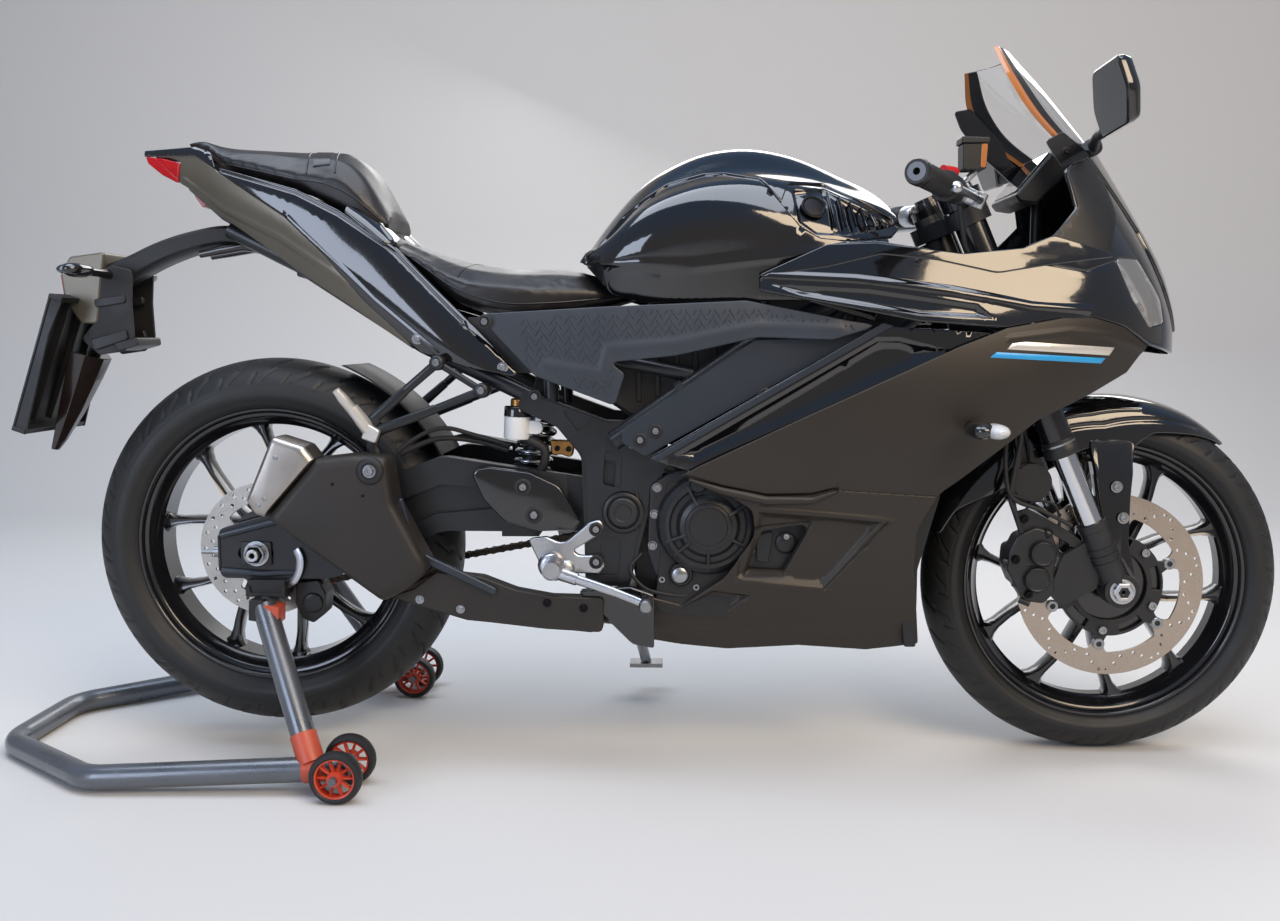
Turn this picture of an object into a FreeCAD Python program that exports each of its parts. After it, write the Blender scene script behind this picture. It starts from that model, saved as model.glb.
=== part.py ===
"""Sport bike held upright on a rear paddock stand.

Datum: x forward from the rear axle, y to the rider's left, z up from the floor, millimetres.
Every part is moved at the end so that the origin lies on the floor under the middle of the whole.
"""
import FreeCAD, Part
from FreeCAD import Vector
import math
import os

# Driving dimensions
ORIGIN_AHEAD = 608.0          # from the rear axle forward to the origin on the floor
WHEELBASE = 1380.0
DRAWN_WHEELBASE = 1380.0      # the outlines below are typed for this wheelbase and for axles
DRAWN_FRONT_AXLE = 291.0      # at these heights; fitted() moves them to the sizes above
DRAWN_REAR_AXLE = 347.0
SPREAD = (690.0, 1000.0)      # a longer wheelbase is taken up between these lengths
RISE = (50.0, 150.0)          # and taller wheels between these heights
REAR_LIFT = 35.0              # the rear tyre hangs this far above the floor
RAKE = 23.5                   # steering axis from the vertical with the tail lifted, degrees
FORK_OFFSET = 37.0            # front axle ahead of the steering axis

FRONT_TYRE_RADIUS = 291.0
FRONT_TYRE_WIDTH = 110.0
REAR_TYRE_RADIUS = 312.0
REAR_TYRE_WIDTH = 140.0
BEAD_RADIUS = 217.0           # seat of a 17 inch rim
FLANGE_HEIGHT = 13.0
RIM_WALL = 8.0
FRONT_RIM_WIDTH = 84.0
REAR_RIM_WIDTH = 112.0
SPOKE_PAIRS = 5
SPOKE_SPREAD = 20.0           # half angle between the two spokes of a pair at the rim, degrees
FRONT_SPOKE_TURN = 44.0
REAR_SPOKE_TURN = 7.5
SPOKE_WIDTH = 15.0
HUB_RADIUS = 38.0

FRONT_DISC_RADIUS = 149.0
FRONT_DISC_RING = 36.0        # width of the swept ring
FRONT_DISC_Y = -66.0
REAR_DISC_RADIUS = 110.0
REAR_DISC_RING = 30.0
REAR_DISC_Y = -84.0
DISC_THICK = 4.5
HORN_Y = 88.0

AXLE_RADIUS = 10.0
AXLE_BORE = 4.0               # radius of the hollow axles
RUNNING = 0.05                # radial clearance of a wheel on its axle

FORK_HALF_SPAN = 104.0
FORK_OUTER_RADIUS = 25.0
STANCHION_RADIUS = 18.5
FORK_FOOT_TOP = 118.0         # along the fork from the axle
FORK_SEAL = 236.0
FORK_LENGTH = 690.0
LOWER_CLAMP = 480.0
UPPER_CLAMP = 640.0
CLAMP_THICK = 26.0
HEAD_RADIUS = 30.0
STEM_RADIUS = 14.0
STEM_GAP = 4.0                # room round the stem between its bearings
BEARING = 14.0                # length of a steering bearing
TANK_POST_TOP = 771.3         # the tank rests on the posts here

PIVOT_X = 591.0               # swingarm pivot
PIVOT_Z = 418.0
PLATE_INNER_Y = 118.0
PLATE_THICK = 22.0
ARM_INNER_Y = 103.0
ARM_OUTER_Y = 130.0
ADJUSTER_RADIUS = 4.0
PAD_TOP = 306.0               # underside of the swingarm where the stand lifts it
PAD_LOW = 284.0
SHOCK_LOW = (425.0, 445.0)
SHOCK_EYE = 18.7              # half width of the eyes between their lugs
MUFFLER_IN = 150.0            # inner and outer faces of the silencer
MUFFLER_OUT = 212.0
SHOCK_TOP = (456.0, 642.0)

SPROCKET_RADIUS = 88.0
SPROCKET_Y = 92.0
SPROCKET_TEETH = 43
DRIVE_RADIUS = 31.0
CLUTCH = (721.0, 400.0)
CLUTCH_RADIUS = 68.0
DRIVE_X = 676.0
DRIVE_Z = 414.0
CHAIN_HEIGHT = 15.0

WALL = 4.0                    # thickness of a fairing panel
SEAM = 0.6                    # gap where two fairing panels meet
FAIRING_SEAM = ((1162, 706), (1249, 721), (1303, 721), (1356, 707), (1405, 680))

STAND_TUBE_RADIUS = 19.0
STAND_HALF_WIDTH = 258.0
STAND_WHEEL_RADIUS = 40.0
STAND_WHEEL_WIDTH = 26.0
STAND_WHEEL_GAP = 26.0        # face of a wheel from the middle of the tube
STAND_AXLE_X = 168.0
STAND_AXLE_RADIUS = 6.0
STAND_REACH = 605.0           # from the stand's axle back to its handle
PAD_X = 16.0
SEAT_GAP = 0.3                # between a resting piece and what carries it

PLATE_TOP = (-348.0, 0.0, 764.0)
PLATE_LEAN = 20.4             # degrees from upright
PLATE_LENGTH = 246.0
PLATE_HALF = 95.0

SIDE_PIVOT = Vector(575.0, 122.0, 270.0)
SIDE_AXIS = Vector(0.235, 0.775, 0.590).normalize()
SIDE_WAY = Vector(0.156, 0.568, -0.808)
SIDE_WAY = (SIDE_WAY - SIDE_AXIS * SIDE_WAY.dot(SIDE_AXIS)).normalize()
SIDE_LENGTH = 260.0
SIDE_PIN = 6.0
SIDE_EYE = 18.0               # width of the side stand on its pin

SIN, COS = math.sin(math.radians(RAKE)), math.cos(math.radians(RAKE))
REAR_RISE = REAR_TYRE_RADIUS + REAR_LIFT - DRAWN_REAR_AXLE
FRONT_RISE = FRONT_TYRE_RADIUS - DRAWN_FRONT_AXLE
Y_AXIS = Vector(0, 1, 0)
parts = {}


# Geometry helpers
def share(value, limits):
    return min(max((value - limits[0]) / (limits[1] - limits[0]), 0.0), 1.0)


def fitted(x, y, z):
    """Typed point moved with the axles: the front end with the front one, the tail with the rear one."""
    ahead, up = share(x, SPREAD), share(z, RISE)
    rise = REAR_RISE + (FRONT_RISE - REAR_RISE) * ahead
    return Vector(x + (WHEELBASE - DRAWN_WHEELBASE) * ahead, y, z + rise * up)


def outline(points, y=0.0):
    """Closed wire in a plane of constant y, from (x, z) or (x, z, corner radius)."""
    corners = []
    for i, p in enumerate(points):
        before, after = points[i - 1], points[(i + 1) % len(points)]
        here = fitted(p[0], y, p[1])
        if len(p) == 2:
            corners.append((here, None, here))
            continue
        a = (fitted(before[0], y, before[1]) - here).normalize()
        b = (fitted(after[0], y, after[1]) - here).normalize()
        half = a.getAngle(b) / 2
        reach = p[2] / math.tan(half)
        middle = here + (a + b).normalize() * (p[2] / math.sin(half) - p[2])
        corners.append((here + a * reach, middle, here + b * reach))
    edges = []
    for i, (start, middle, end) in enumerate(corners):
        if middle is not None:
            edges.append(Part.Arc(start, middle, end).toShape())
        following = corners[(i + 1) % len(corners)][0]
        if end.distanceToPoint(following) > 1e-6:
            edges.append(Part.LineSegment(end, following).toShape())
    return Part.Wire(edges)


def slab(points, y0, y1):
    """Plate between two planes of constant y with an outline in side view."""
    return Part.Face(outline(points, y0)).extrude(Vector(0, y1 - y0, 0))


def polygon(points):
    return Part.makePolygon([fitted(*p) for p in points] + [fitted(*points[0])])


def loft(wires, ruled=True):
    return Part.makeLoft(wires, True, ruled)


def rod(start, end, radius, bore=0.0):
    """Round bar, or a tube where a bore is given."""
    a, b = fitted(*start), fitted(*end)
    bar = Part.makeCylinder(radius, a.distanceToPoint(b), a, b - a)
    if bore:
        bar = bar.cut(Part.makeCylinder(bore, a.distanceToPoint(b), a, b - a))
    return bar


def bent_tube(points, radius, bend):
    """Round tube along straight runs joined by tangent arcs of one bend radius."""
    pts = [fitted(*p) for p in points]
    edges, start = [], pts[0]
    for i in range(1, len(pts) - 1):
        a = (pts[i - 1] - pts[i]).normalize()
        b = (pts[i + 1] - pts[i]).normalize()
        half = a.getAngle(b) / 2
        reach = bend / math.tan(half)
        middle = pts[i] + (a + b).normalize() * (bend / math.sin(half) - bend)
        edges.append(Part.LineSegment(start, pts[i] + a * reach).toShape())
        edges.append(Part.Arc(pts[i] + a * reach, middle, pts[i] + b * reach).toShape())
        start = pts[i] + b * reach
    edges.append(Part.LineSegment(start, pts[-1]).toShape())
    path = Part.Wire(edges)
    ring = Part.Wire([Part.makeCircle(radius, pts[0], pts[1] - pts[0])])
    return path.makePipeShell([ring], True, False)


def turned(profile, centre):
    """Body turned about a lateral axis; the profile is a list of (radius, y) points."""
    middle = fitted(centre[0], 0, centre[1])
    corners = [middle + Vector(r, y, 0) for r, y in profile]
    ring = Part.Face(Part.makePolygon(corners + corners[:1]))
    return ring.revolve(middle, Y_AXIS, 360)


def fuse(shapes):
    whole = shapes[0].fuse(shapes[1:]) if len(shapes) > 1 else shapes[0]
    return whole.removeSplitter()


def mirrored(shape):
    return shape.mirror(Vector(0, 0, 0), Y_AXIS)


def both_sides(shape):
    return [shape, mirrored(shape)]


def ring_points(centre, radius, count, turn=0.0):
    """Points of a bolt circle about a lateral axis, as (x, z)."""
    steps = [math.radians(turn + 360.0 * i / count) for i in range(count)]
    return [(centre[0] + radius * math.cos(a), centre[1] + radius * math.sin(a)) for a in steps]


def on_fork(along, ahead=0.0, y=0.0):
    """Point measured up the fork from the front axle and forward of the fork's line."""
    return (DRAWN_WHEELBASE - along * SIN + ahead * COS, y, DRAWN_FRONT_AXLE + along * COS + ahead * SIN)


def add(name, shapes):
    """Keeps one named piece; solids that don't touch may share it."""
    solids = []
    for shape in shapes if isinstance(shapes, (list, tuple)) else [shapes]:
        solids += shape.Solids
    parts[name] = Part.makeCompound(solids)


# Wheels
def tyre(centre, radius, width, rim_width):
    """Tyre ring with a round crown and bellied side walls."""
    x, _, z = fitted(centre[0], 0, centre[1])
    shoulder = radius - 0.30 * width
    wall_y, bead_y = width / 2, rim_width / 2 - RIM_WALL
    bead = BEAD_RADIUS + FLANGE_HEIGHT
    top = Vector(x + radius, 0, z)

    def at(r, y):
        return Vector(x + r, y, z)
    crown = [
        Part.Arc(at(shoulder, -wall_y * 0.96), top, at(shoulder, wall_y * 0.96)),
        Part.Arc(at(shoulder, wall_y * 0.96), at((shoulder + bead) / 2, wall_y), at(bead, bead_y + RIM_WALL)),
        Part.LineSegment(at(bead, bead_y + RIM_WALL), at(bead, bead_y)),
        Part.LineSegment(at(bead, bead_y), at(BEAD_RADIUS, bead_y)),
        Part.LineSegment(at(BEAD_RADIUS, bead_y), at(BEAD_RADIUS, -bead_y)),
        Part.LineSegment(at(BEAD_RADIUS, -bead_y), at(bead, -bead_y)),
        Part.LineSegment(at(bead, -bead_y), at(bead, -bead_y - RIM_WALL)),
        Part.Arc(at(bead, -bead_y - RIM_WALL), at((shoulder + bead) / 2, -wall_y), at(shoulder, -wall_y * 0.96)),
    ]
    face = Part.Face(Part.Wire([e.toShape() for e in crown]))
    return face.revolve(Vector(x, 0, z), Y_AXIS, 360)


def spoke(centre, angle, hub_half, rim_half):
    """One tapered spoke of a pair, leaning from the hub out to the rim."""
    centre = fitted(centre[0], 0, centre[1])
    inner, outer = HUB_RADIUS - 6, BEAD_RADIUS - RIM_WALL + 3
    sections = []
    for r, lean, half_y, half_w in ((inner, 0.15, hub_half, SPOKE_WIDTH * 0.75),
                                    (outer * 0.55, 0.55, (hub_half + rim_half) / 2, SPOKE_WIDTH * 0.45),
                                    (outer, 1.0, rim_half, SPOKE_WIDTH * 0.6)):
        a = math.radians(angle[0] + angle[1] * lean)
        out = Vector(math.cos(a), 0, math.sin(a))
        side = Vector(-math.sin(a), 0, math.cos(a))
        middle = centre + out * r
        corners = [middle + side * s * half_w + Y_AXIS * t * half_y
                   for s, t in ((1, 0.7), (0.55, 1), (-0.55, 1), (-1, 0.7), (-1, -0.7), (-0.55, -1), (0.55, -1), (1, -0.7))]
        sections.append(Part.makePolygon(corners + corners[:1]))
    return loft(sections)


def rim(centre, width, turn, hub_half, bore_extra=RUNNING):
    """Cast wheel: barrel with flanges, hub and five pairs of spokes, bored for its axle."""
    half = width / 2
    inner = BEAD_RADIUS - RIM_WALL
    barrel = turned([(BEAD_RADIUS + FLANGE_HEIGHT, half), (BEAD_RADIUS + FLANGE_HEIGHT, half - RIM_WALL),
                     (BEAD_RADIUS, half - RIM_WALL), (BEAD_RADIUS, -half + RIM_WALL),
                     (BEAD_RADIUS + FLANGE_HEIGHT, -half + RIM_WALL), (BEAD_RADIUS + FLANGE_HEIGHT, -half),
                     (inner, -half), (inner - 10, -half + 22), (inner - 10, half - 22), (inner, half)], centre)
    hub = turned([(0, -hub_half), (HUB_RADIUS - 6, -hub_half), (HUB_RADIUS, -hub_half + 12),
                  (HUB_RADIUS, hub_half - 12), (HUB_RADIUS - 6, hub_half), (0, hub_half)], centre)
    spokes = []
    for i in range(SPOKE_PAIRS):
        for side in (-1, 1):
            spokes.append(spoke(centre, (turn + 360.0 * i / SPOKE_PAIRS, side * SPOKE_SPREAD), 24.0, 13.0))
    whole = fuse([barrel, hub] + spokes)
    bore = rod((centre[0], -200, centre[1]), (centre[0], 200, centre[1]), AXLE_RADIUS + bore_extra)
    return whole.cut(bore)


def disc(centre, radius, ring, y, bolt_radius, arms, turn):
    """Brake disc: swept ring on a carrier with arms and a bolted centre."""
    swept = turned([(radius, y), (radius, y - DISC_THICK), (radius - ring, y - DISC_THICK), (radius - ring, y)], centre)
    inner = bolt_radius - 12
    carrier = turned([(bolt_radius + 10, y), (bolt_radius + 10, y - DISC_THICK), (inner, y - DISC_THICK), (inner, y)], centre)
    near, far = bolt_radius + 10, radius - ring
    bridges = []
    for x, z in ring_points(centre, (near + far) / 2, arms, turn):
        bridges.append(rod((x, y, z), (x, y - DISC_THICK, z), (far - near) / 2 + 4))
    return fuse([swept, carrier] + bridges)


def make_front_wheel():
    centre = (DRAWN_WHEELBASE, DRAWN_FRONT_AXLE)
    hub_half = -FRONT_DISC_Y
    add("front_tyre", tyre(centre, FRONT_TYRE_RADIUS, FRONT_TYRE_WIDTH, FRONT_RIM_WIDTH))
    flange = turned([(0, FRONT_DISC_Y), (84, FRONT_DISC_Y), (84, FRONT_DISC_Y + 8), (36, FRONT_DISC_Y + 20), (0, FRONT_DISC_Y + 20)], centre)
    bore = rod((DRAWN_WHEELBASE, -200, DRAWN_FRONT_AXLE), (DRAWN_WHEELBASE, 200, DRAWN_FRONT_AXLE), AXLE_RADIUS + RUNNING)
    add("front_rim", fuse([rim(centre, FRONT_RIM_WIDTH, FRONT_SPOKE_TURN, hub_half), flange]).cut(bore))
    add("front_disc", disc(centre, FRONT_DISC_RADIUS, FRONT_DISC_RING, FRONT_DISC_Y, 76, 6, 19))


def make_rear_wheel():
    centre = (0.0, DRAWN_REAR_AXLE)
    add("rear_tyre", tyre(centre, REAR_TYRE_RADIUS, REAR_TYRE_WIDTH, REAR_RIM_WIDTH))
    flange = turned([(0, REAR_DISC_Y), (66, REAR_DISC_Y), (66, REAR_DISC_Y + 8), (36, REAR_DISC_Y + 22), (0, REAR_DISC_Y + 22)], centre)
    carrier_y = SPROCKET_Y - 3
    carrier = turned([(0, 40), (62, 50), (62, carrier_y), (0, carrier_y)], centre)
    bore = rod((0, -200, DRAWN_REAR_AXLE), (0, 200, DRAWN_REAR_AXLE), AXLE_RADIUS + RUNNING)
    add("rear_rim", fuse([rim(centre, REAR_RIM_WIDTH, REAR_SPOKE_TURN, 62), flange, carrier]).cut(bore))
    add("rear_disc", disc(centre, REAR_DISC_RADIUS, REAR_DISC_RING, REAR_DISC_Y, 56, 5, 7.5))
    add("rear_sprocket", sprocket(centre, SPROCKET_RADIUS, SPROCKET_TEETH, carrier_y, carrier_y + 6, 44))


def sprocket(centre, radius, teeth, y0, y1, inner):
    """Toothed ring whose tips stay under the chain's rollers."""
    points = []
    for i in range(teeth):
        for share, r in ((0.0, radius - 5), (0.3, radius - 5), (0.5, radius), (0.7, radius)):
            a = 2 * math.pi * (i + share) / teeth
            points.append((centre[0] + r * math.cos(a), centre[1] + r * math.sin(a)))
    ring = slab(points, y0, y1)
    ring = ring.cut(rod((centre[0], y0 - 1, centre[1]), (centre[0], y1 + 1, centre[1]), inner))
    holes = [rod((x, y0 - 1, z), (x, y1 + 1, z), 9) for x, z in ring_points(centre, radius - 20, 6)]
    return ring.cut(Part.makeCompound(holes))


# Rear suspension and drive
def make_swingarm():
    side = [(-62, 386, 12), (120, 436, 60), (300, 505, 60), (PIVOT_X - 60, 470, 40), (PIVOT_X + 30, 442, 20),
            (PIVOT_X + 30, PIVOT_Z - 34, 20), (PIVOT_X - 60, PIVOT_Z - 34, 40), (300, 385, 60), (120, PAD_TOP, 60), (-62, PAD_TOP, 12)]
    arm = slab(side, -ARM_OUTER_Y, -ARM_INNER_Y)
    taper = [(-80, -ARM_OUTER_Y - 1), (430, -ARM_OUTER_Y - 1), (500, -PLATE_INNER_Y + 1), (700, -PLATE_INNER_Y + 1),
             (700, -ARM_INNER_Y + 1), (-80, -ARM_INNER_Y + 1)]
    plan = Part.Face(polygon([(x, y, 0) for x, y in taper])).extrude(Vector(0, 0, 900))
    arm = arm.common(plan)
    pocket = slab([(150, 400, 8), (300, 460, 20), (430, 450, 10), (425, 425, 10), (290, 412, 20), (160, 352, 8)],
                  -ARM_OUTER_Y - 1, -ARM_OUTER_Y + 9)
    arm = arm.cut(pocket)
    tunnel = rod((PIVOT_X, SEAT_GAP - PLATE_INNER_Y, PIVOT_Z), (PIVOT_X, PLATE_INNER_Y - SEAT_GAP, PIVOT_Z), 21)
    bridge = Part.makeBox(60, 2 * ARM_INNER_Y + 2, 50, fitted(392, -ARM_INNER_Y - 1, 372))
    ears = [slab([(408, 418), (408, SHOCK_LOW[1], 14), (440, SHOCK_LOW[1] + 14, 14), (442, 418)], s * 19, s * 26) for s in (-1, 1)]
    whole = fuse([arm, mirrored(arm), tunnel, bridge] + ears)
    slot = slab([(-32, DRAWN_REAR_AXLE - AXLE_RADIUS, 9), (26, DRAWN_REAR_AXLE - AXLE_RADIUS, 9),
                 (26, DRAWN_REAR_AXLE + AXLE_RADIUS, 9), (-32, DRAWN_REAR_AXLE + AXLE_RADIUS, 9)], -200, 200)
    whole = whole.cut(slot)
    for s in (-1, 1):
        y = s * (ARM_OUTER_Y + ARM_INNER_Y) / 2
        whole = whole.cut(rod((-100, y, DRAWN_REAR_AXLE), (0, y, DRAWN_REAR_AXLE), ADJUSTER_RADIUS))
    add("swingarm", whole)


def make_rear_axle():
    z = DRAWN_REAR_AXLE
    end = ARM_OUTER_Y
    shaft = rod((0, -end - 24, z), (0, end + 24, z), AXLE_RADIUS, AXLE_BORE)
    pieces = [shaft]
    for s in (-1, 1):
        washer = Part.makeBox(46, 4, 34, fitted(-23, end if s > 0 else -end - 4, z - 17))
        nut_start = s * (end + 4)
        nut = rod((0, nut_start, z), (0, nut_start + s * 14, z), 16)
        pieces += [washer, nut]
        # adjuster bolt out of the back of the arm
        y = s * (ARM_OUTER_Y + ARM_INNER_Y) / 2
        pieces.append(rod((-96, y, z), (-AXLE_RADIUS + 2, y, z), ADJUSTER_RADIUS))
        pieces.append(rod((-74, y, z), (-62, y, z), 9))
    whole = fuse(pieces).cut(rod((0, -end - 30, z), (0, end + 30, z), AXLE_BORE))
    add("rear_axle", whole)


def make_chain():
    """Closed loop of link plates about the two sprockets, with its side plates cut at every pitch."""
    big, small = SPROCKET_RADIUS + 2, DRIVE_RADIUS
    x1, z1, x2, z2 = 0.0, DRAWN_REAR_AXLE, DRIVE_X, DRIVE_Z
    length = math.hypot(x2 - x1, z2 - z1)
    tilt = math.atan2(z2 - z1, x2 - x1)
    lean = math.asin((big - small) / length)

    def loop(grow):
        b, s = big + grow, small + grow
        up, down = tilt + math.pi / 2 - lean, tilt - math.pi / 2 + lean

        def at(cx, cz, r, a):
            return Vector(cx + r * math.cos(a), 0, cz + r * math.sin(a))
        top_b, top_s = at(x1, z1, b, up), at(x2, z2, s, up)
        low_b, low_s = at(x1, z1, b, down), at(x2, z2, s, down)
        return Part.Wire([Part.LineSegment(top_b, top_s).toShape(),
                          Part.Arc(top_s, at(x2, z2, s, tilt), low_s).toShape(),
                          Part.LineSegment(low_s, low_b).toShape(),
                          Part.Arc(low_b, at(x1, z1, b, tilt + math.pi), top_b).toShape()])
    band = Part.Face([loop(CHAIN_HEIGHT), loop(0.0)])
    y0 = SPROCKET_Y - 9
    chain = band.extrude(Vector(0, 18, 0))
    chain.translate(Vector(0, y0, REAR_RISE))
    add("drive_chain", chain)


def make_shock():
    low, high = Vector(SHOCK_LOW[0], 0, SHOCK_LOW[1]), Vector(SHOCK_TOP[0], 0, SHOCK_TOP[1])
    axis = (high - low).normalize()
    spring_a, spring_b = low + axis * 46, low + axis * 150
    body = rod(tuple(low), tuple(high), 12)
    eyes = [rod((p.x, -SHOCK_EYE, p.z), (p.x, SHOCK_EYE, p.z), 14) for p in (low, high)]
    seats = [rod(tuple(p), tuple(p + axis * 8), 33) for p in (spring_a, spring_b)]
    coils = [rod(tuple(spring_a + axis * (12 + 15 * i)), tuple(spring_a + axis * (21 + 15 * i)), 30) for i in range(6)]
    core = rod(tuple(spring_a), tuple(spring_b), 24)
    add("rear_shock", fuse([body, core] + eyes + seats + coils))


# Engine, cooling and exhaust
def make_engine():
    case = slab([(560, 300, 20), (600, 245, 20), (850, 240, 30), (905, 320, 30), (890, 420, 20), (640, 480, 30), (560, 440, 30)], -112, 112)
    barrel = slab([(760, 400), (885, 380), (935, 560, 12), (925, 625, 12), (800, 640, 12)], -125, 125)
    pivot_gap = rod((PIVOT_X, -200, PIVOT_Z), (PIVOT_X, 200, PIVOT_Z), 42)
    case = case.cut(pivot_gap).cut(Part.makeBox(60, 300, 200, fitted(550, -150, 260)))
    sides = rod((CLUTCH[0], -140, CLUTCH[1]), (CLUTCH[0], 140, CLUTCH[1]), CLUTCH_RADIUS + 8)
    bay = rod((DRIVE_X, SPROCKET_Y - 14, DRIVE_Z), (DRIVE_X, 150, DRIVE_Z), DRIVE_RADIUS + CHAIN_HEIGHT + 8)
    run = slab([(500, 300), (DRIVE_X, 330), (DRIVE_X, 480), (500, 480)], SPROCKET_Y - 14, 150)
    block = fuse([case, barrel, sides]).cut(bay).cut(run)
    drive = rod((DRIVE_X, SPROCKET_Y - 14, DRIVE_Z), (DRIVE_X, SPROCKET_Y + 12, DRIVE_Z), 12)
    wheel = rod((DRIVE_X, SPROCKET_Y - 3, DRIVE_Z), (DRIVE_X, SPROCKET_Y + 3, DRIVE_Z), DRIVE_RADIUS - SEAT_GAP)
    add("engine_block", fuse([block, drive, wheel]))
    covers = []
    for side in (-1, 1):
        y0 = side * 140.0
        r = CLUTCH_RADIUS
        dome = turned([(0, y0), (r, y0), (r - 2, y0 + side * 22), (r - 14, y0 + side * 34), (r - 30, y0 + side * 34),
                       (r - 32, y0 + side * 42), (r - 40, y0 + side * 45), (0, y0 + side * 45)], CLUTCH)
        foot = slab([(672, 322, 10), (752, 322, 10), (760, 380), (664, 380)], y0, y0 + side * 8)
        covers.append(fuse([dome, foot]))
    add("engine_covers", covers)


def make_radiator():
    lower, upper = Vector(1022, 0, 340), Vector(1068, 0, 600)
    tilt = math.degrees(math.atan2(upper.x - lower.x, upper.z - lower.z))
    core = Part.makeBox(26, 270, 240, Vector(-13, -135, 0))
    tanks = [Part.makeBox(36, 22, 244, Vector(-18, y, -2)) for y in (-155, 133)]
    fan = Part.makeCylinder(95, 20, Vector(-33, 0, 120), Vector(1, 0, 0))
    body = fuse([core, fan] + tanks)
    body.rotate(Vector(0, 0, 0), Y_AXIS, tilt)
    body.translate(fitted(*lower))
    ears = [rod((1060, s * 144, 580), (1010, s * 114, 698), 6) for s in (-1, 1)]
    add("radiator", fuse([body] + ears).cut(parts["main_frame"]))


def make_exhaust():
    pipes = []
    for y in (-45, 45):
        pipes.append(bent_tube([(920, y, 520), (966, y, 440), (952, y, 235), (820, y * 0.8, 205), (650, -75, 228)], 17, 38))
    muffler_side = [(41, 415, 14), (221, 285, 10), (296, 335, 30), (240, 443, 30), (232, 512, 12), (122, 508, 14)]
    muffler = slab(muffler_side, -MUFFLER_OUT, -MUFFLER_IN)
    washer = rod((208, -MUFFLER_OUT - 4, 490), (208, -MUFFLER_OUT, 490), 13)
    cap = slab([(14, 442, 16), (40.5, 415.5), (121.5, 508.5), (56, 543, 10)], -MUFFLER_OUT + 4, -MUFFLER_IN - 4)
    box = slab([(222, 288), (346, 251, 30), (560, 231, 20), (560, 268, 10), (427, 282, 30), (300, 326)], -176, -112)
    link = rod((556, -110, 252), (664, -72, 230), 20)
    add("exhaust_pipes", fuse([box, link] + pipes).cut(muffler).cut(parts["engine_block"]))
    add("silencer", fuse([muffler, washer]))
    add("silencer_cap", cap)


# Frame
def make_frame():
    gap = CLAMP_THICK / 2 + 2
    head_low = on_fork(LOWER_CLAMP + gap + 4, -FORK_OFFSET)
    head_high = on_fork(UPPER_CLAMP - gap, -FORK_OFFSET)
    pieces = [rod(head_low, head_high, HEAD_RADIUS)]
    for s in (-1, 1):
        upper = [(1105, s * 22, 800), (965, s * 116, 770), (780, s * 142, 672), (575, s * 136, 530)]
        lower = [(1115, s * 22, 755), (1000, s * 112, 700), (900, s * 140, 640), (700, s * 140, 520)]
        pieces += [bent_tube(upper, 17, 45), bent_tube(lower, 15, 45)]
        pieces.append(bent_tube([(960, s * 118, 765), (930, s * 128, 700), (900, s * 136, 650)], 12, 20))
    y0, y1 = PLATE_INNER_Y, PLATE_INNER_Y + PLATE_THICK
    plate = slab([(433, 611, 8), (563, 563, 20), (640, 560, 12), (660, 500, 20), (632, 423, 30), (600, 298, 8), (530, 300, 8),
                  (528, 420, 20), (525, 506, 30), (483, 556, 30), (425, 580, 8)], -y1, -y0)
    boss = rod((PIVOT_X, -y1 - 7, PIVOT_Z), (PIVOT_X, -y0, PIVOT_Z), 32)
    recess = slab([(548, 500, 8), (580, 500, 8), (576, 452, 8), (556, 446, 8)], -y1 - 1, -y1 + 8)
    plate = fuse([plate, boss]).cut(recess)
    pieces += both_sides(plate)
    hoop = bent_tube([(478, -y0 - 8, 578), (474, -y0 - 8, 676), (474, y0 + 8, 676), (478, y0 + 8, 578)], 11, 30)
    ears = [slab([(444, 630, 8), (466, 628, 8), (484, 676, 6), (464, 682, 6)], s * 19, s * 25) for s in (-1, 1)]
    stay = slab([(1135, 772, 6), (1135, 812, 6), (1270, 812, 6), (1270, 790, 6)], -18, 18)
    bar = rod((1262, -161, 801), (1262, 161, 801), 8)
    post = rod((1262, 0, 801), (1262, 0, 925), 9)
    posts = [rod((810, s * 124, 690), (810, s * 124, TANK_POST_TOP), 8) for s in (-1, 1)]
    pieces += [hoop, stay, bar, post] + ears + posts
    pieces += side_stand_bracket()
    low, high = LOWER_CLAMP + gap + 4 + BEARING, UPPER_CLAMP - gap - BEARING
    bearing_bore = rod(on_fork(0, -FORK_OFFSET), on_fork(900, -FORK_OFFSET), STEM_RADIUS + RUNNING)
    wide_bore = rod(on_fork(low, -FORK_OFFSET), on_fork(high, -FORK_OFFSET), STEM_RADIUS + STEM_GAP)
    add("main_frame", fuse(pieces).cut(bearing_bore).cut(wide_bore))


def side_stand_bracket():
    """Inner lug, strut and pin that carry the side stand below the left frame plate."""
    inner = SIDE_PIVOT - SIDE_AXIS * (SIDE_EYE / 2 + SEAT_GAP)
    lug = rod(tuple(inner), tuple(inner - SIDE_AXIS * 14), 11)
    low = inner - SIDE_AXIS * 14
    strut = rod((low.x, low.y - 6, low.z), (low.x, low.y - 6, 306), 6)
    arm = rod((low.x, low.y - 10, 306), (low.x, PLATE_INNER_Y, 306), 8)
    pin = rod(tuple(inner - SIDE_AXIS * 4), tuple(SIDE_PIVOT + SIDE_AXIS * (SIDE_EYE / 2 + 1)), SIDE_PIN)
    head = rod(tuple(SIDE_PIVOT + SIDE_AXIS * (SIDE_EYE / 2 + SEAT_GAP)), tuple(SIDE_PIVOT + SIDE_AXIS * (SIDE_EYE / 2 + 6)), 10)
    return [lug, strut, arm, pin, head]


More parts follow.
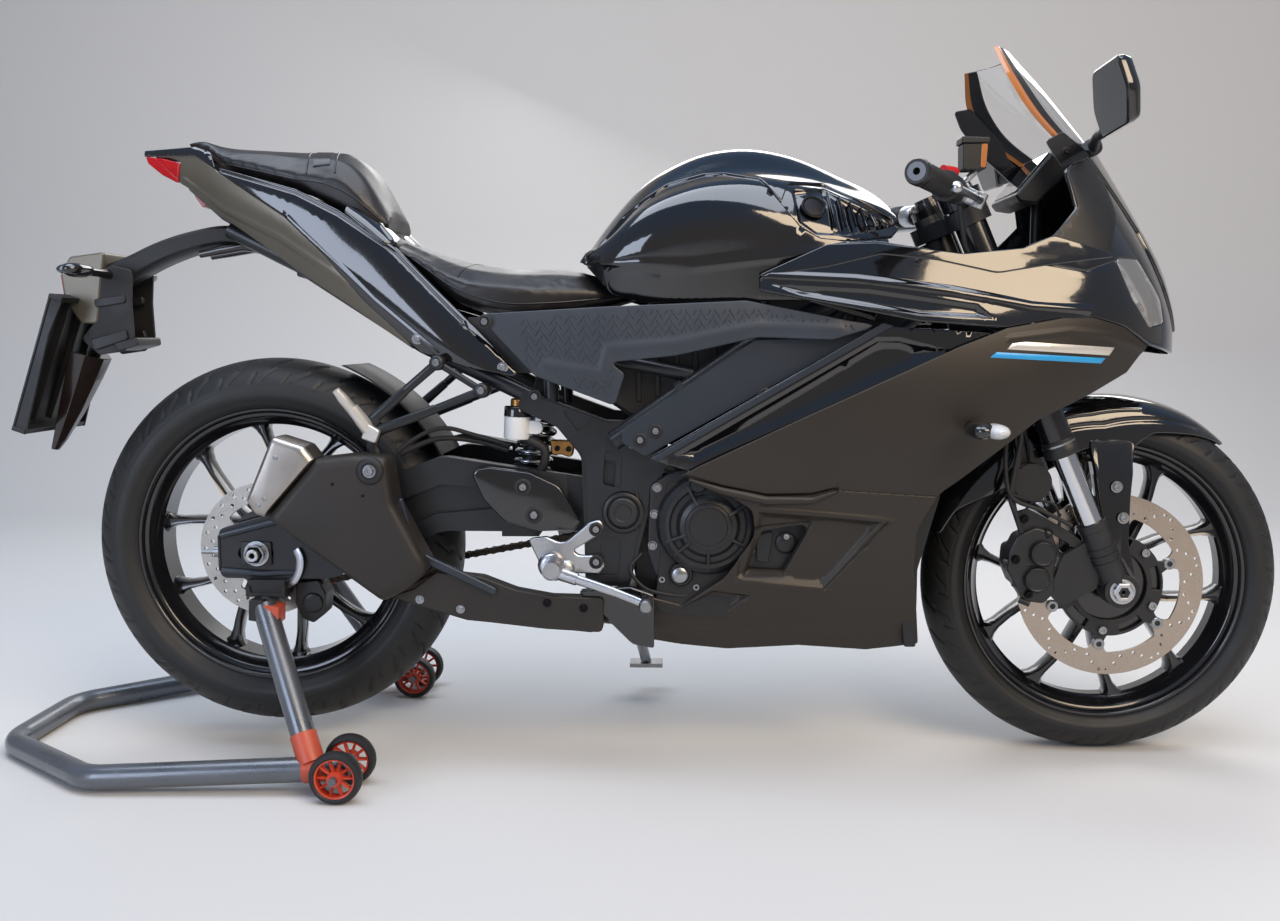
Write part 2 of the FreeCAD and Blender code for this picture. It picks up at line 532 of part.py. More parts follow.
def make_subframe():
    pieces = []
    for s in (-1, 1):
        pieces.append(bent_tube([(450, s * 124, 596), (270, s * 100, 680), (60, s * 58, 810), (-60, s * 38, 868)], 13, 60))
        pieces.append(bent_tube([(700, s * 122, 632), (420, s * 98, 690), (60, s * 56, 802)], 11, 60))
    cross = [rod((x, -h, z), (x, h, z), 9) for x, z, h in ((300, 684, 133), (80, 824, 90))]
    tank_bracket = bent_tube([(640, -114, 648), (636, -96, 768), (636, 96, 768), (640, 114, 648)], 8, 24)
    add("seat_subframe", fuse(pieces + cross + [tank_bracket]).cut(parts["main_frame"]))


# Body
def half_width_loft(sections):
    """Closed loft through cross-sections at rising x; each is (x, [(y, z), ...]) for one half, mirrored."""
    wires = []
    for x, half in sections:
        whole = [(x, y, z) for y, z in half] + [(x, -y, z) for y, z in reversed(half) if abs(y) > 1e-6]
        wires.append(polygon(whole))
    return loft(wires)


def make_tank():
    # x, top z, shoulder half width and z, knee half width and z, low half width and z
    rows = ((525, 820, 50, 816, 84, 811, 76, 805),
            (560, 868, 78, 845, 118, 815, 104, 794),
            (610, 925, 92, 895, 138, 835, 118, 781),
            (690, 975, 98, 935, 150, 865, 128, 772),
            (770, 992, 92, 950, 152, 875, 134, 770),
            (850, 982, 82, 945, 146, 872, 136, 774),
            (930, 950, 70, 925, 118, 868, 112, 800))
    sections = []
    for x, top, y1, z1, y2, z2, y3, z3 in rows:
        sections.append((x, [(0, top), (y1 * 0.55, top - 0.15 * (top - z1)), (y1, z1), ((y1 + y2) / 2 + 8, (z1 + z2) / 2 + 6),
                             (y2, z2), ((y2 + y3) / 2 + 4, (z2 + z3) / 2), (y3, z3), (0, z3)]))
    tank = half_width_loft(sections)
    add("fuel_tank", tank)
    front = ((930 + SEAT_GAP, 950, 70, 925, 117, 868, 110, 802),
             (985, 922, 58, 905, 88, 862, 84, 818),
             (1022, 896, 40, 884, 52, 862, 50, 826))
    sections = []
    for x, top, y1, z1, y2, z2, y3, z3 in front:
        sections.append((x, [(0, top), (y1 * 0.55, top - 0.15 * (top - z1)), (y1, z1), (y2, z2), (y3, z3), (0, z3)]))
    cover = half_width_loft(sections)
    add("tank_cover", cover)


def seat_loft(rows):
    """Cushion: (x, low z, edge z, top z, half width at the edge, half width on top)."""
    sections = []
    for x, low, edge, top, wide, crown in rows:
        sections.append((x, [(0, top), (crown * 0.6, top - 2), (crown, (edge + top) / 2 + 6), (wide, edge), (wide - 8, low), (0, low)]))
    return half_width_loft(sections)


def make_seats():
    add("rider_seat", seat_loft(((206, 842, 845, 849, 94, 62), (260, 806, 818, 832, 112, 80), (330, 745, 778, 812, 132, 96),
                                 (420, 724, 766, 800, 138, 98), (500, 733, 768, 799, 120, 84), (540, 742, 768, 789, 104, 76),
                                 (575, 750, 765, 777, 88, 64), (612, 758, 765, 770, 72, 50))))
    add("passenger_seat", seat_loft(((-134, 999, 1003, 1011, 36, 26), (-110, 998.4, 1003, 1010, 44, 32),
                                     (-60, 962.4, 978, 1001, 66, 46), (60, 926.4, 952, 991, 92, 66), (140, 886.4, 940, 988, 100, 74),
                                     (180, 866.4, 905, 953, 98, 78), (214, 856, 868, 885, 88, 70))))


def make_tail():
    """Tail cowl: tapering hollow shell under the passenger seat, open in front and below the seat."""
    # x, top z, bottom z, half width on top, half width at the bottom
    rows = ((-205, 996, 935, 22, 20), (-110, 998, 905, 52, 40), (-60, 962, 868, 74, 54), (60, 926, 800, 104, 82), (180, 866, 722, 122, 108),
            (300, 752, 640, 140, 132), (430, 640, 590, 150, 148))

    def skin(inset, up, down):
        wires = []
        for x, top, low, wide, narrow in rows:
            y1, y2 = wide - inset, narrow - inset
            wires.append(polygon([(x, -y1, top + up), (x, -y2, low - down), (x, y2, low - down), (x, y1, top + up)]))
        return loft(wires)
    below_seat = Part.makeBox(300, 400, 900, Vector(225, -200, 300))
    shell = skin(0.0, 0.0, 0.0).cut(skin(WALL, -WALL, 40.0)).cut(skin(WALL, 40.0, 40.0).common(below_seat))
    side = slab([(-110, 1000), (-58, 963), (70, 926), (139, 893, 20), (232, 832), (342, 724), (428, 636), (418, 634), (274, 667, 20),
                 (183, 745), (31, 844), (-68, 884), (-127, 935), (-143, 943), (-136, 977), (-170, 985), (-205, 985), (-205, 1000)], -200, 200)
    add("tail_cowl", shell.common(side).cut(parts["seat_subframe"]))
    lamp = skin(0.0, 0.0, 0.0).common(slab([(-205, 984.6), (-170.4, 984.6), (-136.6, 976.6), (-143.6, 943.4), (-170, 942), (-205, 962)], -90, 90))
    add("tail_light", lamp)


def make_side_covers():
    cover = slab([(366, 728, 8), (560, 739, 20), (780, 748, 30), (933, 717, 6), (982, 710, 6), (909, 688, 10), (797, 692, 40), (672, 664, 20), (572, 654, 12),
                  (595, 636, 8), (579, 587, 10), (456, 633, 20)], -171, -164.7)
    add("side_covers", both_sides(cover))


def make_inner_panels():
    """Flat trim beside the frame and the gloss panel that shows above the side fairing."""
    panel = slab([(794, 688, 6), (912, 690), (984, 709, 4), (626, 509, 8), (590, 530, 8), (590, 548, 6)], -164.4, -159.4)
    gloss = slab([(638, 503), (705, 480), (863, 550), (1150, 682), (1150, 698), (996, 706), (984, 711), (640, 511)], -184.5, -178.5)
    bosses = [rod((x, -184, z), (x, -145, z), 8) for x, z in ((800, 580), (900, 640))]
    pins = [rod((x, -186, z), (x, -240, z), 5).common(fairing_skin(WALL)) for x, z in ((780, 519), (1000, 624))]
    gloss = fuse([gloss] + bosses + pins).cut(parts["main_frame"]).cut(panel)
    add("inner_panels", both_sides(panel) + both_sides(gloss))


def fairing_skin(inset):
    """Plan-view slices of the side fairing, joined upwards; each is (z, ((x, half width), ...))."""
    slices = ((170, ((560, 92), (760, 104), (960, 110), (1080, 112), (1300, 60), (1500, 0))),
              (290, ((560, 150), (760, 166), (960, 166), (1080, 162), (1300, 90), (1500, 0))),
              (420, ((560, 174), (760, 194), (960, 198), (1080, 196), (1300, 130), (1500, 0))),
              (540, ((560, 176), (760, 202), (960, 216), (1120, 214), (1300, 150), (1500, 0))),
              (640, ((560, 172), (760, 202), (960, 218), (1160, 218), (1340, 150), (1500, 0))),
              (710, ((560, 165), (760, 192), (960, 208), (1180, 208), (1380, 140), (1500, 0))),
              (800, ((560, 150), (760, 176), (960, 188), (1180, 182), (1370, 130), (1490, 0))))
    wires = []
    for z, plan in slices:
        half = [(x, -max(w - inset, 0.0), z) for x, w in plan[:-1]]
        nose = (plan[-1][0] - inset, 0.0, z)
        whole = half + [nose] + [(x, -y, z) for x, y, z in reversed(half)]
        wires.append(polygon(whole))
    return loft(wires)


def make_fairings():
    shell = fairing_skin(0.0).cut(fairing_skin(WALL))
    side = [(709, 497, 4), (860, 570), (1093, 679)] + [(x, z - SEAM) for x, z in FAIRING_SEAM] + [
            (1370, 637), (1306, 606), (1216, 567), (1160, 524), (1099, 477), (1071, 457, 30), (1040, 402, 60), (1040, 336), (1060, 206, 4),
            (978, 193), (870, 200), (756, 191), (679, 198, 10), (608, 210, 30), (590, 300), (626, 285), (682, 270), (748, 318, 40), (796, 385, 30),
            (790, 430, 20), (744, 458, 30), (681, 482)]
    window = slab([(807, 391, 6), (880, 403, 10), (839, 324, 8), (783, 327, 6)], -300, -100)
    right = shell.common(slab(side, -300, -20)).cut(window)
    add("side_fairings", both_sides(right))


def make_upper_fairing():
    """Nose and cockpit cowl: a hollow shell of plan slices, cut to its side outline with openings for lamps and wheel."""
    slices = ((660, ((800, 196), (960, 206), (1180, 206), (1380, 138), (1455, 70), (1486, 0))),
              (720, ((800, 190), (960, 204), (1180, 204), (1380, 140), (1450, 75), (1483, 0))),
              (800, ((800, 170), (960, 186), (1180, 184), (1350, 140), (1420, 76), (1460, 0))),
              (880, ((800, 150), (960, 160), (1180, 172), (1320, 132), (1380, 70), (1415, 0))),
              (985, ((800, 120), (960, 130), (1180, 150), (1270, 110), (1320, 60), (1350, 0))))

    def skin(inset):
        wires = []
        for z, plan in slices:
            half = [(x, -max(w - inset, 1.0), z) for x, w in plan[:-1]]
            whole = half + [(plan[-1][0] - inset, 0.0, z)] + [(x, -y, z) for x, y, z in reversed(half)]
            wires.append(polygon(whole))
        return loft(wires)
    shell = skin(0.0).cut(skin(WALL))
    side = [(774, 768, 4), (900, 832, 20), (972, 837), (1100, 815, 60), (1190, 822), (1237, 841, 30), (1275, 885), (1262, 945, 10), (1310, 972), (1350, 983),
            (1450, 880), (1500, 760), (1500, 664), (1484, 664)] + [p for p in reversed(FAIRING_SEAM)] + [(1035, 715)]
    cowl = shell.common(slab(side, -300, 300))
    lamp = slab([(1345, 807, 6), (1386, 805, 6), (1419, 749, 14), (1398, 716, 8), (1372, 748, 10)], -300, -30)
    lamps = shell.common(lamp)
    cowl = cowl.cut(lamp).cut(mirrored(lamp)).cut(parts["main_frame"])
    add("upper_fairing", cowl)
    add("headlights", both_sides(lamps))


def make_screen():
    # z, centre x, half width, x at the side edge
    rows = ((985, 1346, 108, 1268), (1030, 1306, 130, 1215), (1080, 1262, 128, 1182), (1138, 1208, 92, 1165))

    def bow(x_mid, half, x_side, z, inset):
        a, b, c = fitted(x_side - inset, -half, z), fitted(x_mid - inset, 0, z), fitted(x_side - inset, half, z)
        return a, b, c
    wires = []
    for z, x_mid, half, x_side in rows:
        outer = bow(x_mid, half, x_side, z, 0.0)
        inner = bow(x_mid, half, x_side, z, 4.0)
        wires.append(Part.Wire([Part.Arc(*outer).toShape(), Part.LineSegment(outer[2], inner[2]).toShape(),
                                Part.Arc(inner[2], inner[1], inner[0]).toShape(), Part.LineSegment(inner[0], outer[0]).toShape()]))
    add("windscreen", loft(wires))


# Front end that turns with the steering
def make_fork():
    outers, stanchions, feet = [], [], []
    for s in (-1, 1):
        y = s * FORK_HALF_SPAN
        outer = rod(on_fork(FORK_SEAL, 0, y), on_fork(FORK_LENGTH, 0, y), FORK_OUTER_RADIUS)
        socket = rod(on_fork(FORK_SEAL - 1, 0, y), on_fork(FORK_SEAL + 60, 0, y), STANCHION_RADIUS)
        collar = rod(on_fork(FORK_SEAL, 0, y), on_fork(FORK_SEAL + 16, 0, y), FORK_OUTER_RADIUS + 3)
        cap = rod(on_fork(FORK_LENGTH, 0, y), on_fork(FORK_LENGTH + 8, 0, y), 17)
        outers.append(fuse([outer, collar, cap]).cut(socket))
        stanchions.append(rod(on_fork(FORK_FOOT_TOP - 40, 0, y), on_fork(FORK_SEAL + 60, 0, y), STANCHION_RADIUS))
        foot = rod(on_fork(-16, 0, y), on_fork(FORK_FOOT_TOP, 0, y), 22)
        socket = rod(on_fork(FORK_FOOT_TOP - 40, 0, y), on_fork(FORK_FOOT_TOP + 5, 0, y), STANCHION_RADIUS)
        boss = rod((DRAWN_WHEELBASE, y - 19, DRAWN_FRONT_AXLE), (DRAWN_WHEELBASE, y + 19, DRAWN_FRONT_AXLE), 27)
        pieces = [foot, boss]
        if s < 0:
            ear = [(1290, 345, 8), (1332, 372, 8), (1352, 330, 8), (1345, 292, 8), (1290, 262, 10), (1270, 285, 8)]
            pieces.append(slab(ear, y - 4, y + 8))
        feet.append(fuse(pieces).cut(socket))
    end = FORK_HALF_SPAN + 19
    add("fork_tubes", outers)
    add("fork_sliders", stanchions)
    shaft = rod((DRAWN_WHEELBASE, -end - 8, DRAWN_FRONT_AXLE), (DRAWN_WHEELBASE, end + 8, DRAWN_FRONT_AXLE), AXLE_RADIUS)
    heads = [rod((DRAWN_WHEELBASE, s * end, DRAWN_FRONT_AXLE), (DRAWN_WHEELBASE, s * (end + 8), DRAWN_FRONT_AXLE), 15) for s in (-1, 1)]
    hollow = rod((DRAWN_WHEELBASE, -end - 9, DRAWN_FRONT_AXLE), (DRAWN_WHEELBASE, end + 9, DRAWN_FRONT_AXLE), AXLE_BORE)
    add("fork_feet", fuse(feet + [shaft] + heads).cut(hollow))


def clamp(along, thick, span):
    """Fork yoke: a plate across the legs at right angles to them, bored for both legs."""
    plan = ((26, 0), (26, span - 36), (18, span), (-18, span), (-28, span - 40), (-FORK_OFFSET - 26, 26), (-FORK_OFFSET - 30, 0))
    low = [on_fork(along - thick / 2, ahead, y) for ahead, y in plan]
    whole = low + [on_fork(along - thick / 2, ahead, -y) for ahead, y in reversed(plan[1:-1])]
    up = Vector(-SIN, 0, COS) * thick
    plate = Part.Face(polygon(whole)).extrude(up)
    ends = []
    for s in (-1, 1):
        y = s * FORK_HALF_SPAN
        ends.append(rod(on_fork(along - thick / 2, 0, y), on_fork(along + thick / 2, 0, y), FORK_OUTER_RADIUS + 9))
    plate = fuse([plate] + ends)
    for s in (-1, 1):
        y = s * FORK_HALF_SPAN
        plate = plate.cut(rod(on_fork(along - thick, 0, y), on_fork(along + thick, 0, y), FORK_OUTER_RADIUS))
    return plate


def make_clamps():
    lower = clamp(LOWER_CLAMP, CLAMP_THICK + 8, FORK_HALF_SPAN)
    upper = clamp(UPPER_CLAMP, CLAMP_THICK, FORK_HALF_SPAN)
    stem = rod(on_fork(LOWER_CLAMP, -FORK_OFFSET), on_fork(UPPER_CLAMP + 24, -FORK_OFFSET), STEM_RADIUS)
    nut = rod(on_fork(UPPER_CLAMP + CLAMP_THICK / 2, -FORK_OFFSET), on_fork(UPPER_CLAMP + CLAMP_THICK / 2 + 12, -FORK_OFFSET), 19)
    whole = fuse([lower, upper, stem, nut])
    hollow = rod(on_fork(LOWER_CLAMP - 60, -FORK_OFFSET), on_fork(UPPER_CLAMP + 60, -FORK_OFFSET), 8)
    add("triple_clamps", whole.cut(hollow))


def make_handlebars():
    bars, grips, controls = [], [], []
    for s in (-1, 1):
        low = on_fork(UPPER_CLAMP + 16, 0, s * FORK_HALF_SPAN)
        high = on_fork(UPPER_CLAMP + 40, 0, s * FORK_HALF_SPAN)
        ring = rod(low, high, FORK_OUTER_RADIUS + 8)
        root = Vector(*on_fork(UPPER_CLAMP + 28, 6, s * (FORK_HALF_SPAN + 20)))
        end = Vector(1004, s * 338, 912)
        way = (end - root).normalize()
        bar = rod(tuple(root), tuple(end), 11)
        weight = rod(tuple(end), tuple(end + way * 20), 16, 5)
        legs = rod(on_fork(UPPER_CLAMP, 0, s * FORK_HALF_SPAN), on_fork(FORK_LENGTH + 20, 0, s * FORK_HALF_SPAN), FORK_OUTER_RADIUS)
        bars.append(fuse([ring, bar]).cut(legs))
        bars.append(weight)
        grip_start = end - way * 122
        core = rod(tuple(root), tuple(end), 11)
        grips.append(rod(tuple(grip_start), tuple(end - way * 1), 17).cut(core))
        block_start = grip_start - way * 46
        block = rod(tuple(block_start), tuple(grip_start - way * 1), 23).cut(core)
        perch_start = block_start - way * 32
        perch = rod(tuple(perch_start), tuple(block_start - way * 1), 18).cut(core)
        ahead = Vector(0.93, 0, -0.36)
        pivot = perch_start + way * 16 + ahead * 34
        arm = rod(tuple(perch_start + way * 16 + ahead * 16), tuple(pivot), 9)
        tip = end - way * 14 + ahead * 48
        blade_root = pivot + way * 6
        lever = bent_tube([tuple(pivot), tuple(blade_root + way * 40 + ahead * 16), tuple(tip)], 6, 40)
        ball = Part.makeSphere(9, fitted(*tip))
        controls += [block, fuse([perch, arm, lever, ball])]
        if s < 0:
            base = perch_start + way * 16 + Vector(26, 0, 26)
            cup = rod(tuple(base), tuple(base + Vector(4, 0, 48)), 21)
            stalk = rod(tuple(perch_start + way * 16 + Vector(8, 0, 14)), tuple(base + Vector(1, 0, 6)), 5)
            controls[-1] = fuse([controls[-1], stalk, cup])
        controls[-1] = controls[-1].cut(core)
    add("handlebars", bars)
    add("hand_grips", grips)
    add("hand_controls", controls)


def make_front_fender():
    """Mudguard: an arched shell over the tyre with a long arm down each leg."""
    centre = (DRAWN_WHEELBASE, DRAWN_FRONT_AXLE)
    gap, thick, half = 16.0, 3.0, 68.0
    r = FRONT_TYRE_RADIUS + gap
    profile = [(r, 0), (r - 10, half * 0.6), (r - 46, half), (r - 46, half + thick), (r - 8, half * 0.62 + thick), (r + thick, 0),
               (r - 8, -half * 0.62 - thick), (r - 46, -half - thick), (r - 46, -half), (r - 10, -half * 0.6)]
    arch = turned(profile, centre)
    side = [(1060, 372), (1106, 373, 10), (1129, 411, 30), (1185, 440), (1262, 470, 30), (1300, 500), (1340, 520, 20), (1407, 517, 10),
            (1469, 541, 30), (1538, 528), (1560, 545), (1530, 640), (1300, 660), (1100, 560), (1030, 420)]
    arch = arch.common(slab(side, -90, 90))
    arms = []
    for s in (-1, 1):
        strut = [(1336, 530, 10), (1404, 530, 10), (1392, 434, 20), (1376, 372, 10), (1330, 372, 10), (1334, 440, 30)]
        root = [(1330, 572, 6), (1406, 572, 6), (1404, 505, 8), (1336, 505, 8)]
        arms.append(slab(strut, s * 74, s * (FORK_HALF_SPAN - 17)))
        arms.append(slab(root, s * 62, s * 78))
    whole = fuse([arch] + arms)
    add("front_fender", whole.cut(parts["fork_feet"]).cut(parts["fork_sliders"]).cut(parts["fork_tubes"]))


def make_front_brake():
    """Two-piston caliper over the disc, and the hose that feeds it."""
    y_out = -FORK_HALF_SPAN - 6
    body = slab([(1206, 371, 12), (1240, 392, 20), (1284, 340, 10), (1290, 300, 10), (1272, 262, 14), (1222, 282, 20), (1200, 330, 20)], y_out - 8, FRONT_DISC_Y - 10)
    caps = [rod((x, y_out - 22, z), (x, y_out - 8, z), 19) for x, z in ((1234, 352), (1246, 302))]
    inner = slab([(1206, 365, 12), (1236, 372, 10), (1262, 320, 10), (1258, 280, 10), (1222, 286, 14), (1202, 330, 14)], FRONT_DISC_Y - 10, FRONT_DISC_Y + 14)
    slot = turned([(FRONT_DISC_RADIUS + 4, FRONT_DISC_Y - DISC_THICK - 3), (FRONT_DISC_RADIUS + 4, FRONT_DISC_Y + 3), (0, FRONT_DISC_Y + 3), (0, FRONT_DISC_Y - DISC_THICK - 3)], (DRAWN_WHEELBASE, DRAWN_FRONT_AXLE))
    ear = slab([(1290, 345, 8), (1332, 372, 8), (1352, 330, 8), (1345, 292, 8), (1290, 262, 10), (1270, 285, 8)], -FORK_HALF_SPAN - 30, -FORK_HALF_SPAN + 30)
    add("front_caliper", fuse([body, inner] + caps).cut(slot).cut(ear))
    hose = bent_tube([(1222, y_out - 2, 384), (1200, y_out - 8, 440), (1212, -FORK_HALF_SPAN - 26, 540), (1170, -FORK_HALF_SPAN - 44, 700),
                      (1108, -FORK_HALF_SPAN - 58, 830), (1096, -172, 888)], 4, 40)
    add("brake_hose", hose.cut(parts["front_caliper"]).cut(parts["hand_controls"]))


# Lamps, instruments and mirrors
def make_cockpit():
    dash = slab([(1216, 904, 6), (1240, 902, 6), (1298, 960, 6), (1278, 984, 6)], -72, 72)
    bezel = slab([(1210, 910, 3), (1219, 902), (1282, 981), (1270, 989, 3)], -66, 66)
    add("instruments", fuse([dash, bezel]).cut(parts["main_frame"]))
    y = -HORN_Y
    horn = rod((1240, y - 12, 462), (1240, y + 10, 462), 27)
    rim = rod((1240, y - 16, 462), (1240, y - 12, 462), 30)
    strap = slab([(1226, 470, 4), (1246, 474, 4), (1206, 733, 4), (1188, 727, 4)], y + 10, y + 14)
    add("horn", fuse([horn, rim, strap]).cut(parts["triple_clamps"]))


def make_mirrors():
    mirrors = []
    for s in (-1, 1):
        root = (1318, s * 92, 984)
        stem = bent_tube([root, (1300, s * 170, 990), (1276, s * 250, 986), (1270, s * 300, 1000)], 8, 24)
        back = polygon([(1286, s * y, z) for y, z in ((256, 972), (356, 978), (374, 1020), (362, 1062), (272, 1060), (246, 1010))])
        front = polygon([(1254, s * y, z) for y, z in ((248, 964), (364, 970), (386, 1020), (372, 1070), (264, 1068), (236, 1010))])
        head = loft([back, front])
        head.rotate(fitted(1270, s * 310, 1020), Y_AXIS, -14)
        foot = rod((1300, s * 92, 984), (1326, s * 84, 978), 12)
        mirrors.append(fuse([head, stem, foot]).cut(parts["upper_fairing"]).cut(parts["windscreen"]))
    add("mirrors", mirrors)


def make_plate_holder():
    """Arm under the tail with a flat tongue, the plate on it and the four indicators."""
    arm = slab([(-19, 862, 8), (-76, 866, 20), (-240, 818, 30), (-336, 768, 10), (-384, 750, 4), (-392, 694, 4), (-300, 716, 10), (-210, 772, 30), (-13, 815, 10)], -34, 34)
    top, way = Vector(*PLATE_TOP), Vector(-math.sin(math.radians(PLATE_LEAN)), 0, -math.cos(math.radians(PLATE_LEAN)))
    face = Vector(-way.z, 0, way.x)

    def sheet(start, length, near, thick, half):
        corners = [top + way * start + face * near, top + way * (start + length) + face * near,
                   top + way * (start + length) + face * (near + thick), top + way * start + face * (near + thick)]
        return slab([(c.x, c.z) for c in corners], -half, half)
    tongue = sheet(-4, 214, SEAT_GAP, 7, 55)
    plate = sheet(0, PLATE_LENGTH, -2.5, 2.5, PLATE_HALF)
    holder = fuse([arm, tongue]).cut(parts["seat_subframe"])
    behind = sheet(-60, 400, SEAT_GAP - 200, 200, 200)
    add("plate_holder", holder.cut(behind))
    add("number_plate", plate)
    stalks = []
    for s in (-1, 1):
        stalks.append(fuse([rod((-268, s * 35, 764), (-276, s * 96, 766), 7), rod((-276, s * 92, 766), (-284, s * 150, 768), 20)]))
        stalks.append(fuse([rod((1120, s * 215.6, 558), (1122, s * 250, 558), 8), rod((1122, s * 246, 558), (1126, s * 312, 558), 20)]))
    add("indicators", stalks)


# Rider's controls and rear fittings
def make_footrests():
    y0 = PLATE_INNER_Y + PLATE_THICK
    heel = [(350, 485, 14), (445, 482, 10), (492, 462, 14), (523, 406, 10), (516, 388, 6), (460, 390, 20), (404, 406, 14)]
    hanger = [(549, 399, 10), (551, 334, 8), (500, 318, 8), (470, 332, 10), (494, 372, 10), (524, 392, 6)]
    brackets = []
    for s in (-1, 1):
        plate = slab(heel, s * (y0 + 8), s * (y0 + 14))
        spacer = [rod((x, s * y0, z), (x, s * (y0 + 9), z), 9) for x, z in ((500, 430), (512, 410))]
        arm = slab(hanger, s * y0, s * (y0 + 12))
        link = slab([(490, 440, 8), (530, 440, 8), (560, 395, 8), (540, 380, 8), (505, 395, 8)], s * y0, s * (y0 + 8))
        hold = rod((492, s * (y0 + 10), 340), (492, s * (y0 + 30), 340), 17)
        peg = rod((492, s * (y0 + 26), 340), (488, s * (y0 + 112), 346), 13)
        brackets.append(fuse([plate, arm, link, hold, peg] + spacer))
    add("rider_footrests", brackets)
    pivot_x, pivot_z = 520, 330
    brake = bent_tube([(pivot_x, -y0 - 21, pivot_z), (560, -y0 - 40, 306), (636, -y0 - 52, 288)], 8, 60)
    pad = rod((636, -y0 - 40, 288), (636, -y0 - 80, 288), 11)
    boss = rod((pivot_x, -y0 - 12, pivot_z), (pivot_x, -y0 - 30, pivot_z), 12)
    shift = bent_tube([(pivot_x, y0 + 21, pivot_z), (560, y0 + 40, 334), (640, y0 + 54, 346)], 6, 60)
    shift_pad = rod((640, y0 + 48, 346), (640, y0 + 84, 346), 9)
    shift_boss = rod((pivot_x, y0 + 12, pivot_z), (pivot_x, y0 + 30, pivot_z), 12)
    add("foot_pedals", [fuse([brake, pad, boss]), fuse([shift, shift_pad, shift_boss])])


def make_passenger_footrests():
    hangers = []
    for s in (-1, 1):
        knee, foot = (186, s * 152, 556), (208, s * 136, 490)
        upper = bent_tube([(440, s * 161, 634), (310, s * 161, 628), knee], 9, 60)
        lower = bent_tube([(440, s * 161, 588), (310, s * 154, 560), (208, s * 134, 496)], 9, 60)
        feet = [rod((440, s * 124, z), (440, s * 163, z), 10.5) for z in (634, 588)]
        down = rod(knee, foot, 8)
        boss = rod((208, s * 128, 490), (208, s * (MUFFLER_IN - SEAT_GAP), 490), 14)
        strut = rod((318, s * 160, 628), (318, s * 159, 562), 6)
        peg = rod((192, s * 152, 562), (150, s * 184, 612), 9)
        hangers.append(fuse([upper, lower, down, boss, strut, peg] + feet))
    add("passenger_footrests", [hanger.cut(parts["main_frame"]).cut(parts["seat_subframe"]) for hanger in hangers])


def make_guards():
    r = REAR_TYRE_RADIUS + 14
    hugger = turned([(r, -74), (r + 3, -74), (r + 3, 82), (r, 82)], (0, DRAWN_REAR_AXLE))
    hugger = hugger.common(slab([(120, 645), (330, 700), (420, 560), (400, 520), (280, 500), (250, 560)], -90, 90))
    guard = slab([(30, 468), (120, 482, 30), (300, 524, 30), (420, 502), (420, 496), (300, 514, 30), (120, 471, 30), (34, 459)], 76, 112)
    posts = [rod((x, ARM_INNER_Y + 5, z), (x, ARM_INNER_Y + 5, z + 34), 5) for x, z in ((150, 442), (385, 472))]
    add("rear_hugger", fuse([guard, hugger] + posts).cut(parts["swingarm"]))


def make_rear_caliper():
    body = slab([(52, 300, 10), (100, 290, 12), (112, 250, 12), (84, 226, 12), (44, 240, 14)], -118, REAR_DISC_Y + 16)
    slot = turned([(REAR_DISC_RADIUS + 4, REAR_DISC_Y - DISC_THICK - 3), (REAR_DISC_RADIUS + 4, REAR_DISC_Y + 3), (0, REAR_DISC_Y + 3), (0, REAR_DISC_Y - DISC_THICK - 3)], (0, DRAWN_REAR_AXLE))
    lug = slab([(58, 290), (58, 334, 8), (98, 334, 8), (98, 290)], -ARM_INNER_Y + SEAT_GAP, -ARM_INNER_Y + 8)
    add("rear_caliper", fuse([body.cut(slot), lug]))


# Stands
def make_side_stand():
    foot = SIDE_PIVOT + SIDE_WAY * SIDE_LENGTH
    leg = rod(tuple(SIDE_PIVOT + SIDE_WAY * 12), tuple(foot), 10)
    half = SIDE_AXIS * (SIDE_EYE / 2)
    eye = rod(tuple(SIDE_PIVOT - half), tuple(SIDE_PIVOT + half), 15)
    sole = Part.makeBox(64, 40, 8, Vector(foot.x - 32, foot.y - 16, foot.z - 8))
    bore = rod(tuple(SIDE_PIVOT - half * 2), tuple(SIDE_PIVOT + half * 2), SIDE_PIN + RUNNING)
    add("side_stand", fuse([leg, eye, sole]).cut(bore))


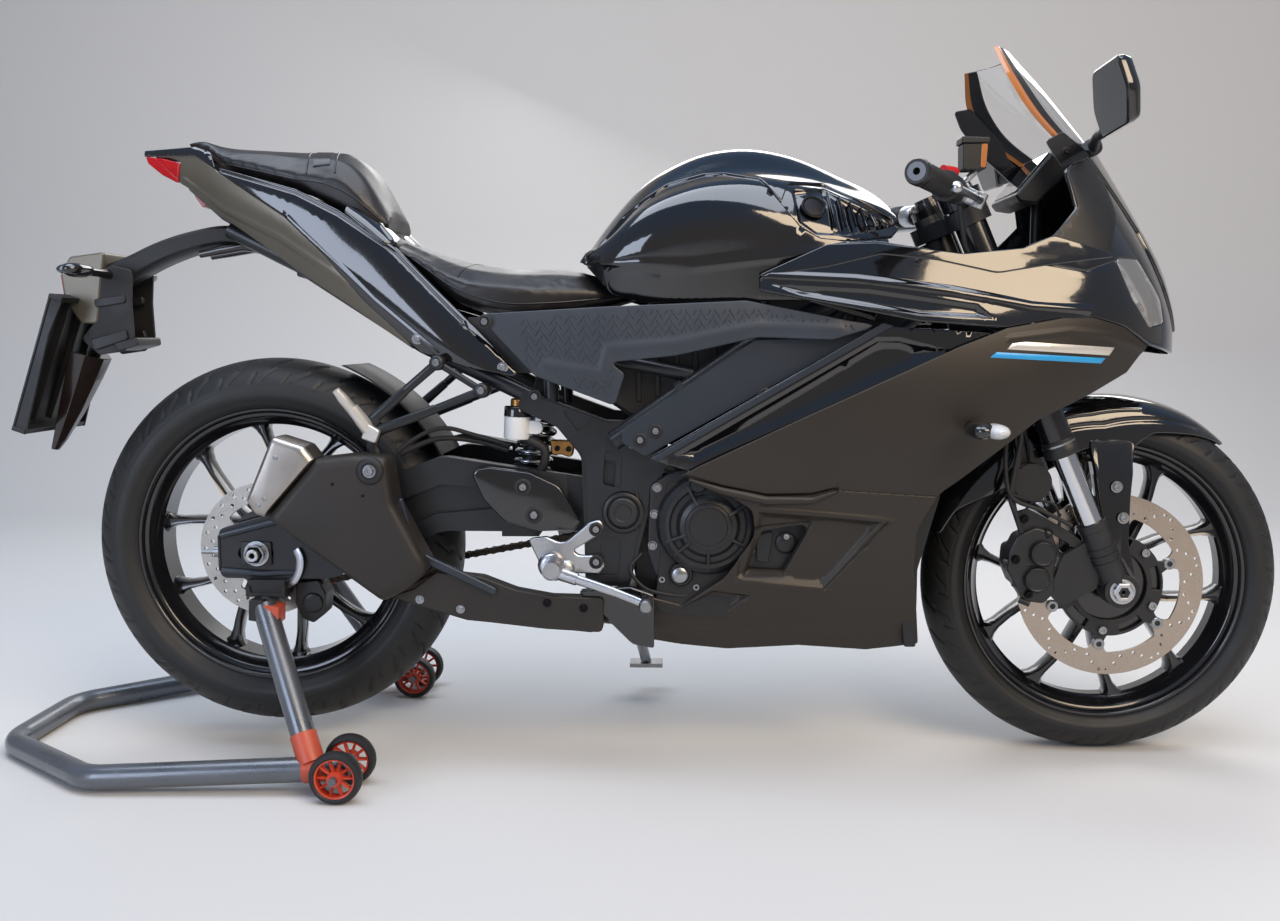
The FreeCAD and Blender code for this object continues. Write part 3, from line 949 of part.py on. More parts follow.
def make_paddock_stand():
    r = STAND_TUBE_RADIUS
    x0, w = STAND_AXLE_X, STAND_HALF_WIDTH
    back = x0 - STAND_REACH
    half = bent_tube([(x0, -w, STAND_WHEEL_RADIUS), (-225, -w - 10, r + 5), (back, -105, r), (back, 0, r)], r, 70)
    pieces = [half, mirrored(half)]
    for s in (-1, 1):
        top = (PAD_X, s * 152, 266)
        pieces.append(rod(top, (x0 - 48, s * w, STAND_WHEEL_RADIUS + 6), r))
        pieces.append(rod((PAD_X, s * 152, 266), (PAD_X, s * 106, 266), 14))
        pieces.append(slab([(PAD_X - 30, PAD_LOW - 6), (PAD_X + 30, PAD_LOW - 6), (PAD_X + 30, PAD_LOW), (PAD_X - 30, PAD_LOW)],
                           s * ARM_INNER_Y, s * (ARM_OUTER_Y + 12)))
        pieces.append(rod((x0, s * (w - 60), STAND_WHEEL_RADIUS), (x0, s * (w + 60), STAND_WHEEL_RADIUS), STAND_AXLE_RADIUS))
        pieces.append(rod((x0, s * (w - STAND_WHEEL_GAP + 1), STAND_WHEEL_RADIUS), (x0, s * (w + STAND_WHEEL_GAP - 1), STAND_WHEEL_RADIUS), 15))
    add("stand_frame", fuse(pieces))
    pads = []
    for s in (-1, 1):
        high = PAD_TOP - SEAT_GAP
        pads.append(slab([(PAD_X - 30, PAD_LOW), (PAD_X + 30, PAD_LOW), (PAD_X + 30, high), (PAD_X - 30, high)],
                         s * ARM_INNER_Y, s * (ARM_OUTER_Y + 12)))
    add("stand_pads", pads)
    for name, s in (("stand_wheels_right", -1), ("stand_wheels_left", 1)):
        wheels = []
        for inner in (w - STAND_WHEEL_GAP - STAND_WHEEL_WIDTH, w + STAND_WHEEL_GAP):
            y0, y1 = sorted((s * inner, s * (inner + STAND_WHEEL_WIDTH)))
            wheels.append(stand_wheel(y0, y1))
        add(name, wheels)


def stand_wheel(y0, y1):
    """Small wheel with a round tread and a dished web."""
    big, x, z = STAND_WHEEL_RADIUS, STAND_AXLE_X, STAND_WHEEL_RADIUS
    wheel = turned([(STAND_AXLE_RADIUS + RUNNING, y0), (12, y0), (12, y0 + 8), (30, y0 + 8), (30, y0 + 3), (big - 3, y0 + 3), (big, y0 + 9),
                    (big, y1 - 9), (big - 3, y1 - 3), (30, y1 - 3), (30, y1 - 8), (12, y1 - 8), (12, y1), (STAND_AXLE_RADIUS + RUNNING, y1)], (x, z))
    return wheel


# Save
def save():
    os.makedirs("parts", exist_ok=True)
    for name, shape in parts.items():
        moved = shape.copy()
        moved.translate(Vector(-ORIGIN_AHEAD, 0, 0))
        moved.exportStep(f"parts/{name}.step")


make_front_wheel()
make_rear_wheel()
make_swingarm()
make_rear_axle()
make_chain()
make_shock()
make_engine()
make_exhaust()
make_frame()
make_radiator()
make_subframe()
make_tank()
make_seats()
make_tail()
make_side_covers()
make_inner_panels()
make_fairings()
make_upper_fairing()
make_screen()
make_fork()
make_clamps()
make_handlebars()
make_front_fender()
make_front_brake()
make_cockpit()
make_mirrors()
make_plate_holder()
make_footrests()
make_passenger_footrests()
make_guards()
make_rear_caliper()
make_side_stand()
make_paddock_stand()
save()
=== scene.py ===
"""Sport bike on a rear paddock stand: skins, finishes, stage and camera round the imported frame."""

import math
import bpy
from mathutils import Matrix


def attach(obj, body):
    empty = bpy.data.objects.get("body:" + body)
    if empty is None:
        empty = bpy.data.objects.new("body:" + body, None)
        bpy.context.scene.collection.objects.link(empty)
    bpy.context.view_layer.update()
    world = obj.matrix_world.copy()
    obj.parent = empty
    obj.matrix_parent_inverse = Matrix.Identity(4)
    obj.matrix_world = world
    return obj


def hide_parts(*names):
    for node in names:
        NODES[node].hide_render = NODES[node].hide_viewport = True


bl_info = {
    "name": "Sport Bike Surfaces",
    "version": (1, 0, 0),
    "blender": (4, 5, 0),
    "location": "3D View > Sidebar > Sport Bike",
    "description": "Builds the skins, finishes, stage and camera of a sport bike round its packed frame",
    "category": "Object",
}

import bmesh
import bpy
import numpy as np
from bpy.props import FloatProperty, PointerProperty
from mathutils import Matrix, Vector
from mathutils.bvhtree import BVHTree
from mathutils.geometry import delaunay_2d_cdt

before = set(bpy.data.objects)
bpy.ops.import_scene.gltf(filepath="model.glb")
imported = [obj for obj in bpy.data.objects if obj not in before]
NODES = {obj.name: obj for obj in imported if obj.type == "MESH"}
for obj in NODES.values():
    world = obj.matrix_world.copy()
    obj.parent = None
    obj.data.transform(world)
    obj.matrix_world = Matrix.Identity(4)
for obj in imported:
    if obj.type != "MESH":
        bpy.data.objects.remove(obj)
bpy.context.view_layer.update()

MM = 0.001
AHEAD = 608.0            # the origin on the floor lies this far ahead of the rear axle
FRONT_AXLE = (1380.0, 291.0)
REAR_AXLE = (0.0, 347.0)
RAKE = math.radians(23.5)
FORK_Y = 104.0
CHAIN_Y = 92.0
ROW_PITCH = 0.87         # rows of a panel's filling grid lie this much closer than its columns
ROOT = "machine"
FRONT_END = "steering"


# Measures and plain geometry, in millimetres from the rear axle
def place(x, y, z):
    """Millimetres from the rear axle, the middle plane and the floor to the frame's metres."""
    return ((x - AHEAD) * MM, y * MM, z * MM)


def on_fork(along, ahead=0.0, y=0.0):
    """Point up the fork from the front axle, ahead of the leg's middle line."""
    return Vector((FRONT_AXLE[0] - along * math.sin(RAKE) + ahead * math.cos(RAKE), y,
                   FRONT_AXLE[1] + along * math.cos(RAKE) + ahead * math.sin(RAKE)))


def basis(knots, where, breaks=()):
    """Weights of smooth curves through the knots at the places asked for; the curve may kink at a break."""
    knots, where = np.asarray(knots, float), np.asarray(where, float)
    weights = np.zeros((len(where), len(knots)))
    cuts = [0, *breaks, len(knots) - 1]
    for first, last in zip(cuts[:-1], cuts[1:]):
        k = knots[first:last + 1]
        low = -np.inf if first == 0 else k[0]
        high = np.inf if last == len(knots) - 1 else k[-1]
        inside = (where >= low) & (where <= high)
        if not inside.any():
            continue
        eye = np.eye(len(k))
        slope = np.gradient(eye, k, axis=0) if len(k) > 2 else np.array([[-1.0, 1.0]] * 2) / (k[1] - k[0])
        i = np.clip(np.searchsorted(k, where[inside]) - 1, 0, len(k) - 2)
        h = k[i + 1] - k[i]
        u = np.clip((where[inside] - k[i]) / h, 0, 1)
        a, b = 2 * u**3 - 3 * u**2 + 1, (u**3 - 2 * u**2 + u) * h
        c, d = 3 * u**2 - 2 * u**3, (u**3 - u**2) * h
        row = a[:, None] * eye[i] + b[:, None] * slope[i] + c[:, None] * eye[i + 1] + d[:,
                None] * slope[i + 1]
        weights[inside] = 0
        weights[np.ix_(inside, np.arange(first, last + 1))] = row
    return weights


def rounded(points, step=6.0):
    """Closed outline with its corners rounded: each point is (x, z) or (x, z, radius)."""
    flat = [Vector(p[:2]) for p in points]
    out = []
    for i, p in enumerate(points):
        here, before, after = flat[i], flat[i - 1], flat[(i + 1) % len(flat)]
        radius = p[2] if len(p) > 2 else 0.0
        a, b = before - here, after - here
        if radius <= 0:
            out.append(here)
            continue
        half = a.angle(b) / 2
        reach = min(radius / math.tan(half), 0.49 * a.length, 0.49 * b.length)
        start, end = here + a.normalized() * reach, here + b.normalized() * reach
        turns = max(2, int((math.pi - 2 * half) / math.radians(12)))
        for k in range(turns + 1):
            t = k / turns
            out.append(start * (1 - t)**2 + here * 2 * t * (1 - t) + end * t**2)
    dense = []
    for a, b in zip(out, out[1:] + out[:1]):
        parts = max(1, int(round((b - a).length / step)))
        dense += [a.lerp(b, k / parts) for k in range(parts)]
    return np.array([tuple(p) for p in dense])


def inside_outline(points, outline):
    """Which of the points lie inside a closed outline."""
    x, z = points[:, 0], points[:, 1]
    hit = np.zeros(len(points), bool)
    for (x1, z1), (x2, z2) in zip(outline, np.roll(outline, -1, axis=0)):
        crosses = (z1 > z) != (z2 > z)
        with np.errstate(divide="ignore", invalid="ignore"):
            hit ^= crosses & (x < (x2 - x1) * (z - z1) / (z2 - z1) + x1)
    return hit


def line_distance(points, line, closed=False):
    """Distance of each point from a line of straight runs."""
    line = np.asarray(line, float)[:, :2]
    ends = np.roll(line, -1, axis=0) if closed else line[1:]
    best = np.full(len(points), 1e9)
    for a, b in zip(line, ends):
        run = b - a
        size = max(run @ run, 1e-9)
        t = np.clip(((points - a) @ run) / size, 0, 1)
        best = np.minimum(best, np.linalg.norm(points - a - t[:, None] * run, axis=1))
    return best


# Shapes are (points, faces) in millimetres, with true normals of the points where a surface gives them
def joined(shapes):
    points, faces, leans = [], [], []
    for p, f, *given in shapes:
        base = len(points)
        points += [tuple(q) for q in p]
        faces += [tuple(base + i for i in face) for face in f]
        leans += given[0] if given else [(0.0, 0.0, 0.0)] * len(p)
    return points, faces, leans


def mirrored(shape):
    points, faces, *given = shape
    flip = [[(x, -y, z) for x, y, z in leans] for leans in given]
    return [(x, -y, z) for x, y, z in points], [tuple(reversed(f)) for f in faces], *flip


def both(shape):
    return joined([shape, mirrored(shape)])


def skin(rings, closed=True, caps=True, round_trip=False):
    """Faces between rings of equally many points."""
    n = len(rings[0])
    points = [tuple(p) for ring in rings for p in ring]
    faces = []
    steps = len(rings) if round_trip else len(rings) - 1
    for r in range(steps):
        a, b = r * n, ((r + 1) % len(rings)) * n
        for i in range(n if closed else n - 1):
            j = (i + 1) % n
            faces.append((a + i, a + j, b + j, b + i))
    if caps and not round_trip:
        faces.append(tuple(reversed(range(n))))
        faces.append(tuple((len(rings) - 1) * n + i for i in range(n)))
    return points, faces


def frame_about(direction):
    direction = Vector(direction).normalized()
    side = direction.cross(Vector((0, 0, 1)) if abs(direction.z) < 0.9 else Vector((1, 0, 0))).normalized()
    return direction, side, direction.cross(side)


def turned(profile, origin, direction=(0, 1, 0), count=48, closed=False):
    """Solid of revolution: the profile is (radius, along) from the origin; a closed one is a ring."""
    direction, side, other = frame_about(direction)
    origin = Vector(origin)
    rings = []
    for radius, along in profile:
        ring = []
        for i in range(count):
            a = 2 * math.pi * i / count
            ring.append(origin + direction * along + (side * math.cos(a) + other * math.sin(a))
                    * max(radius, 0.01))
        rings.append(ring)
    return skin(rings, caps=not closed, round_trip=closed)


def wheel_turned(profile, centre, count=96, closed=False):
    """The same about a wheel's axle; the profile is (radius, y)."""
    return turned(profile, (centre[0], 0, centre[1]), (0, 1, 0), count, closed)


def curve_points(points, step=8.0):
    """Smooth path through the points."""
    p = np.array([tuple(q) for q in points], float)
    if len(p) == 2:
        return [Vector(p[0]), Vector(p[1])]
    along = np.concatenate([[0], np.cumsum(np.linalg.norm(np.diff(p, axis=0), axis=1))])
    where = np.linspace(0, along[-1], max(3, int(along[-1] / step)))
    return [Vector(q) for q in basis(along, where) @ p]


def bent(points, radius, step=4.0):
    """Path of straight runs with rounded corners."""
    points = [Vector(p) for p in points]
    out = [points[0]]
    for before, here, after in zip(points, points[1:], points[2:]):
        a, b = before - here, after - here
        half = a.angle(b) / 2
        reach = min(radius / math.tan(half), 0.49 * a.length, 0.49 * b.length)
        start, end = here + a.normalized() * reach, here + b.normalized() * reach
        turns = max(2, int(2 * reach / step))
        out += [start * (1 - t)**2 + here * 2 * t * (1 - t) + end * t**2
                for t in (k / turns for k in range(turns + 1))]
    return out + [points[-1]]


def tube(path, radius, count=16, flat=1.0, caps=True):
    """Round or flattened tube along a path; the radius may be a list, one for each point."""
    path = [Vector(p) for p in path]
    radii = [radius] * len(path) if isinstance(radius, (int, float)) else np.interp(
        np.linspace(0, 1, len(path)), np.linspace(0, 1, len(radius)), radius)
    rings, side = [], None
    for i, p in enumerate(path):
        way = (path[min(i + 1, len(path) - 1)] - path[max(i - 1, 0)]).normalized()
        if side is None:
            side = frame_about(way)[1]
        side = (side - way * side.dot(way)).normalized()
        other = way.cross(side)
        rings.append([p + (side * math.cos(a) * flat + other * math.sin(a)) * radii[i]
                      for a in (2 * math.pi * k / count for k in range(count))])
    return skin(rings, caps=caps)


def slab(outline, y0, y1, step=8.0):
    """Plate across the bike from a side-view outline."""
    line = rounded(outline, step)
    return skin([[(x, y, z) for x, z in line] for y in (y0, y1)])


def plate(outline, holes, y0, y1, step=6.0):
    """Plate across the bike with holes right through."""
    outer = np.asarray(outline, float) if len(outline) > 40 else rounded(outline, step)
    loops = [outer] + [np.asarray(h, float) for h in holes]
    points, edges = [], []
    for loop in loops:
        base = len(points)
        points += [Vector(p) for p in loop]
        edges += [(base + i, base + (i + 1) % len(loop)) for i in range(len(loop))]
    verts, _, tris, *_ = delaunay_2d_cdt(points, edges, [], 0, 1e-5)
    flat = np.array([tuple(v) for v in verts])
    middles = np.array([flat[list(t)].mean(axis=0) for t in tris])
    keep = inside_outline(middles, outer)
    for hole in loops[1:]:
        keep &= ~inside_outline(middles, hole)
    tris = [t for t, k in zip(tris, keep) if k]
    n = len(flat)
    solid = [(x, y0, z) for x, z in flat] + [(x, y1, z) for x, z in flat]
    faces = [tuple(t) for t in tris] + [tuple(n + i for i in reversed(t)) for t in tris]
    used = {}
    for a, b, c in tris:
        for e in ((a, b), (b, c), (c, a)):
            used[e] = used.get(e, 0) + 1
    for a, b in used:
        if (b, a) not in used:
            faces.append((b, a, n + a, n + b))
    return solid, faces


def circle(x, z, radius, count=20, turn=0.0):
    return np.array([(x + radius * math.cos(turn + 2 * math.pi * i / count),
            z + radius * math.sin(turn + 2 * math.pi * i / count))
                     for i in range(count)])


def moved(shape, matrix):
    return [tuple(matrix @ Vector(p)) for p in shape[0]], shape[1]


def about(shape, centre, angle, axis=(0, 1, 0)):
    """Shape turned about an axis through a point, in degrees."""
    spot = Matrix.Translation(Vector(centre))
    return moved(shape, spot @ Matrix.Rotation(math.radians(angle), 4, Vector(axis)) @ spot.inverted())


# Finished pieces
def piece(name, shape, material, body=ROOT, replaces=(), bevel=0.0, smooth=38, subdivide=0,
        merge=True, solid=0.0):
    """Blender object of one shape, closed and facing outwards, riding on its body."""
    mesh = bpy.data.meshes.new(name)
    mesh.from_pydata([place(*p) for p in shape[0]], [], shape[1])
    leans = len(shape) > 2 and any(any(n) for n in shape[2])
    if leans:
        mesh.attributes.new("lean", "FLOAT_VECTOR", "POINT").data.foreach_set("vector",
                np.array(shape[2], float).ravel())
    tidy = bmesh.new()
    tidy.from_mesh(mesh)
    if merge:
        bmesh.ops.remove_doubles(tidy, verts=tidy.verts, dist=0.00002)
    bmesh.ops.recalc_face_normals(tidy, faces=tidy.faces)
    tidy.to_mesh(mesh)
    tidy.free()
    obj = bpy.data.objects.new(name, mesh)
    bpy.context.scene.collection.objects.link(obj)
    if solid:
        wall = obj.modifiers.new("Wall", "SOLIDIFY")
        wall.thickness = solid * MM
        wall.offset = -1.0
        wall.use_even_offset = False
    if bevel:
        edge = obj.modifiers.new("Edges", "BEVEL")
        edge.width = bevel * MM
        edge.segments = 2
        edge.limit_method = "ANGLE"
        edge.angle_limit = math.radians(35)
        edge.use_clamp_overlap = True
    if subdivide:
        finer = obj.modifiers.new("Finer", "SUBSURF")
        finer.levels = finer.render_levels = subdivide
    mesh.shade_smooth()
    mesh.set_sharp_from_angle(angle=math.radians(smooth))
    if leans:
        keep_leans(mesh)
    mesh.materials.append(material)
    return ride(obj, body, replaces)


def keep_leans(mesh):
    """Shades the faces of a surface by the surface's own normals."""
    given = mesh.attributes["lean"]
    leans = np.empty(len(mesh.vertices) * 3)
    given.data.foreach_get("vector", leans)
    leans = leans.reshape(-1, 3)
    mesh.attributes.remove(given)
    corners = np.empty(len(mesh.loops), int)
    mesh.loops.foreach_get("vertex_index", corners)
    sizes, facing = np.empty(len(mesh.polygons), int), np.empty(len(mesh.polygons) * 3)
    mesh.polygons.foreach_get("loop_total", sizes)
    mesh.polygons.foreach_get("normal", facing)
    per_corner = leans[corners]
    agree = np.einsum("ij,ij->i", per_corner, np.repeat(facing.reshape(-1, 3), sizes, axis=0))
    per_corner[agree < 0.25] = 0.0
    mesh.normals_split_custom_set(per_corner.tolist())


def ride(obj, body, replaces=()):
    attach(obj, body)
    if replaces:
        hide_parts(*replaces)
    return obj


def dress(node, material):
    """Gives a CAD node its finish."""
    obj = NODES[node]
    obj.data.materials.clear()
    obj.data.materials.append(material)
    return obj


# Node trees
def add_node(tree, kind, links=None, **settings):
    """Adds a node, with its settings and what its inputs hold or come from."""
    node = tree.nodes.new(kind)
    for key, value in settings.items():
        setattr(node, key, value)
    for socket, value in (links or {}).items():
        if isinstance(value, bpy.types.NodeSocket):
            tree.links.new(value, node.inputs[socket])
        else:
            node.inputs[socket].default_value = value
    return node


def linear(code):
    """sRGB hex code to linear colour."""
    out = []
    for i in (0, 2, 4):
        c = int(code[i:i + 2], 16) / 255
        out.append(c / 12.92 if c <= 0.04045 else ((c + 0.055) / 1.055) ** 2.4)
    return (*out, 1.0)


def finish(name, base, other=None, patch=60.0, rough=0.4, spread=0.08, grain=0.0, bump=0.0, clear=0.0,
        brushed=None, shader=None, centre=None):
    """Material whose colour and gloss vary over patches, with a fine grain, in millimetres.

    brushed is the pattern's scale along X, Y and Z; centre turns the brushing into rings about an axle.
    """
    mat = bpy.data.materials.new(name)
    mat.use_nodes = True
    tree = mat.node_tree
    tree.nodes.clear()
    spot = add_node(tree, "ShaderNodeTexCoord").outputs["Object"]
    if centre:
        x, _, z = place(centre[0], 0, centre[1])
        moved_spot = add_node(tree, "ShaderNodeMapping", {"Vector": spot,
                "Location": (-x, 0, -z)}).outputs[0]
        parts = add_node(tree, "ShaderNodeSeparateXYZ", {0: moved_spot})
        flat = add_node(tree, "ShaderNodeCombineXYZ", {0: parts.outputs[0], 2: parts.outputs[2]}).outputs[0]
        radius = add_node(tree, "ShaderNodeVectorMath", {0: flat}, operation="LENGTH").outputs["Value"]
        pattern = add_node(tree, "ShaderNodeCombineXYZ", {0: radius}).outputs[0]
    elif brushed:
        pattern = add_node(tree, "ShaderNodeMapping", {"Vector": spot, "Scale": brushed}).outputs[0]
    else:
        pattern = spot
    patches = add_node(tree, "ShaderNodeTexNoise", {"Vector": spot, "Scale": 1000 / patch,
            "Detail": 3.0}).outputs["Fac"]
    colour = add_node(tree, "ShaderNodeMix", {0: patches, 6: linear(base), 7: linear(other or base)},
            data_type="RGBA")
    gloss = add_node(tree, "ShaderNodeMapRange", {"Value": patches, "From Min": 0.3, "From Max": 0.7,
                                                 "To Min": max(rough - spread, 0.02),
                                            "To Max": min(rough + spread, 1.0)}).outputs[0]
    out = add_node(tree, "ShaderNodeBsdfPrincipled", {"Base Color": colour.outputs[2], "Roughness": gloss,
            **(shader or {})})
    if clear:
        out.inputs["Coat Weight"].default_value = clear
        out.inputs["Coat Roughness"].default_value = 0.03
    if grain and bump:
        fine = add_node(tree, "ShaderNodeTexNoise", {"Vector": pattern, "Scale": 1000 / grain,
                "Detail": 2.0}).outputs["Fac"]
        raised = add_node(tree, "ShaderNodeBump", {"Height": fine, "Strength": bump,
                "Distance": grain * MM * 0.3}).outputs[0]
        tree.links.new(raised, out.inputs["Normal"])
    add_node(tree, "ShaderNodeOutputMaterial", {"Surface": out.outputs[0]})
    return mat


METAL = {"Metallic": 1.0}


def make_materials():
    """Every finish, named for the real one."""
    return {
        # two-stage lacquer: a black base under a clear coat, with faint orange peel
        "gloss": finish("Black gloss lacquer", "0A0A0C", "101013", 140, 0.10, 0.03, 7.0, 0.03, clear=1.0),
        # matt lacquer with fine metal flake: broad soft highlights
        "matt": finish("Matt dark lacquer", "2B2723", "332E28", 220, 0.44, 0.05, 1.2, 0.12,
            shader={"Metallic": 0.35}),
        # moulded ABS, spark-eroded grain about 1 mm
        "grain": finish("Grained ABS", "272D36", "2F3640", 90, 0.46, 0.06, 1.4, 0.35),
        "satin_blue": finish("Satin moulded ABS", "20262F", "262D37", 120, 0.34, 0.05, 1.6, 0.08),
        "trim": finish("Moulded ABS", "111214", "17181A", 70, 0.48, 0.08, 1.6, 0.25),
        # powder coat on steel tube and cast plates
        "frame": finish("Satin powder coat", "14161A", "1C1F24", 80, 0.34, 0.08, 1.1, 0.22),
        "cast": finish("Cast alloy, black paint", "17181A", "1F2022", 50, 0.45, 0.10, 1.8, 0.35),
        "engine": finish("Engine case paint", "1A1B1E", "131416", 40, 0.42, 0.10, 1.5, 0.30),
        # anodised or polished parts of the fork
        "fork_black": finish("Black anodised tube", "0E0E11", "151519", 120, 0.22, 0.05, 1.0, 0.04,
            clear=0.3),
        "chrome": finish("Hard chrome", "C9CCD2", "DADDE2", 90, 0.10, 0.04, shader=METAL),
        "alloy": finish("Satin aluminium", "B4B6BA", "C6C8CB", 45, 0.32, 0.08, 0.9, 0.15, brushed=(1, 1, 9),
            shader=METAL),
        "bolt": finish("Zinc plated steel", "A9ABAF", "8E9094", 12, 0.30, 0.08, shader=METAL),
        "dark_bolt": finish("Black zinc plate", "1B1B1D", "2A2A2D", 12, 0.38, 0.08, shader=METAL),
        # ground steel, grooved in rings by the pads
        "front_disc": finish("Ground disc steel", "A3968A", "BAAEA2", 40, 0.28, 0.06, 0.9, 0.35,
            shader=METAL, centre=FRONT_AXLE),
        "rear_disc": finish("Ground disc steel, rear", "A5A29D", "BCB9B4", 40, 0.28, 0.06, 0.9, 0.35,
            shader=METAL, centre=REAR_AXLE),
        "wheel": finish("Black wheel lacquer", "0D0D0F", "131316", 90, 0.20, 0.05, 5.0, 0.04, clear=0.6),
        "tyre": finish("Tyre rubber", "121314", "1A1B1C", 60, 0.55, 0.08, 1.4, 0.25),
        "hugger": finish("Dull moulded polypropylene", "0A0A0B", "101012", 70, 0.55, 0.06, 1.6, 0.15),
        "rubber": finish("Moulded rubber", "131315", "1B1B1D", 30, 0.58, 0.08, 1.2, 0.25),
        "vinyl": finish("Seat vinyl", "151416", "1D1B1C", 60, 0.40, 0.06, 1.7, 0.30),
        "vinyl_top": finish("Smooth seat vinyl", "111113", "18181A", 60, 0.28, 0.05, 1.5, 0.12),
        "silencer": finish("Heat-proof silencer paint", "24211F", "2F2B28", 60, 0.50, 0.07, 1.2, 0.25,
            shader={"Metallic": 0.3}),
        "brushed": finish("Brushed stainless steel", "A09A94", "B2ACA5", 60, 0.34, 0.05, 1.6, 0.06,
            brushed=(4, 1, 1), shader=METAL),
        "pipe": finish("Heat-stained steel", "2B2724", "3A332D", 35, 0.34, 0.08, shader=METAL),
        "steel": finish("Bare steel", "8C8D90", "A2A3A6", 30, 0.34, 0.08, shader=METAL),
        "chain": finish("Oiled chain steel", "3B3732", "57514A", 14, 0.36, 0.10, shader=METAL),
        "spring": finish("Bright spring steel", "B9BCC2", "CDD0D4", 30, 0.20, 0.05, shader=METAL),
        "brass": finish("Brass fitting", "9B7242", "B08550", 12, 0.30, 0.08, shader=METAL),
        "clear": finish("Clear acrylic", "F4F7FA", "FFFFFF", 200, 0.03, 0.01,
                        shader={"Transmission Weight": 1.0, "IOR": 1.49}),
        "lamp": finish("Lamp polycarbonate", "F0F2F4", "FFFFFF", 100, 0.04, 0.01,
                       shader={"Transmission Weight": 0.9, "IOR": 1.58}),
        "reflector": finish("Vacuum-plated reflector", "DAD6CC", "F0ECE2", 20, 0.10, 0.04, shader=METAL),
        "red_lens": finish("Red acrylic lens", "B8101A", "D21A22", 20, 0.08, 0.03,
                           shader={"Transmission Weight": 0.35, "IOR": 1.49}),
        "red": finish("Red switch plastic", "B5141E", "C41C26", 20, 0.35, 0.05),
        "white": finish("Blank plate enamel", "DADAD6", "E6E6E2", 90, 0.30, 0.05),
        "pot": finish("Frosted fluid bottle", "C9CBCD", "D9DBDC", 60, 0.38, 0.06, 1.2, 0.10),
        "pale_metal": finish("Bead-blasted aluminium", "C9C6C0", "D6D3CE", 40, 0.36, 0.08, 0.9, 0.15,
            shader={"Metallic": 0.7}),
        "tail_satin": finish("Satin metallic lacquer", "5F5A50", "6B665B", 160, 0.36, 0.05, 1.2, 0.10,
            shader={"Metallic": 0.5}),
        "flap": finish("Gloss moulded ABS", "1A1412", "231B18", 90, 0.16, 0.04, 4.0, 0.05, clear=0.5),
        "indicator": finish("Silver-white lens", "D6D8DA", "E8EAEB", 20, 0.14, 0.04,
            shader={"Transmission Weight": 0.25, "IOR": 1.49}),
        "smoke_lens": finish("Smoked lens", "16171A", "1E1F22", 20, 0.10, 0.03, clear=0.8),
        "copper_edge": finish("Copper-tinted acrylic", "A5632F", "B9753C", 40, 0.14, 0.04, clear=0.6),
        "gloss_trim": finish("Gloss black plastic", "0D0D0F", "141416", 110, 0.12, 0.03, 6.0, 0.03,
            clear=0.8),
        "stand": finish("Hammered grey enamel", "5A5E64", "6C7076", 60, 0.32, 0.08, 3.0, 0.22, clear=0.3,
            shader={"Metallic": 0.6}),
        "stand_red": finish("Red stand enamel", "A8432C", "B9513A", 40, 0.40, 0.08, 2.0, 0.10),
        "hub_red": finish("Red moulded nylon", "B3361F", "C5452B", 25, 0.42, 0.06, 1.5, 0.10),
        "fins": finish("Black radiator fins", "0F1011", "17181A", 20, 0.5, 0.1),
        "silver_stripe": finish("Silver film", "C9C4BC", "D8D3CB", 60, 0.30, 0.05,
            shader={"Metallic": 0.5}),
        "blue_stripe": finish("Blue film", "1E8CC8", "2C9AD4", 60, 0.32, 0.05),
        "gold": finish("Gold anodised part", "B38A4E", "C79C5E", 20, 0.28, 0.05, shader=METAL),
        # mirror glass darkened to dark grey: the dark tone is a painted reflection of dark surroundings,
        # where the real glass is silvery
        "mirror": finish("Mirror glass darkened as painted reflection", "3A3C40", "45474B", 90, 0.02, 0.0, shader=METAL),
        "screen_dark": finish("Instrument glass", "0B0C0E", "0F1012", 60, 0.08, 0.02, clear=1.0),
    }


MAT = make_materials()


# Body surfaces
def smooth_step(x):
    x = np.clip(x, 0, 1)
    return x * x * (3 - 2 * x)


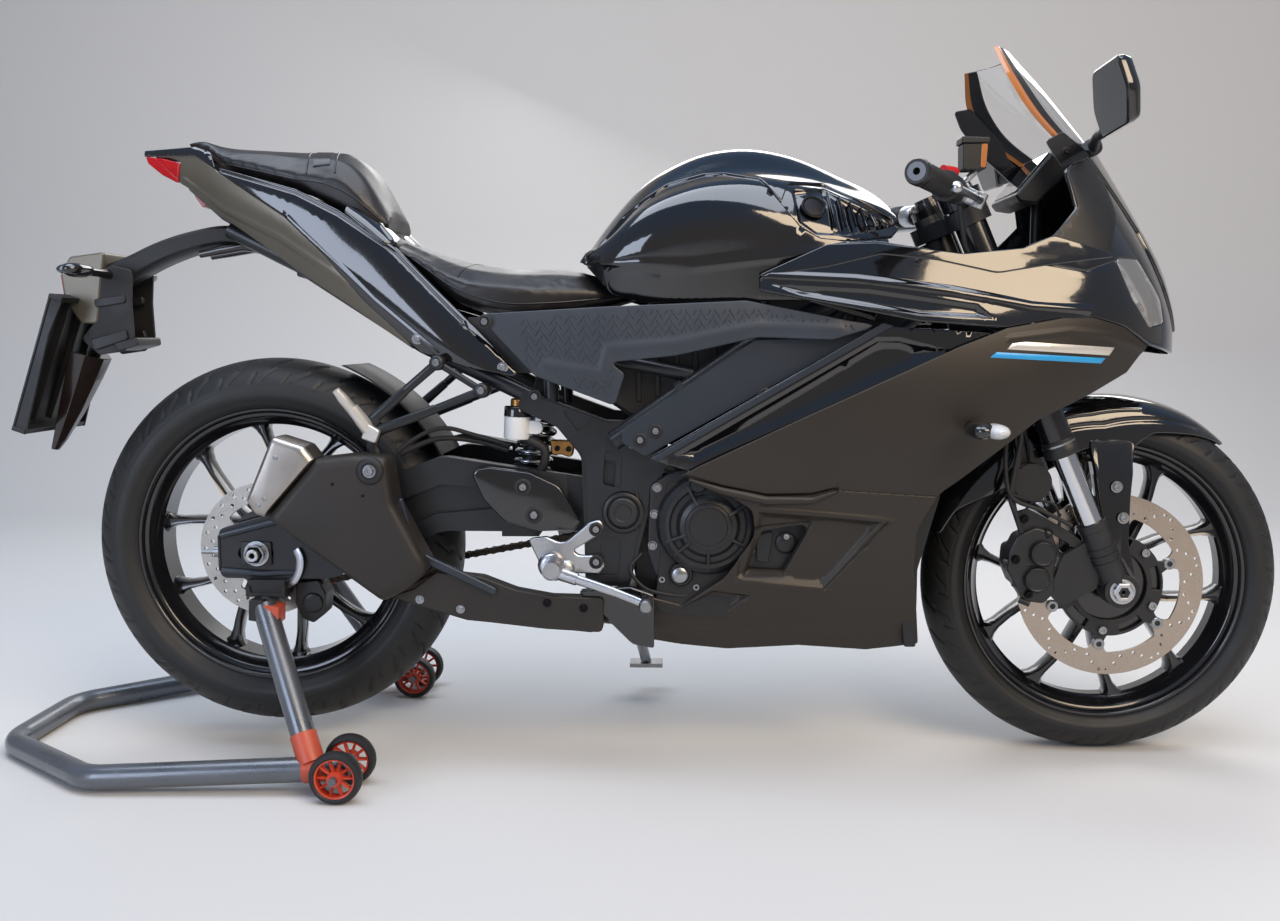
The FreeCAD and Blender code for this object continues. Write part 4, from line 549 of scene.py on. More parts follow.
class Surface:
    """Smooth right-hand surface through rows of control points, going on over the middle plane.

    Plan rows are (z, ((x, half width), ...)) and end on the middle plane at the nose.
    Section rows are (x, ((z, half width), ...)) and start on it at the top.
    """

    def __init__(self, rows, sections=False, row_breaks=(), breaks=()):
        self.sections = sections
        self.rows = np.array([r[0] for r in rows], float)
        grid = np.array([r[1] for r in rows], float)
        over = (grid[:, 1:2] if sections else grid[:, -2:-1]) * (1, -1)
        self.grid = np.concatenate([over, grid] if sections else [grid, over], axis=1)
        runs = np.linalg.norm(np.diff(self.grid, axis=1), axis=2).mean(axis=0)
        self.knots = np.concatenate([[0], np.cumsum(runs)])
        self.knots -= self.knots[1] if sections else 0
        self.start, self.end = 0.0, self.knots[-1 if sections else -2]
        self.middle = self.start if sections else self.end
        self.row_breaks = row_breaks
        self.breaks = [b + 1 for b in breaks] if sections else breaks

    def spots(self, t, row):
        across = basis(self.knots, t, self.breaks)
        lines = (basis(self.rows, row, self.row_breaks) @ self.grid.reshape(len(self.rows),
                -1)).reshape(len(row), -1, 2)
        a, w = np.einsum("nt,ntk->kn", across, lines)
        return np.stack([row, -w, a] if self.sections else [a, -w, row], axis=1)

    def normals(self, t, row):
        e = 0.5
        n = np.cross(self.spots(t + e, row) - self.spots(t - e, row),
                self.spots(t, row + e) - self.spots(t, row - e))
        return n / np.maximum(np.linalg.norm(n, axis=1), 1e-9)[:, None]

    def find(self, points):
        """Place on the surface of side-view points, as (t, row)."""
        points = np.asarray(points, float)[:, :2]
        row, target = (points[:, 0], points[:, 1]) if self.sections else (points[:, 1], points[:, 0])
        t = np.linspace(self.start, self.end, 500)
        a = basis(self.rows, row, self.row_breaks) @ self.grid[:, :, 0] @ basis(self.knots, t,
                self.breaks).T
        if self.sections:
            a, target = -a, -target
        a = np.maximum.accumulate(a, axis=1) + np.linspace(0, 1e-6, len(t))
        return np.stack([[np.interp(v, line, t) for v, line in zip(target, a)], row], axis=1)


def dense(line, step=4.0):
    """Line of straight runs with points every few millimetres."""
    line = np.asarray(line, float)[:, :2]
    out = [line[0]]
    for a, b in zip(line[:-1], line[1:]):
        parts = max(1, int(round(np.linalg.norm(b - a) / step)))
        out += [a + (b - a) * k / parts for k in range(1, parts + 1)]
    return np.array(out)


def beside(path, distance, closed):
    """The line moved sideways, to its left."""
    before = np.roll(path, 1, axis=0) if closed else np.vstack([path[:1], path[:-1]])
    after = np.roll(path, -1, axis=0) if closed else np.vstack([path[1:], path[-1:]])
    way = after - before
    way /= np.maximum(np.linalg.norm(way, axis=1), 1e-9)[:, None]
    return path + np.stack([-way[:, 1], way[:, 0]], axis=1) * distance


def shell(surface, outline, holes=(), features=(), grid=8.0, roll=1.6, wall=3.0, lift=0.0, one_side=False):
    """Panel of the surface inside a side-view outline, its rim rolled in, on both sides of the bike.

    Features are ("area", outline, height, slope) and ("ridge", line, height, reach).
    """
    loops = [surface.find(rounded(line, 5.0)) for line in (outline, *holes)]
    segments = []
    for loop in loops:
        for a, b in zip(loop, np.roll(loop, -1, axis=0)):
            if abs(a[0] - surface.middle) > 0.01 or abs(b[0] - surface.middle) > 0.01:
                segments.append((a, b))

    def rim_distance(points):
        best = np.full(len(points), 1e9)
        for a, b in segments:
            run = b - a
            share = np.clip(((points - a) @ run) / max(run @ run, 1e-9), 0, 1)
            best = np.minimum(best, np.linalg.norm(points - a - share[:, None] * run, axis=1))
        return best

    def within(points):
        keep = inside_outline(points, loops[0])
        for loop in loops[1:]:
            keep &= ~inside_outline(points, loop)
        return keep

    marks, forms = [], []
    for loop in loops:
        for share in (0.35, 1.0):
            marks += [beside(loop, roll * share, True), beside(loop, -roll * share, True)]
    for kind, line, height, reach in features:
        closed = kind == "area"
        path = surface.find(rounded(line, 4.0) if closed else dense(line, 4.0))
        forms.append((closed, path, height, reach))
        marks.append(path)
        for share in (0.4, 1.0):
            marks += [beside(path, reach * share, closed), beside(path, -reach * share, closed)]
    marks = np.vstack(marks)
    marks = marks[within(marks)]
    marks = marks[rim_distance(marks) > 0.25 * roll]
    _, first = np.unique(np.round(marks / 1.1).astype(int), axis=0, return_index=True)
    marks = marks[first]
    low, high = loops[0].min(axis=0), loops[0].max(axis=0)
    t, row = np.meshgrid(np.arange(low[0] + grid / 2, high[0], grid),
            np.arange(low[1] + grid / 2, high[1], grid * ROW_PITCH))
    t = t + (np.arange(len(t)) % 2)[:, None] * grid / 2
    inner = np.stack([t.ravel(), row.ravel()], axis=1)
    inner = inner[within(inner)]
    inner = inner[rim_distance(inner) > max(0.5 * grid, roll + 1)]
    cell = grid * 0.45
    taken = {tuple(c) for c in np.floor(marks / cell).astype(int)}
    free = [not any((i + a, j + b) in taken for a in (-1, 0, 1) for b in (-1, 0, 1))
            for i, j in np.floor(inner / cell).astype(int)]
    inner = inner[np.array(free, bool)]
    on_middle = loops[0][np.abs(loops[0][:, 0] - surface.middle) < 0.01]
    points, edges = [], []
    for loop in loops:
        base = len(points)
        points += [Vector(p) for p in loop]
        edges += [(base + i, base + (i + 1) % len(loop)) for i in range(len(loop))]
    points += [Vector(p) for p in marks] + [Vector(p) for p in inner]
    verts, _, tris, *_ = delaunay_2d_cdt(points, edges, [], 0, 1e-4)
    flat = np.array([tuple(v) for v in verts])
    tris = np.array([tuple(f) for f in tris])
    tris = tris[within(flat[tris].mean(axis=1))]
    used = np.unique(tris)
    renumber = np.zeros(len(flat), int)
    renumber[used] = np.arange(len(used))
    flat, tris = flat[used], renumber[tris]

    def height_at(where, rim):
        height = np.full(len(where), float(lift))
        for closed, path, rise, reach in forms:
            away = line_distance(where, path, closed)
            if closed:
                height += rise * smooth_step(away / reach) * inside_outline(where, path)
            else:
                height += rise * (1 - smooth_step(away / reach))
        rim = np.clip(rim / roll, 0, 1)
        return height - roll * (1 - np.sqrt(1 - (1 - rim)**2))

    def outer_at(where):
        height = height_at(where, rim_distance(where) * within(where))
        return surface.spots(*where.T) + surface.normals(*where.T) * height[:, None]

    t, row = flat[:, 0], flat[:, 1]
    height = height_at(flat, rim_distance(flat))
    spots, normals = surface.spots(t, row), surface.normals(t, row)
    outer = spots + normals * height[:, None]
    step_t, step_row = np.array((0.4, 0.0)), np.array((0.0, 0.4))
    leans = np.cross(outer_at(flat + step_t) - outer_at(flat - step_t),
            outer_at(flat + step_row) - outer_at(flat - step_row))
    leans /= np.maximum(np.linalg.norm(leans, axis=1), 1e-9)[:, None]
    inner = spots + normals * (np.minimum(height, lift) - wall)[:, None]
    centre = (np.abs(t - surface.middle) < 0.01) if len(on_middle) else np.zeros(len(t), bool)
    outer[centre, 1] = inner[centre, 1] = 0
    n = len(flat)
    faces = [tuple(f) for f in tris] + [tuple(n + i for i in reversed(f)) for f in tris]
    border = {}
    for f in tris:
        for a, b in ((f[0], f[1]), (f[1], f[2]), (f[2], f[0])):
            border[(int(a), int(b))] = True
    for a, b in border:
        if (b, a) not in border and not (centre[a] and centre[b]):
            faces.append((b, a, n + a, n + b))
    shape = ([tuple(p) for p in np.vstack([outer, inner])], faces,
            [tuple(n) for n in leans] + [(0.0, 0.0, 0.0)] * len(flat))
    return shape if one_side else both(shape)


# Body panels: their surfaces and edges
SIDE = Surface((
    (170, ((560, 92), (760, 104), (960, 110), (1080, 112), (1300, 60), (1500, 0))),
    (290, ((560, 150), (760, 166), (960, 166), (1080, 162), (1300, 90), (1500, 0))),
    (420, ((560, 174), (760, 194), (960, 198), (1080, 196), (1300, 130), (1500, 0))),
    (540, ((560, 176), (760, 202), (960, 216), (1120, 214), (1300, 150), (1500, 0))),
    (640, ((560, 172), (760, 202), (960, 218), (1160, 218), (1340, 150), (1500, 0))),
    (710, ((560, 165), (760, 192), (960, 208), (1180, 208), (1380, 140), (1500, 0))),
    (800, ((560, 150), (760, 176), (960, 188), (1180, 182), (1370, 130), (1490, 0)))))

NOSE = Surface((
    (640, ((800, 196), (960, 206), (1180, 206), (1380, 136), (1455, 70), (1486, 0))),
    (720, ((800, 190), (960, 204), (1180, 204), (1380, 140), (1450, 75), (1483, 0))),
    (800, ((800, 170), (960, 186), (1180, 184), (1350, 140), (1420, 76), (1460, 0))),
    (880, ((800, 150), (960, 160), (1180, 172), (1320, 132), (1380, 70), (1415, 0))),
    (985, ((800, 120), (960, 130), (1180, 150), (1270, 110), (1320, 60), (1350, 0)))))

FAIRING_SEAM = ((1162, 706), (1249, 721), (1303, 721), (1356, 707), (1405, 680))
FRONT_EDGE = ((1370, 637), (1306, 606), (1216, 567), (1160, 524), (1099, 477), (1071, 457, 30),
        (1040, 402, 60), (1040, 336), (1060, 206, 4))


def make_side_fairings(look):
    lower_rear = ((978, 193), (870, 200), (756, 191), (679, 198, 10), (608, 210, 30), (590, 300),
            (626, 285), (682, 270), (748, 318, 40),
                  (796, 385, 30), (790, 430, 20), (744, 458, 30), (681, 482))
    outline = ((709, 497, 4), (860, 570), (1093, 679)) + tuple((x, z - 0.6)
            for x, z in FAIRING_SEAM) + FRONT_EDGE + lower_rear
    window = ((807, 391, 8), (880, 403, 10), (839, 324, 8), (783, 327, 6))
    features = (
        ("area", ((798, 430), (992, 415), (905, 302), (772, 316)), -11.0, 16.0),
        ("area", ((772, 402, 8), (890, 414, 10), (843, 316, 8), (765, 318, 8)), -7.0, 9.0),
        ("ridge", ((800, 431), (900, 424), (1002, 414)), 3.0, 9.0),
        ("ridge", ((996, 412), (906, 304)), -3.5, 3.5),
        ("ridge", ((770, 312), (905, 302)), 2.0, 9.0),
        ("area", ((730, 300, 6), (798, 292, 6), (748, 250, 8), (672, 262, 8)), -13.0, 12.0),
        ("ridge", ((914, 462), (1000, 457), (1078, 452)), -1.6, 2.2),
        ("ridge", ((688, 480), (744, 464), (810, 451), (880, 453), (914, 462)), -5.0, 6.0),
        ("ridge", ((640, 232), (760, 222), (960, 232)), 2.0, 14.0),
        ("ridge", ((1166, 690), (1260, 701), (1330, 694), (1400, 672)), 2.2, 9.0))
    panel = shell(SIDE, outline, [window], features, grid=8.5, roll=2.2, wall=3.5)
    # lip that stands out over the clutch cover
    lip_line = SIDE.find(dense(((694, 476), (744, 460), (812, 446), (880, 447), (916, 460)), 12.0))
    spots = SIDE.spots(lip_line[:, 0], lip_line[:, 1]) + SIDE.normals(lip_line[:, 0], lip_line[:, 1]) * 2.0
    lip = tube(curve_points([tuple(p) for p in spots], 6.0), (2.0, 5.5, 7.0, 7.0, 6.0, 2.0), 12)
    piece("side_fairing_skins", panel, MAT["matt"], replaces=["side_fairings"], smooth=40)
    piece("side_fairing_lips", both(lip), MAT["matt"])
    # dark liner seen through the window and round the clutch cover
    liner = slab([(660, 470, 10), (790, 440, 20), (900, 410, 20), (850, 300, 20), (760, 250, 20),
            (640, 260, 20)], -150, -146)
    piece("side_fairing_liners", both(liner), MAT["trim"], bevel=1.0)
    for z0, z1, x0, x1, name in ((668, 680, 1162, 1330, "silver_stripe"),
            (656, 664, 1136, 1316, "blue_stripe")):
        strip = shell(SIDE, ((x0, z0 + 6), (x0 + 10, z1 + 6), (x1 + 8, z1 - 4), (x1, z0 - 4)), roll=0.3,
                wall=0.6, lift=0.35, grid=12.0)
        piece("side_fairing_" + name, strip, MAT[name])


def make_upper_fairings(look):
    top = ((774, 768, 4), (900, 832, 20), (972, 837), (1100, 815, 60), (1190, 822), (1237, 841, 30),
            (1275, 885), (1262, 945, 10), (1310, 974), (1350, 990),
           (1450, 890), (1510, 760), (1510, 664), (1484, 664))
    outline = top + tuple(reversed(FAIRING_SEAM)) + ((1035, 715),)
    lamp = ((1340, 812, 6), (1388, 812, 8), (1432, 752, 14), (1438, 712, 8), (1404, 706, 8),
            (1370, 748, 12))
    features = (
        ("ridge", ((800, 786), (940, 778), (1080, 760), (1200, 738), (1290, 732)), 3.2, 10.0),
        ("area", ((800, 776), (960, 766), (1120, 742), (1150, 716), (1035, 722), (860, 752)), -6.0, 12.0),
        ("ridge", ((1185, 826), (1228, 800), (1290, 790), (1340, 806)), -2.0, 3.0))
    panel = shell(NOSE, outline, [lamp], features, grid=8.0, roll=2.0, wall=3.5)
    piece("upper_fairing_skin", panel, MAT["gloss"], replaces=["upper_fairing"],
            smooth=40)
    # raised blade down the middle of the nose
    blade = ((1304, 978, 6), (1350, 990), (1450, 890), (1510, 760), (1510, 690), (1478, 700, 3),
            (1448, 775, 30), (1404, 860, 40), (1330, 950, 20))
    piece("upper_fairing_blade", shell(NOSE, blade, grid=8.0, roll=2.0, wall=3.0, lift=3.2), MAT["gloss"],
            smooth=40)
    # upper side panel with its bump, lapping over the lower one
    side = ((790, 782, 3), (900, 831, 20), (972, 833), (1100, 815, 60), (1190, 824), (1237, 843, 20),
            (1330, 818, 20), (1336, 812, 3), (1225, 798, 30),
            (1150, 786, 40), (1060, 806, 40), (980, 815, 30), (900, 796, 20))
    piece("upper_fairing_side_laps", shell(NOSE, side, grid=8.0, roll=1.8, wall=3.0, lift=2.4),
            MAT["gloss"], smooth=40)
    inner = ((1180, 822, 20), (1237, 843, 20), (1278, 886), (1264, 944, 10), (1308, 968, 8),
            (1340, 930, 20), (1352, 880, 20), (1330, 820, 10), (1240, 806, 20))
    piece("upper_fairing_inner_laps", shell(NOSE, inner, grid=8.0, roll=1.6, wall=3.0, lift=2.0),
            MAT["trim"], smooth=40)
    lens = shell(NOSE, ((1341, 811, 6), (1387, 811, 8), (1431, 752, 14), (1437, 713, 8), (1404, 707, 8),
            (1371, 748, 12)), grid=8.0, roll=1.2, wall=2.5, lift=0.5)
    piece("headlight_lenses", lens, MAT["lamp"], replaces=["headlights"], smooth=40)
    bowl = shell(NOSE, ((1338, 814, 6), (1389, 814, 8), (1434, 752, 14), (1440, 710, 8), (1402, 703, 8),
            (1367, 748, 12)), grid=8.0, roll=1.0, wall=2.0, lift=-16.0,
                 features=[("ridge", ((1362, 800), (1402, 730)), 6.0, 9.0),
                     ("ridge", ((1350, 790), (1384, 735)), 5.0, 6.0)])
    piece("headlight_bowls", bowl, MAT["reflector"], smooth=30)


TANK = Surface([(x, ((top, 0), (top - 0.15 * (top - z1), y1 * 0.55), (z1, y1),
        ((z1 + z2) / 2 + 8, (y1 + y2) / 2 + 10), (z2, y2), (z3, y3), (z4, y4)))
                for x, top, y1, z1, y2, z2, y3, z3, y4, z4 in (
    (525, 820, 50, 816, 84, 811, 80, 803, 70, 790),
    (560, 868, 78, 845, 118, 815, 112, 796, 104, 765),
    (610, 925, 92, 895, 140, 838, 134, 785, 124, 745),
    (690, 975, 98, 935, 152, 868, 146, 792, 138, 740),
    (770, 992, 92, 950, 155, 880, 152, 806, 144, 742),
    (850, 982, 82, 945, 150, 876, 154, 818, 148, 740),
    (930, 950, 70, 925, 134, 870, 152, 828, 150, 724),
    (1000, 915, 50, 900, 104, 862, 146, 812, 152, 712),
    (1050, 870, 30, 862, 92, 838, 140, 795, 152, 705))], sections=True, breaks=(5,))
BAND_EDGE = ((531, 818), (560, 846), (591, 882), (625, 908), (657, 928), (716, 944), (749, 945), (804, 933),
        (833, 896), (863, 858), (893, 842))


def make_tank(look):
    side = ((531, 803), (531, 822)) + BAND_EDGE[1:] + ((937, 838), (1002, 845), (1001, 800), (996, 760),
            (976, 716), (871, 748), (755, 748), (621, 745), (571, 760))
    body = shell(TANK, side, grid=7.5, roll=1.6, wall=3.0,
                 features=[("ridge", ((560, 806), (700, 800), (800, 812), (941, 828), (1030, 812)), 1.2,
                     12.0)])
    piece("tank_sides", body, MAT["gloss"], replaces=["fuel_tank"], smooth=35)
    band = ((520, 812), (520, 840), (620, 980), (770, 1020), (960, 980), (1018, 905), (1019, 868),
            (1012, 866, 6), (1008, 876), (903, 931, 20), (846, 929,
                12)) + tuple(reversed(BAND_EDGE[:9])) + ((531, 806),)
    cover = shell(TANK, band, grid=7.5, roll=1.8, wall=4.0, lift=2.6)
    piece("tank_band", cover, MAT["gloss"], smooth=35)
    pocket = ((806, 934, 4), (846, 929), (903, 931), (1008, 876), (1024, 862, 4), (1010, 848, 6),
            (937, 839), (893, 840, 8), (863, 857), (833, 894))
    floor = shell(TANK, pocket, grid=7.0, roll=1.2, wall=3.0, lift=-1.0,
                  features=[("area", ((848, 922, 8), (903, 925, 10), (1006, 870, 6), (1004, 860, 6),
                      (937, 846, 8), (886, 846, 10), (858, 866, 10)), -9.0, 9.0)])
    piece("tank_front_pockets", floor, MAT["gloss"], replaces=["tank_cover"], smooth=35)
    louvres = []
    for i in range(6):
        x = 908 + 17.0 * i
        high = 918 - 8.6 * i
        line = TANK.find([(x, high), (x + 9, 862 + 0.6 * i)])
        a, b = TANK.spots(line[:, 0], line[:, 1]) + TANK.normals(line[:, 0], line[:, 1]) * -3.0
        louvres.append(tube([tuple(a), tuple((a + b) / 2 + np.array([0, -1.5, 0])), tuple(b)], 4.2, 8,
                flat=0.45))
    piece("tank_louvres", both(joined(louvres)), MAT["gloss"], smooth=60)
    badge = TANK.find([(885, 894)])
    spot, aim = TANK.spots(badge[:, 0], badge[:, 1])[0], TANK.normals(badge[:, 0], badge[:, 1])[0]
    ring = turned([(15, -7), (19, -7), (19.5, -4.5), (17.2, -3.5), (15.2, -4.5)], tuple(spot), tuple(aim),
            40, closed=True)
    face = turned([(0, -6), (16, -6), (16, -5.2), (13, -4.6), (0, -4.4)], tuple(spot), tuple(aim), 40)
    piece("tank_badge_rings", both(ring), MAT["dark_bolt"])
    piece("tank_badge_faces", both(face), MAT["dark_bolt"])
    lid_foot = (905, 0, 953)
    tilt = (0.42, 0, 0.91)
    lid = turned([(0, -8), (40, -8), (41, 2), (37, 5), (28, 5.5), (26, 3.5), (0, 4)], lid_foot, tilt, 48)
    piece("tank_filler_lid", lid, MAT["alloy"], bevel=0.4)


def make_side_cover_skins(look):
    rows = ((560, ((350, 166), (600, 170), (800, 172), (990, 172))),
            (700, ((350, 166), (600, 173), (800, 176), (990, 174))),
            (760, ((350, 160), (600, 165), (800, 168), (990, 168))))
    cover_skin = Surface([(z, plan + ((1100, 0),)) for z, plan in rows])
    outline = ((366, 728, 8), (560, 739, 20), (780, 748, 30), (933, 717, 6), (982, 710, 6), (909, 688, 10),
            (797, 692, 40), (672, 664, 20), (572, 654, 12),
               (595, 636, 8), (579, 587, 10), (456, 633, 20))
    panel = shell(cover_skin, outline, features=[("ridge",
            ((475, 652), (560, 636), (570, 676), (672, 684), (797, 710), (920, 704)), 2.5, 14.0)],
                  grid=8.0, roll=2.0, wall=3.0)
    piece("side_cover_skins", panel, MAT["grain"], replaces=["side_covers"], smooth=40)
    # rows of small raised dashes that slant two ways
    spots, pitch = [], look.dash_pitch / MM
    band = np.array([(440, 650), (430, 722), (560, 732), (780, 741), (925, 713), (955, 707), (905, 697),
            (797, 701), (672, 675), (566, 664),
                     (585, 634), (573, 597), (470, 639)])
    for i, x in enumerate(np.arange(432, 955, pitch)):
        for j, z in enumerate(np.arange(596, 748, pitch * 0.72)):
            spot = np.array([[x + (j % 2) * pitch / 2, z]])
            if not inside_outline(spot, band)[0] or line_distance(spot, band, True)[0] < 3.0:
                continue
            where = cover_skin.find(spot)
            p = cover_skin.spots(where[:, 0], where[:, 1])[0]
            slant = math.radians(62 if (i + j) % 2 else 118)
            for s in (-1, 1):
                spots.append(((p[0], -s * (p[1] - 0.2), p[2]), (math.cos(slant), 0, math.sin(slant)),
                        (0, 1, 0)))
    repeated("side_cover_dashes", tube([(0, 0, -4.2), (0, 0, 4.2)], 1.25, 6), spots, MAT["grain"],
            smooth=60)
    washers = [((x, s * y, z), (0, s, 0)) for s in (-1, 1)
            for x, z, y in ((380, 716, 171.5), (618, 534, 164.4))]
    repeated("panel_washers", lathe_unit([(0, -1), (11, -1), (11, 1.2), (10, 1.8), (7.5, 1.8), (7.0, 0.6),
            (0, 0.6)], 24), washers, MAT["rubber"])
    repeated("panel_bolts", bolt_unit(5.6, 4.0), washers, MAT["bolt"])


def make_inner_panel_skins(look):
    flat = slab([(794, 688, 6), (912, 690), (984, 709, 4), (626, 509, 8), (590, 530, 8), (590, 548, 6)],
            -164.4, -159.4)
    piece("inner_flat_panels", both(flat), MAT["satin_blue"], bevel=1.2,
            replaces=["inner_panels"])
    rows = ((470, ((620, 176), (800, 180), (960, 182), (1160, 184), (1300, 0))),
            (600, ((620, 174), (800, 180), (960, 184), (1160, 186), (1300, 0))),
            (720, ((620, 168), (800, 176), (960, 182), (1160, 184), (1300, 0))))
    inner_skin = Surface(rows)
    gloss = shell(inner_skin, ((634, 505, 3), (705, 484), (863, 553), (1150, 684), (1150, 698), (996, 708),
            (984, 712), (640, 513)), grid=8.0, roll=1.4, wall=3.0,
                  features=[("area", ((660, 508), (706, 498), (860, 566), (1090, 672), (1010, 694, 30),
                      (975, 694)), -9.0, 22.0)])
    piece("inner_gloss_panels", gloss, MAT["gloss"], smooth=40)
    strip = slab([(634, 507), (984, 713), (1000, 709), (992, 704), (645, 503)], -188.5, -184.0)
    piece("inner_edge_strips", both(strip), MAT["satin_blue"], bevel=1.5)


# What repeats is set on points by one node group
def points_group():
    """Node group that sets a unit piece on every point: its Z along aim, its X towards side."""
    tree = bpy.data.node_groups.new("Unit on points", "GeometryNodeTree")
    faces = tree.interface
    faces.new_socket("Geometry", in_out="INPUT", socket_type="NodeSocketGeometry")
    faces.new_socket("Unit", in_out="INPUT", socket_type="NodeSocketObject")
    faces.new_socket("Scale", in_out="INPUT", socket_type="NodeSocketFloat")
    faces.new_socket("Material", in_out="INPUT", socket_type="NodeSocketMaterial")
    faces.new_socket("Geometry", in_out="OUTPUT", socket_type="NodeSocketGeometry")
    given = add_node(tree, "NodeGroupInput").outputs
    aim = add_node(tree, "GeometryNodeInputNamedAttribute", {"Name": "aim"},
            data_type="FLOAT_VECTOR").outputs[0]
    side = add_node(tree, "GeometryNodeInputNamedAttribute", {"Name": "side"},
            data_type="FLOAT_VECTOR").outputs[0]
    size = add_node(tree, "GeometryNodeInputNamedAttribute", {"Name": "size"}, data_type="FLOAT").outputs[0]
    turn = add_node(tree, "FunctionNodeAlignRotationToVector", {"Vector": aim}, axis="Z").outputs[0]
    turn = add_node(tree, "FunctionNodeAlignRotationToVector", {"Rotation": turn, "Vector": side}, axis="X",
            pivot_axis="Z").outputs[0]
    scale = add_node(tree, "ShaderNodeMath", {0: size, 1: given["Scale"]}, operation="MULTIPLY").outputs[0]
    unit = add_node(tree, "GeometryNodeObjectInfo", {"Object": given["Unit"]}).outputs["Geometry"]
    placed = add_node(tree, "GeometryNodeInstanceOnPoints",
            {"Points": given["Geometry"], "Instance": unit, "Rotation": turn,
            "Scale": scale}).outputs[0]
    real = add_node(tree, "GeometryNodeRealizeInstances", {"Geometry": placed}).outputs[0]
    done = add_node(tree, "GeometryNodeSetMaterial", {"Geometry": real,
            "Material": given["Material"]}).outputs[0]
    add_node(tree, "NodeGroupOutput", {0: done})
    return tree


def set_input(modifier, name, value):
    for socket in modifier.node_group.interface.items_tree:
        if socket.item_type == "SOCKET" and socket.in_out == "INPUT" and socket.name == name:
            modifier[socket.identifier] = value


def repeated(name, unit, spots, material, body=ROOT, replaces=(), smooth=40, scale=1.0):
    """One piece of like units: a spot is a point and an aim, then perhaps a side and a size."""
    mesh = bpy.data.meshes.new(name + " unit")
    mesh.from_pydata([tuple(c * MM for c in p) for p in unit[0]], [], unit[1])
    tidy = bmesh.new()
    tidy.from_mesh(mesh)
    bmesh.ops.remove_doubles(tidy, verts=tidy.verts, dist=0.00001)
    bmesh.ops.recalc_face_normals(tidy, faces=tidy.faces)
    tidy.to_mesh(mesh)
    tidy.free()
    part = bpy.data.objects.new(name + " unit", mesh)
    bpy.context.scene.collection.objects.link(part)
    spots = [(tuple(s) + ((1, 0, 0), 1.0)[len(s) - 2:]) if len(s) < 4 else s for s in spots]
    cloud = bpy.data.meshes.new(name + " points")
    cloud.from_pydata([place(*s[0]) for s in spots], [], [])
    for key, column, kind in (("aim", 1, "FLOAT_VECTOR"), ("side", 2, "FLOAT_VECTOR")):
        values = cloud.attributes.new(key, kind, "POINT")
        values.data.foreach_set("vector", [float(c) for s in spots for c in s[column]])
    sizes = cloud.attributes.new("size", "FLOAT", "POINT")
    sizes.data.foreach_set("value", [float(s[3]) for s in spots])
    points = bpy.data.objects.new(name + " points", cloud)
    bpy.context.scene.collection.objects.link(points)
    modifier = points.modifiers.new("Units", "NODES")
    modifier.node_group = bpy.data.node_groups.get("Unit on points") or points_group()
    set_input(modifier, "Unit", part)
    set_input(modifier, "Scale", float(scale))
    set_input(modifier, "Material", material)
    graph = bpy.context.evaluated_depsgraph_get()
    whole = bpy.data.meshes.new_from_object(points.evaluated_get(graph))
    bpy.data.objects.remove(points)
    bpy.data.objects.remove(part)
    whole.name = name
    whole.shade_smooth()
    whole.set_sharp_from_angle(angle=math.radians(smooth))
    obj = bpy.data.objects.new(name, whole)
    bpy.context.scene.collection.objects.link(obj)
    return ride(obj, body, replaces)


def lathe_unit(profile, count=20):
    """Unit piece turned about Z, for repeated()."""
    return turned(profile, (0, 0, 0), (0, 0, 1), count)


def bolt_unit(radius, height, washer=0.0, socket=0.5):
    """Cap screw with an optional washer and a sunk socket."""
    foot = [(0, -0.5)] + ([(washer, -0.5), (washer, 0.9), (radius, 1.1)] if washer else [(radius, -0.5)])
    top = [(radius, height * 0.75), (radius * 0.86, height), (radius * socket, height),
            (radius * socket * 0.92, height * 0.55),
           (0, height * 0.5)]
    return lathe_unit(foot + top, 18)


# Wheels
RIM_EDGE = 230.0          # radius of the rim's flange
BEAD = 217.0


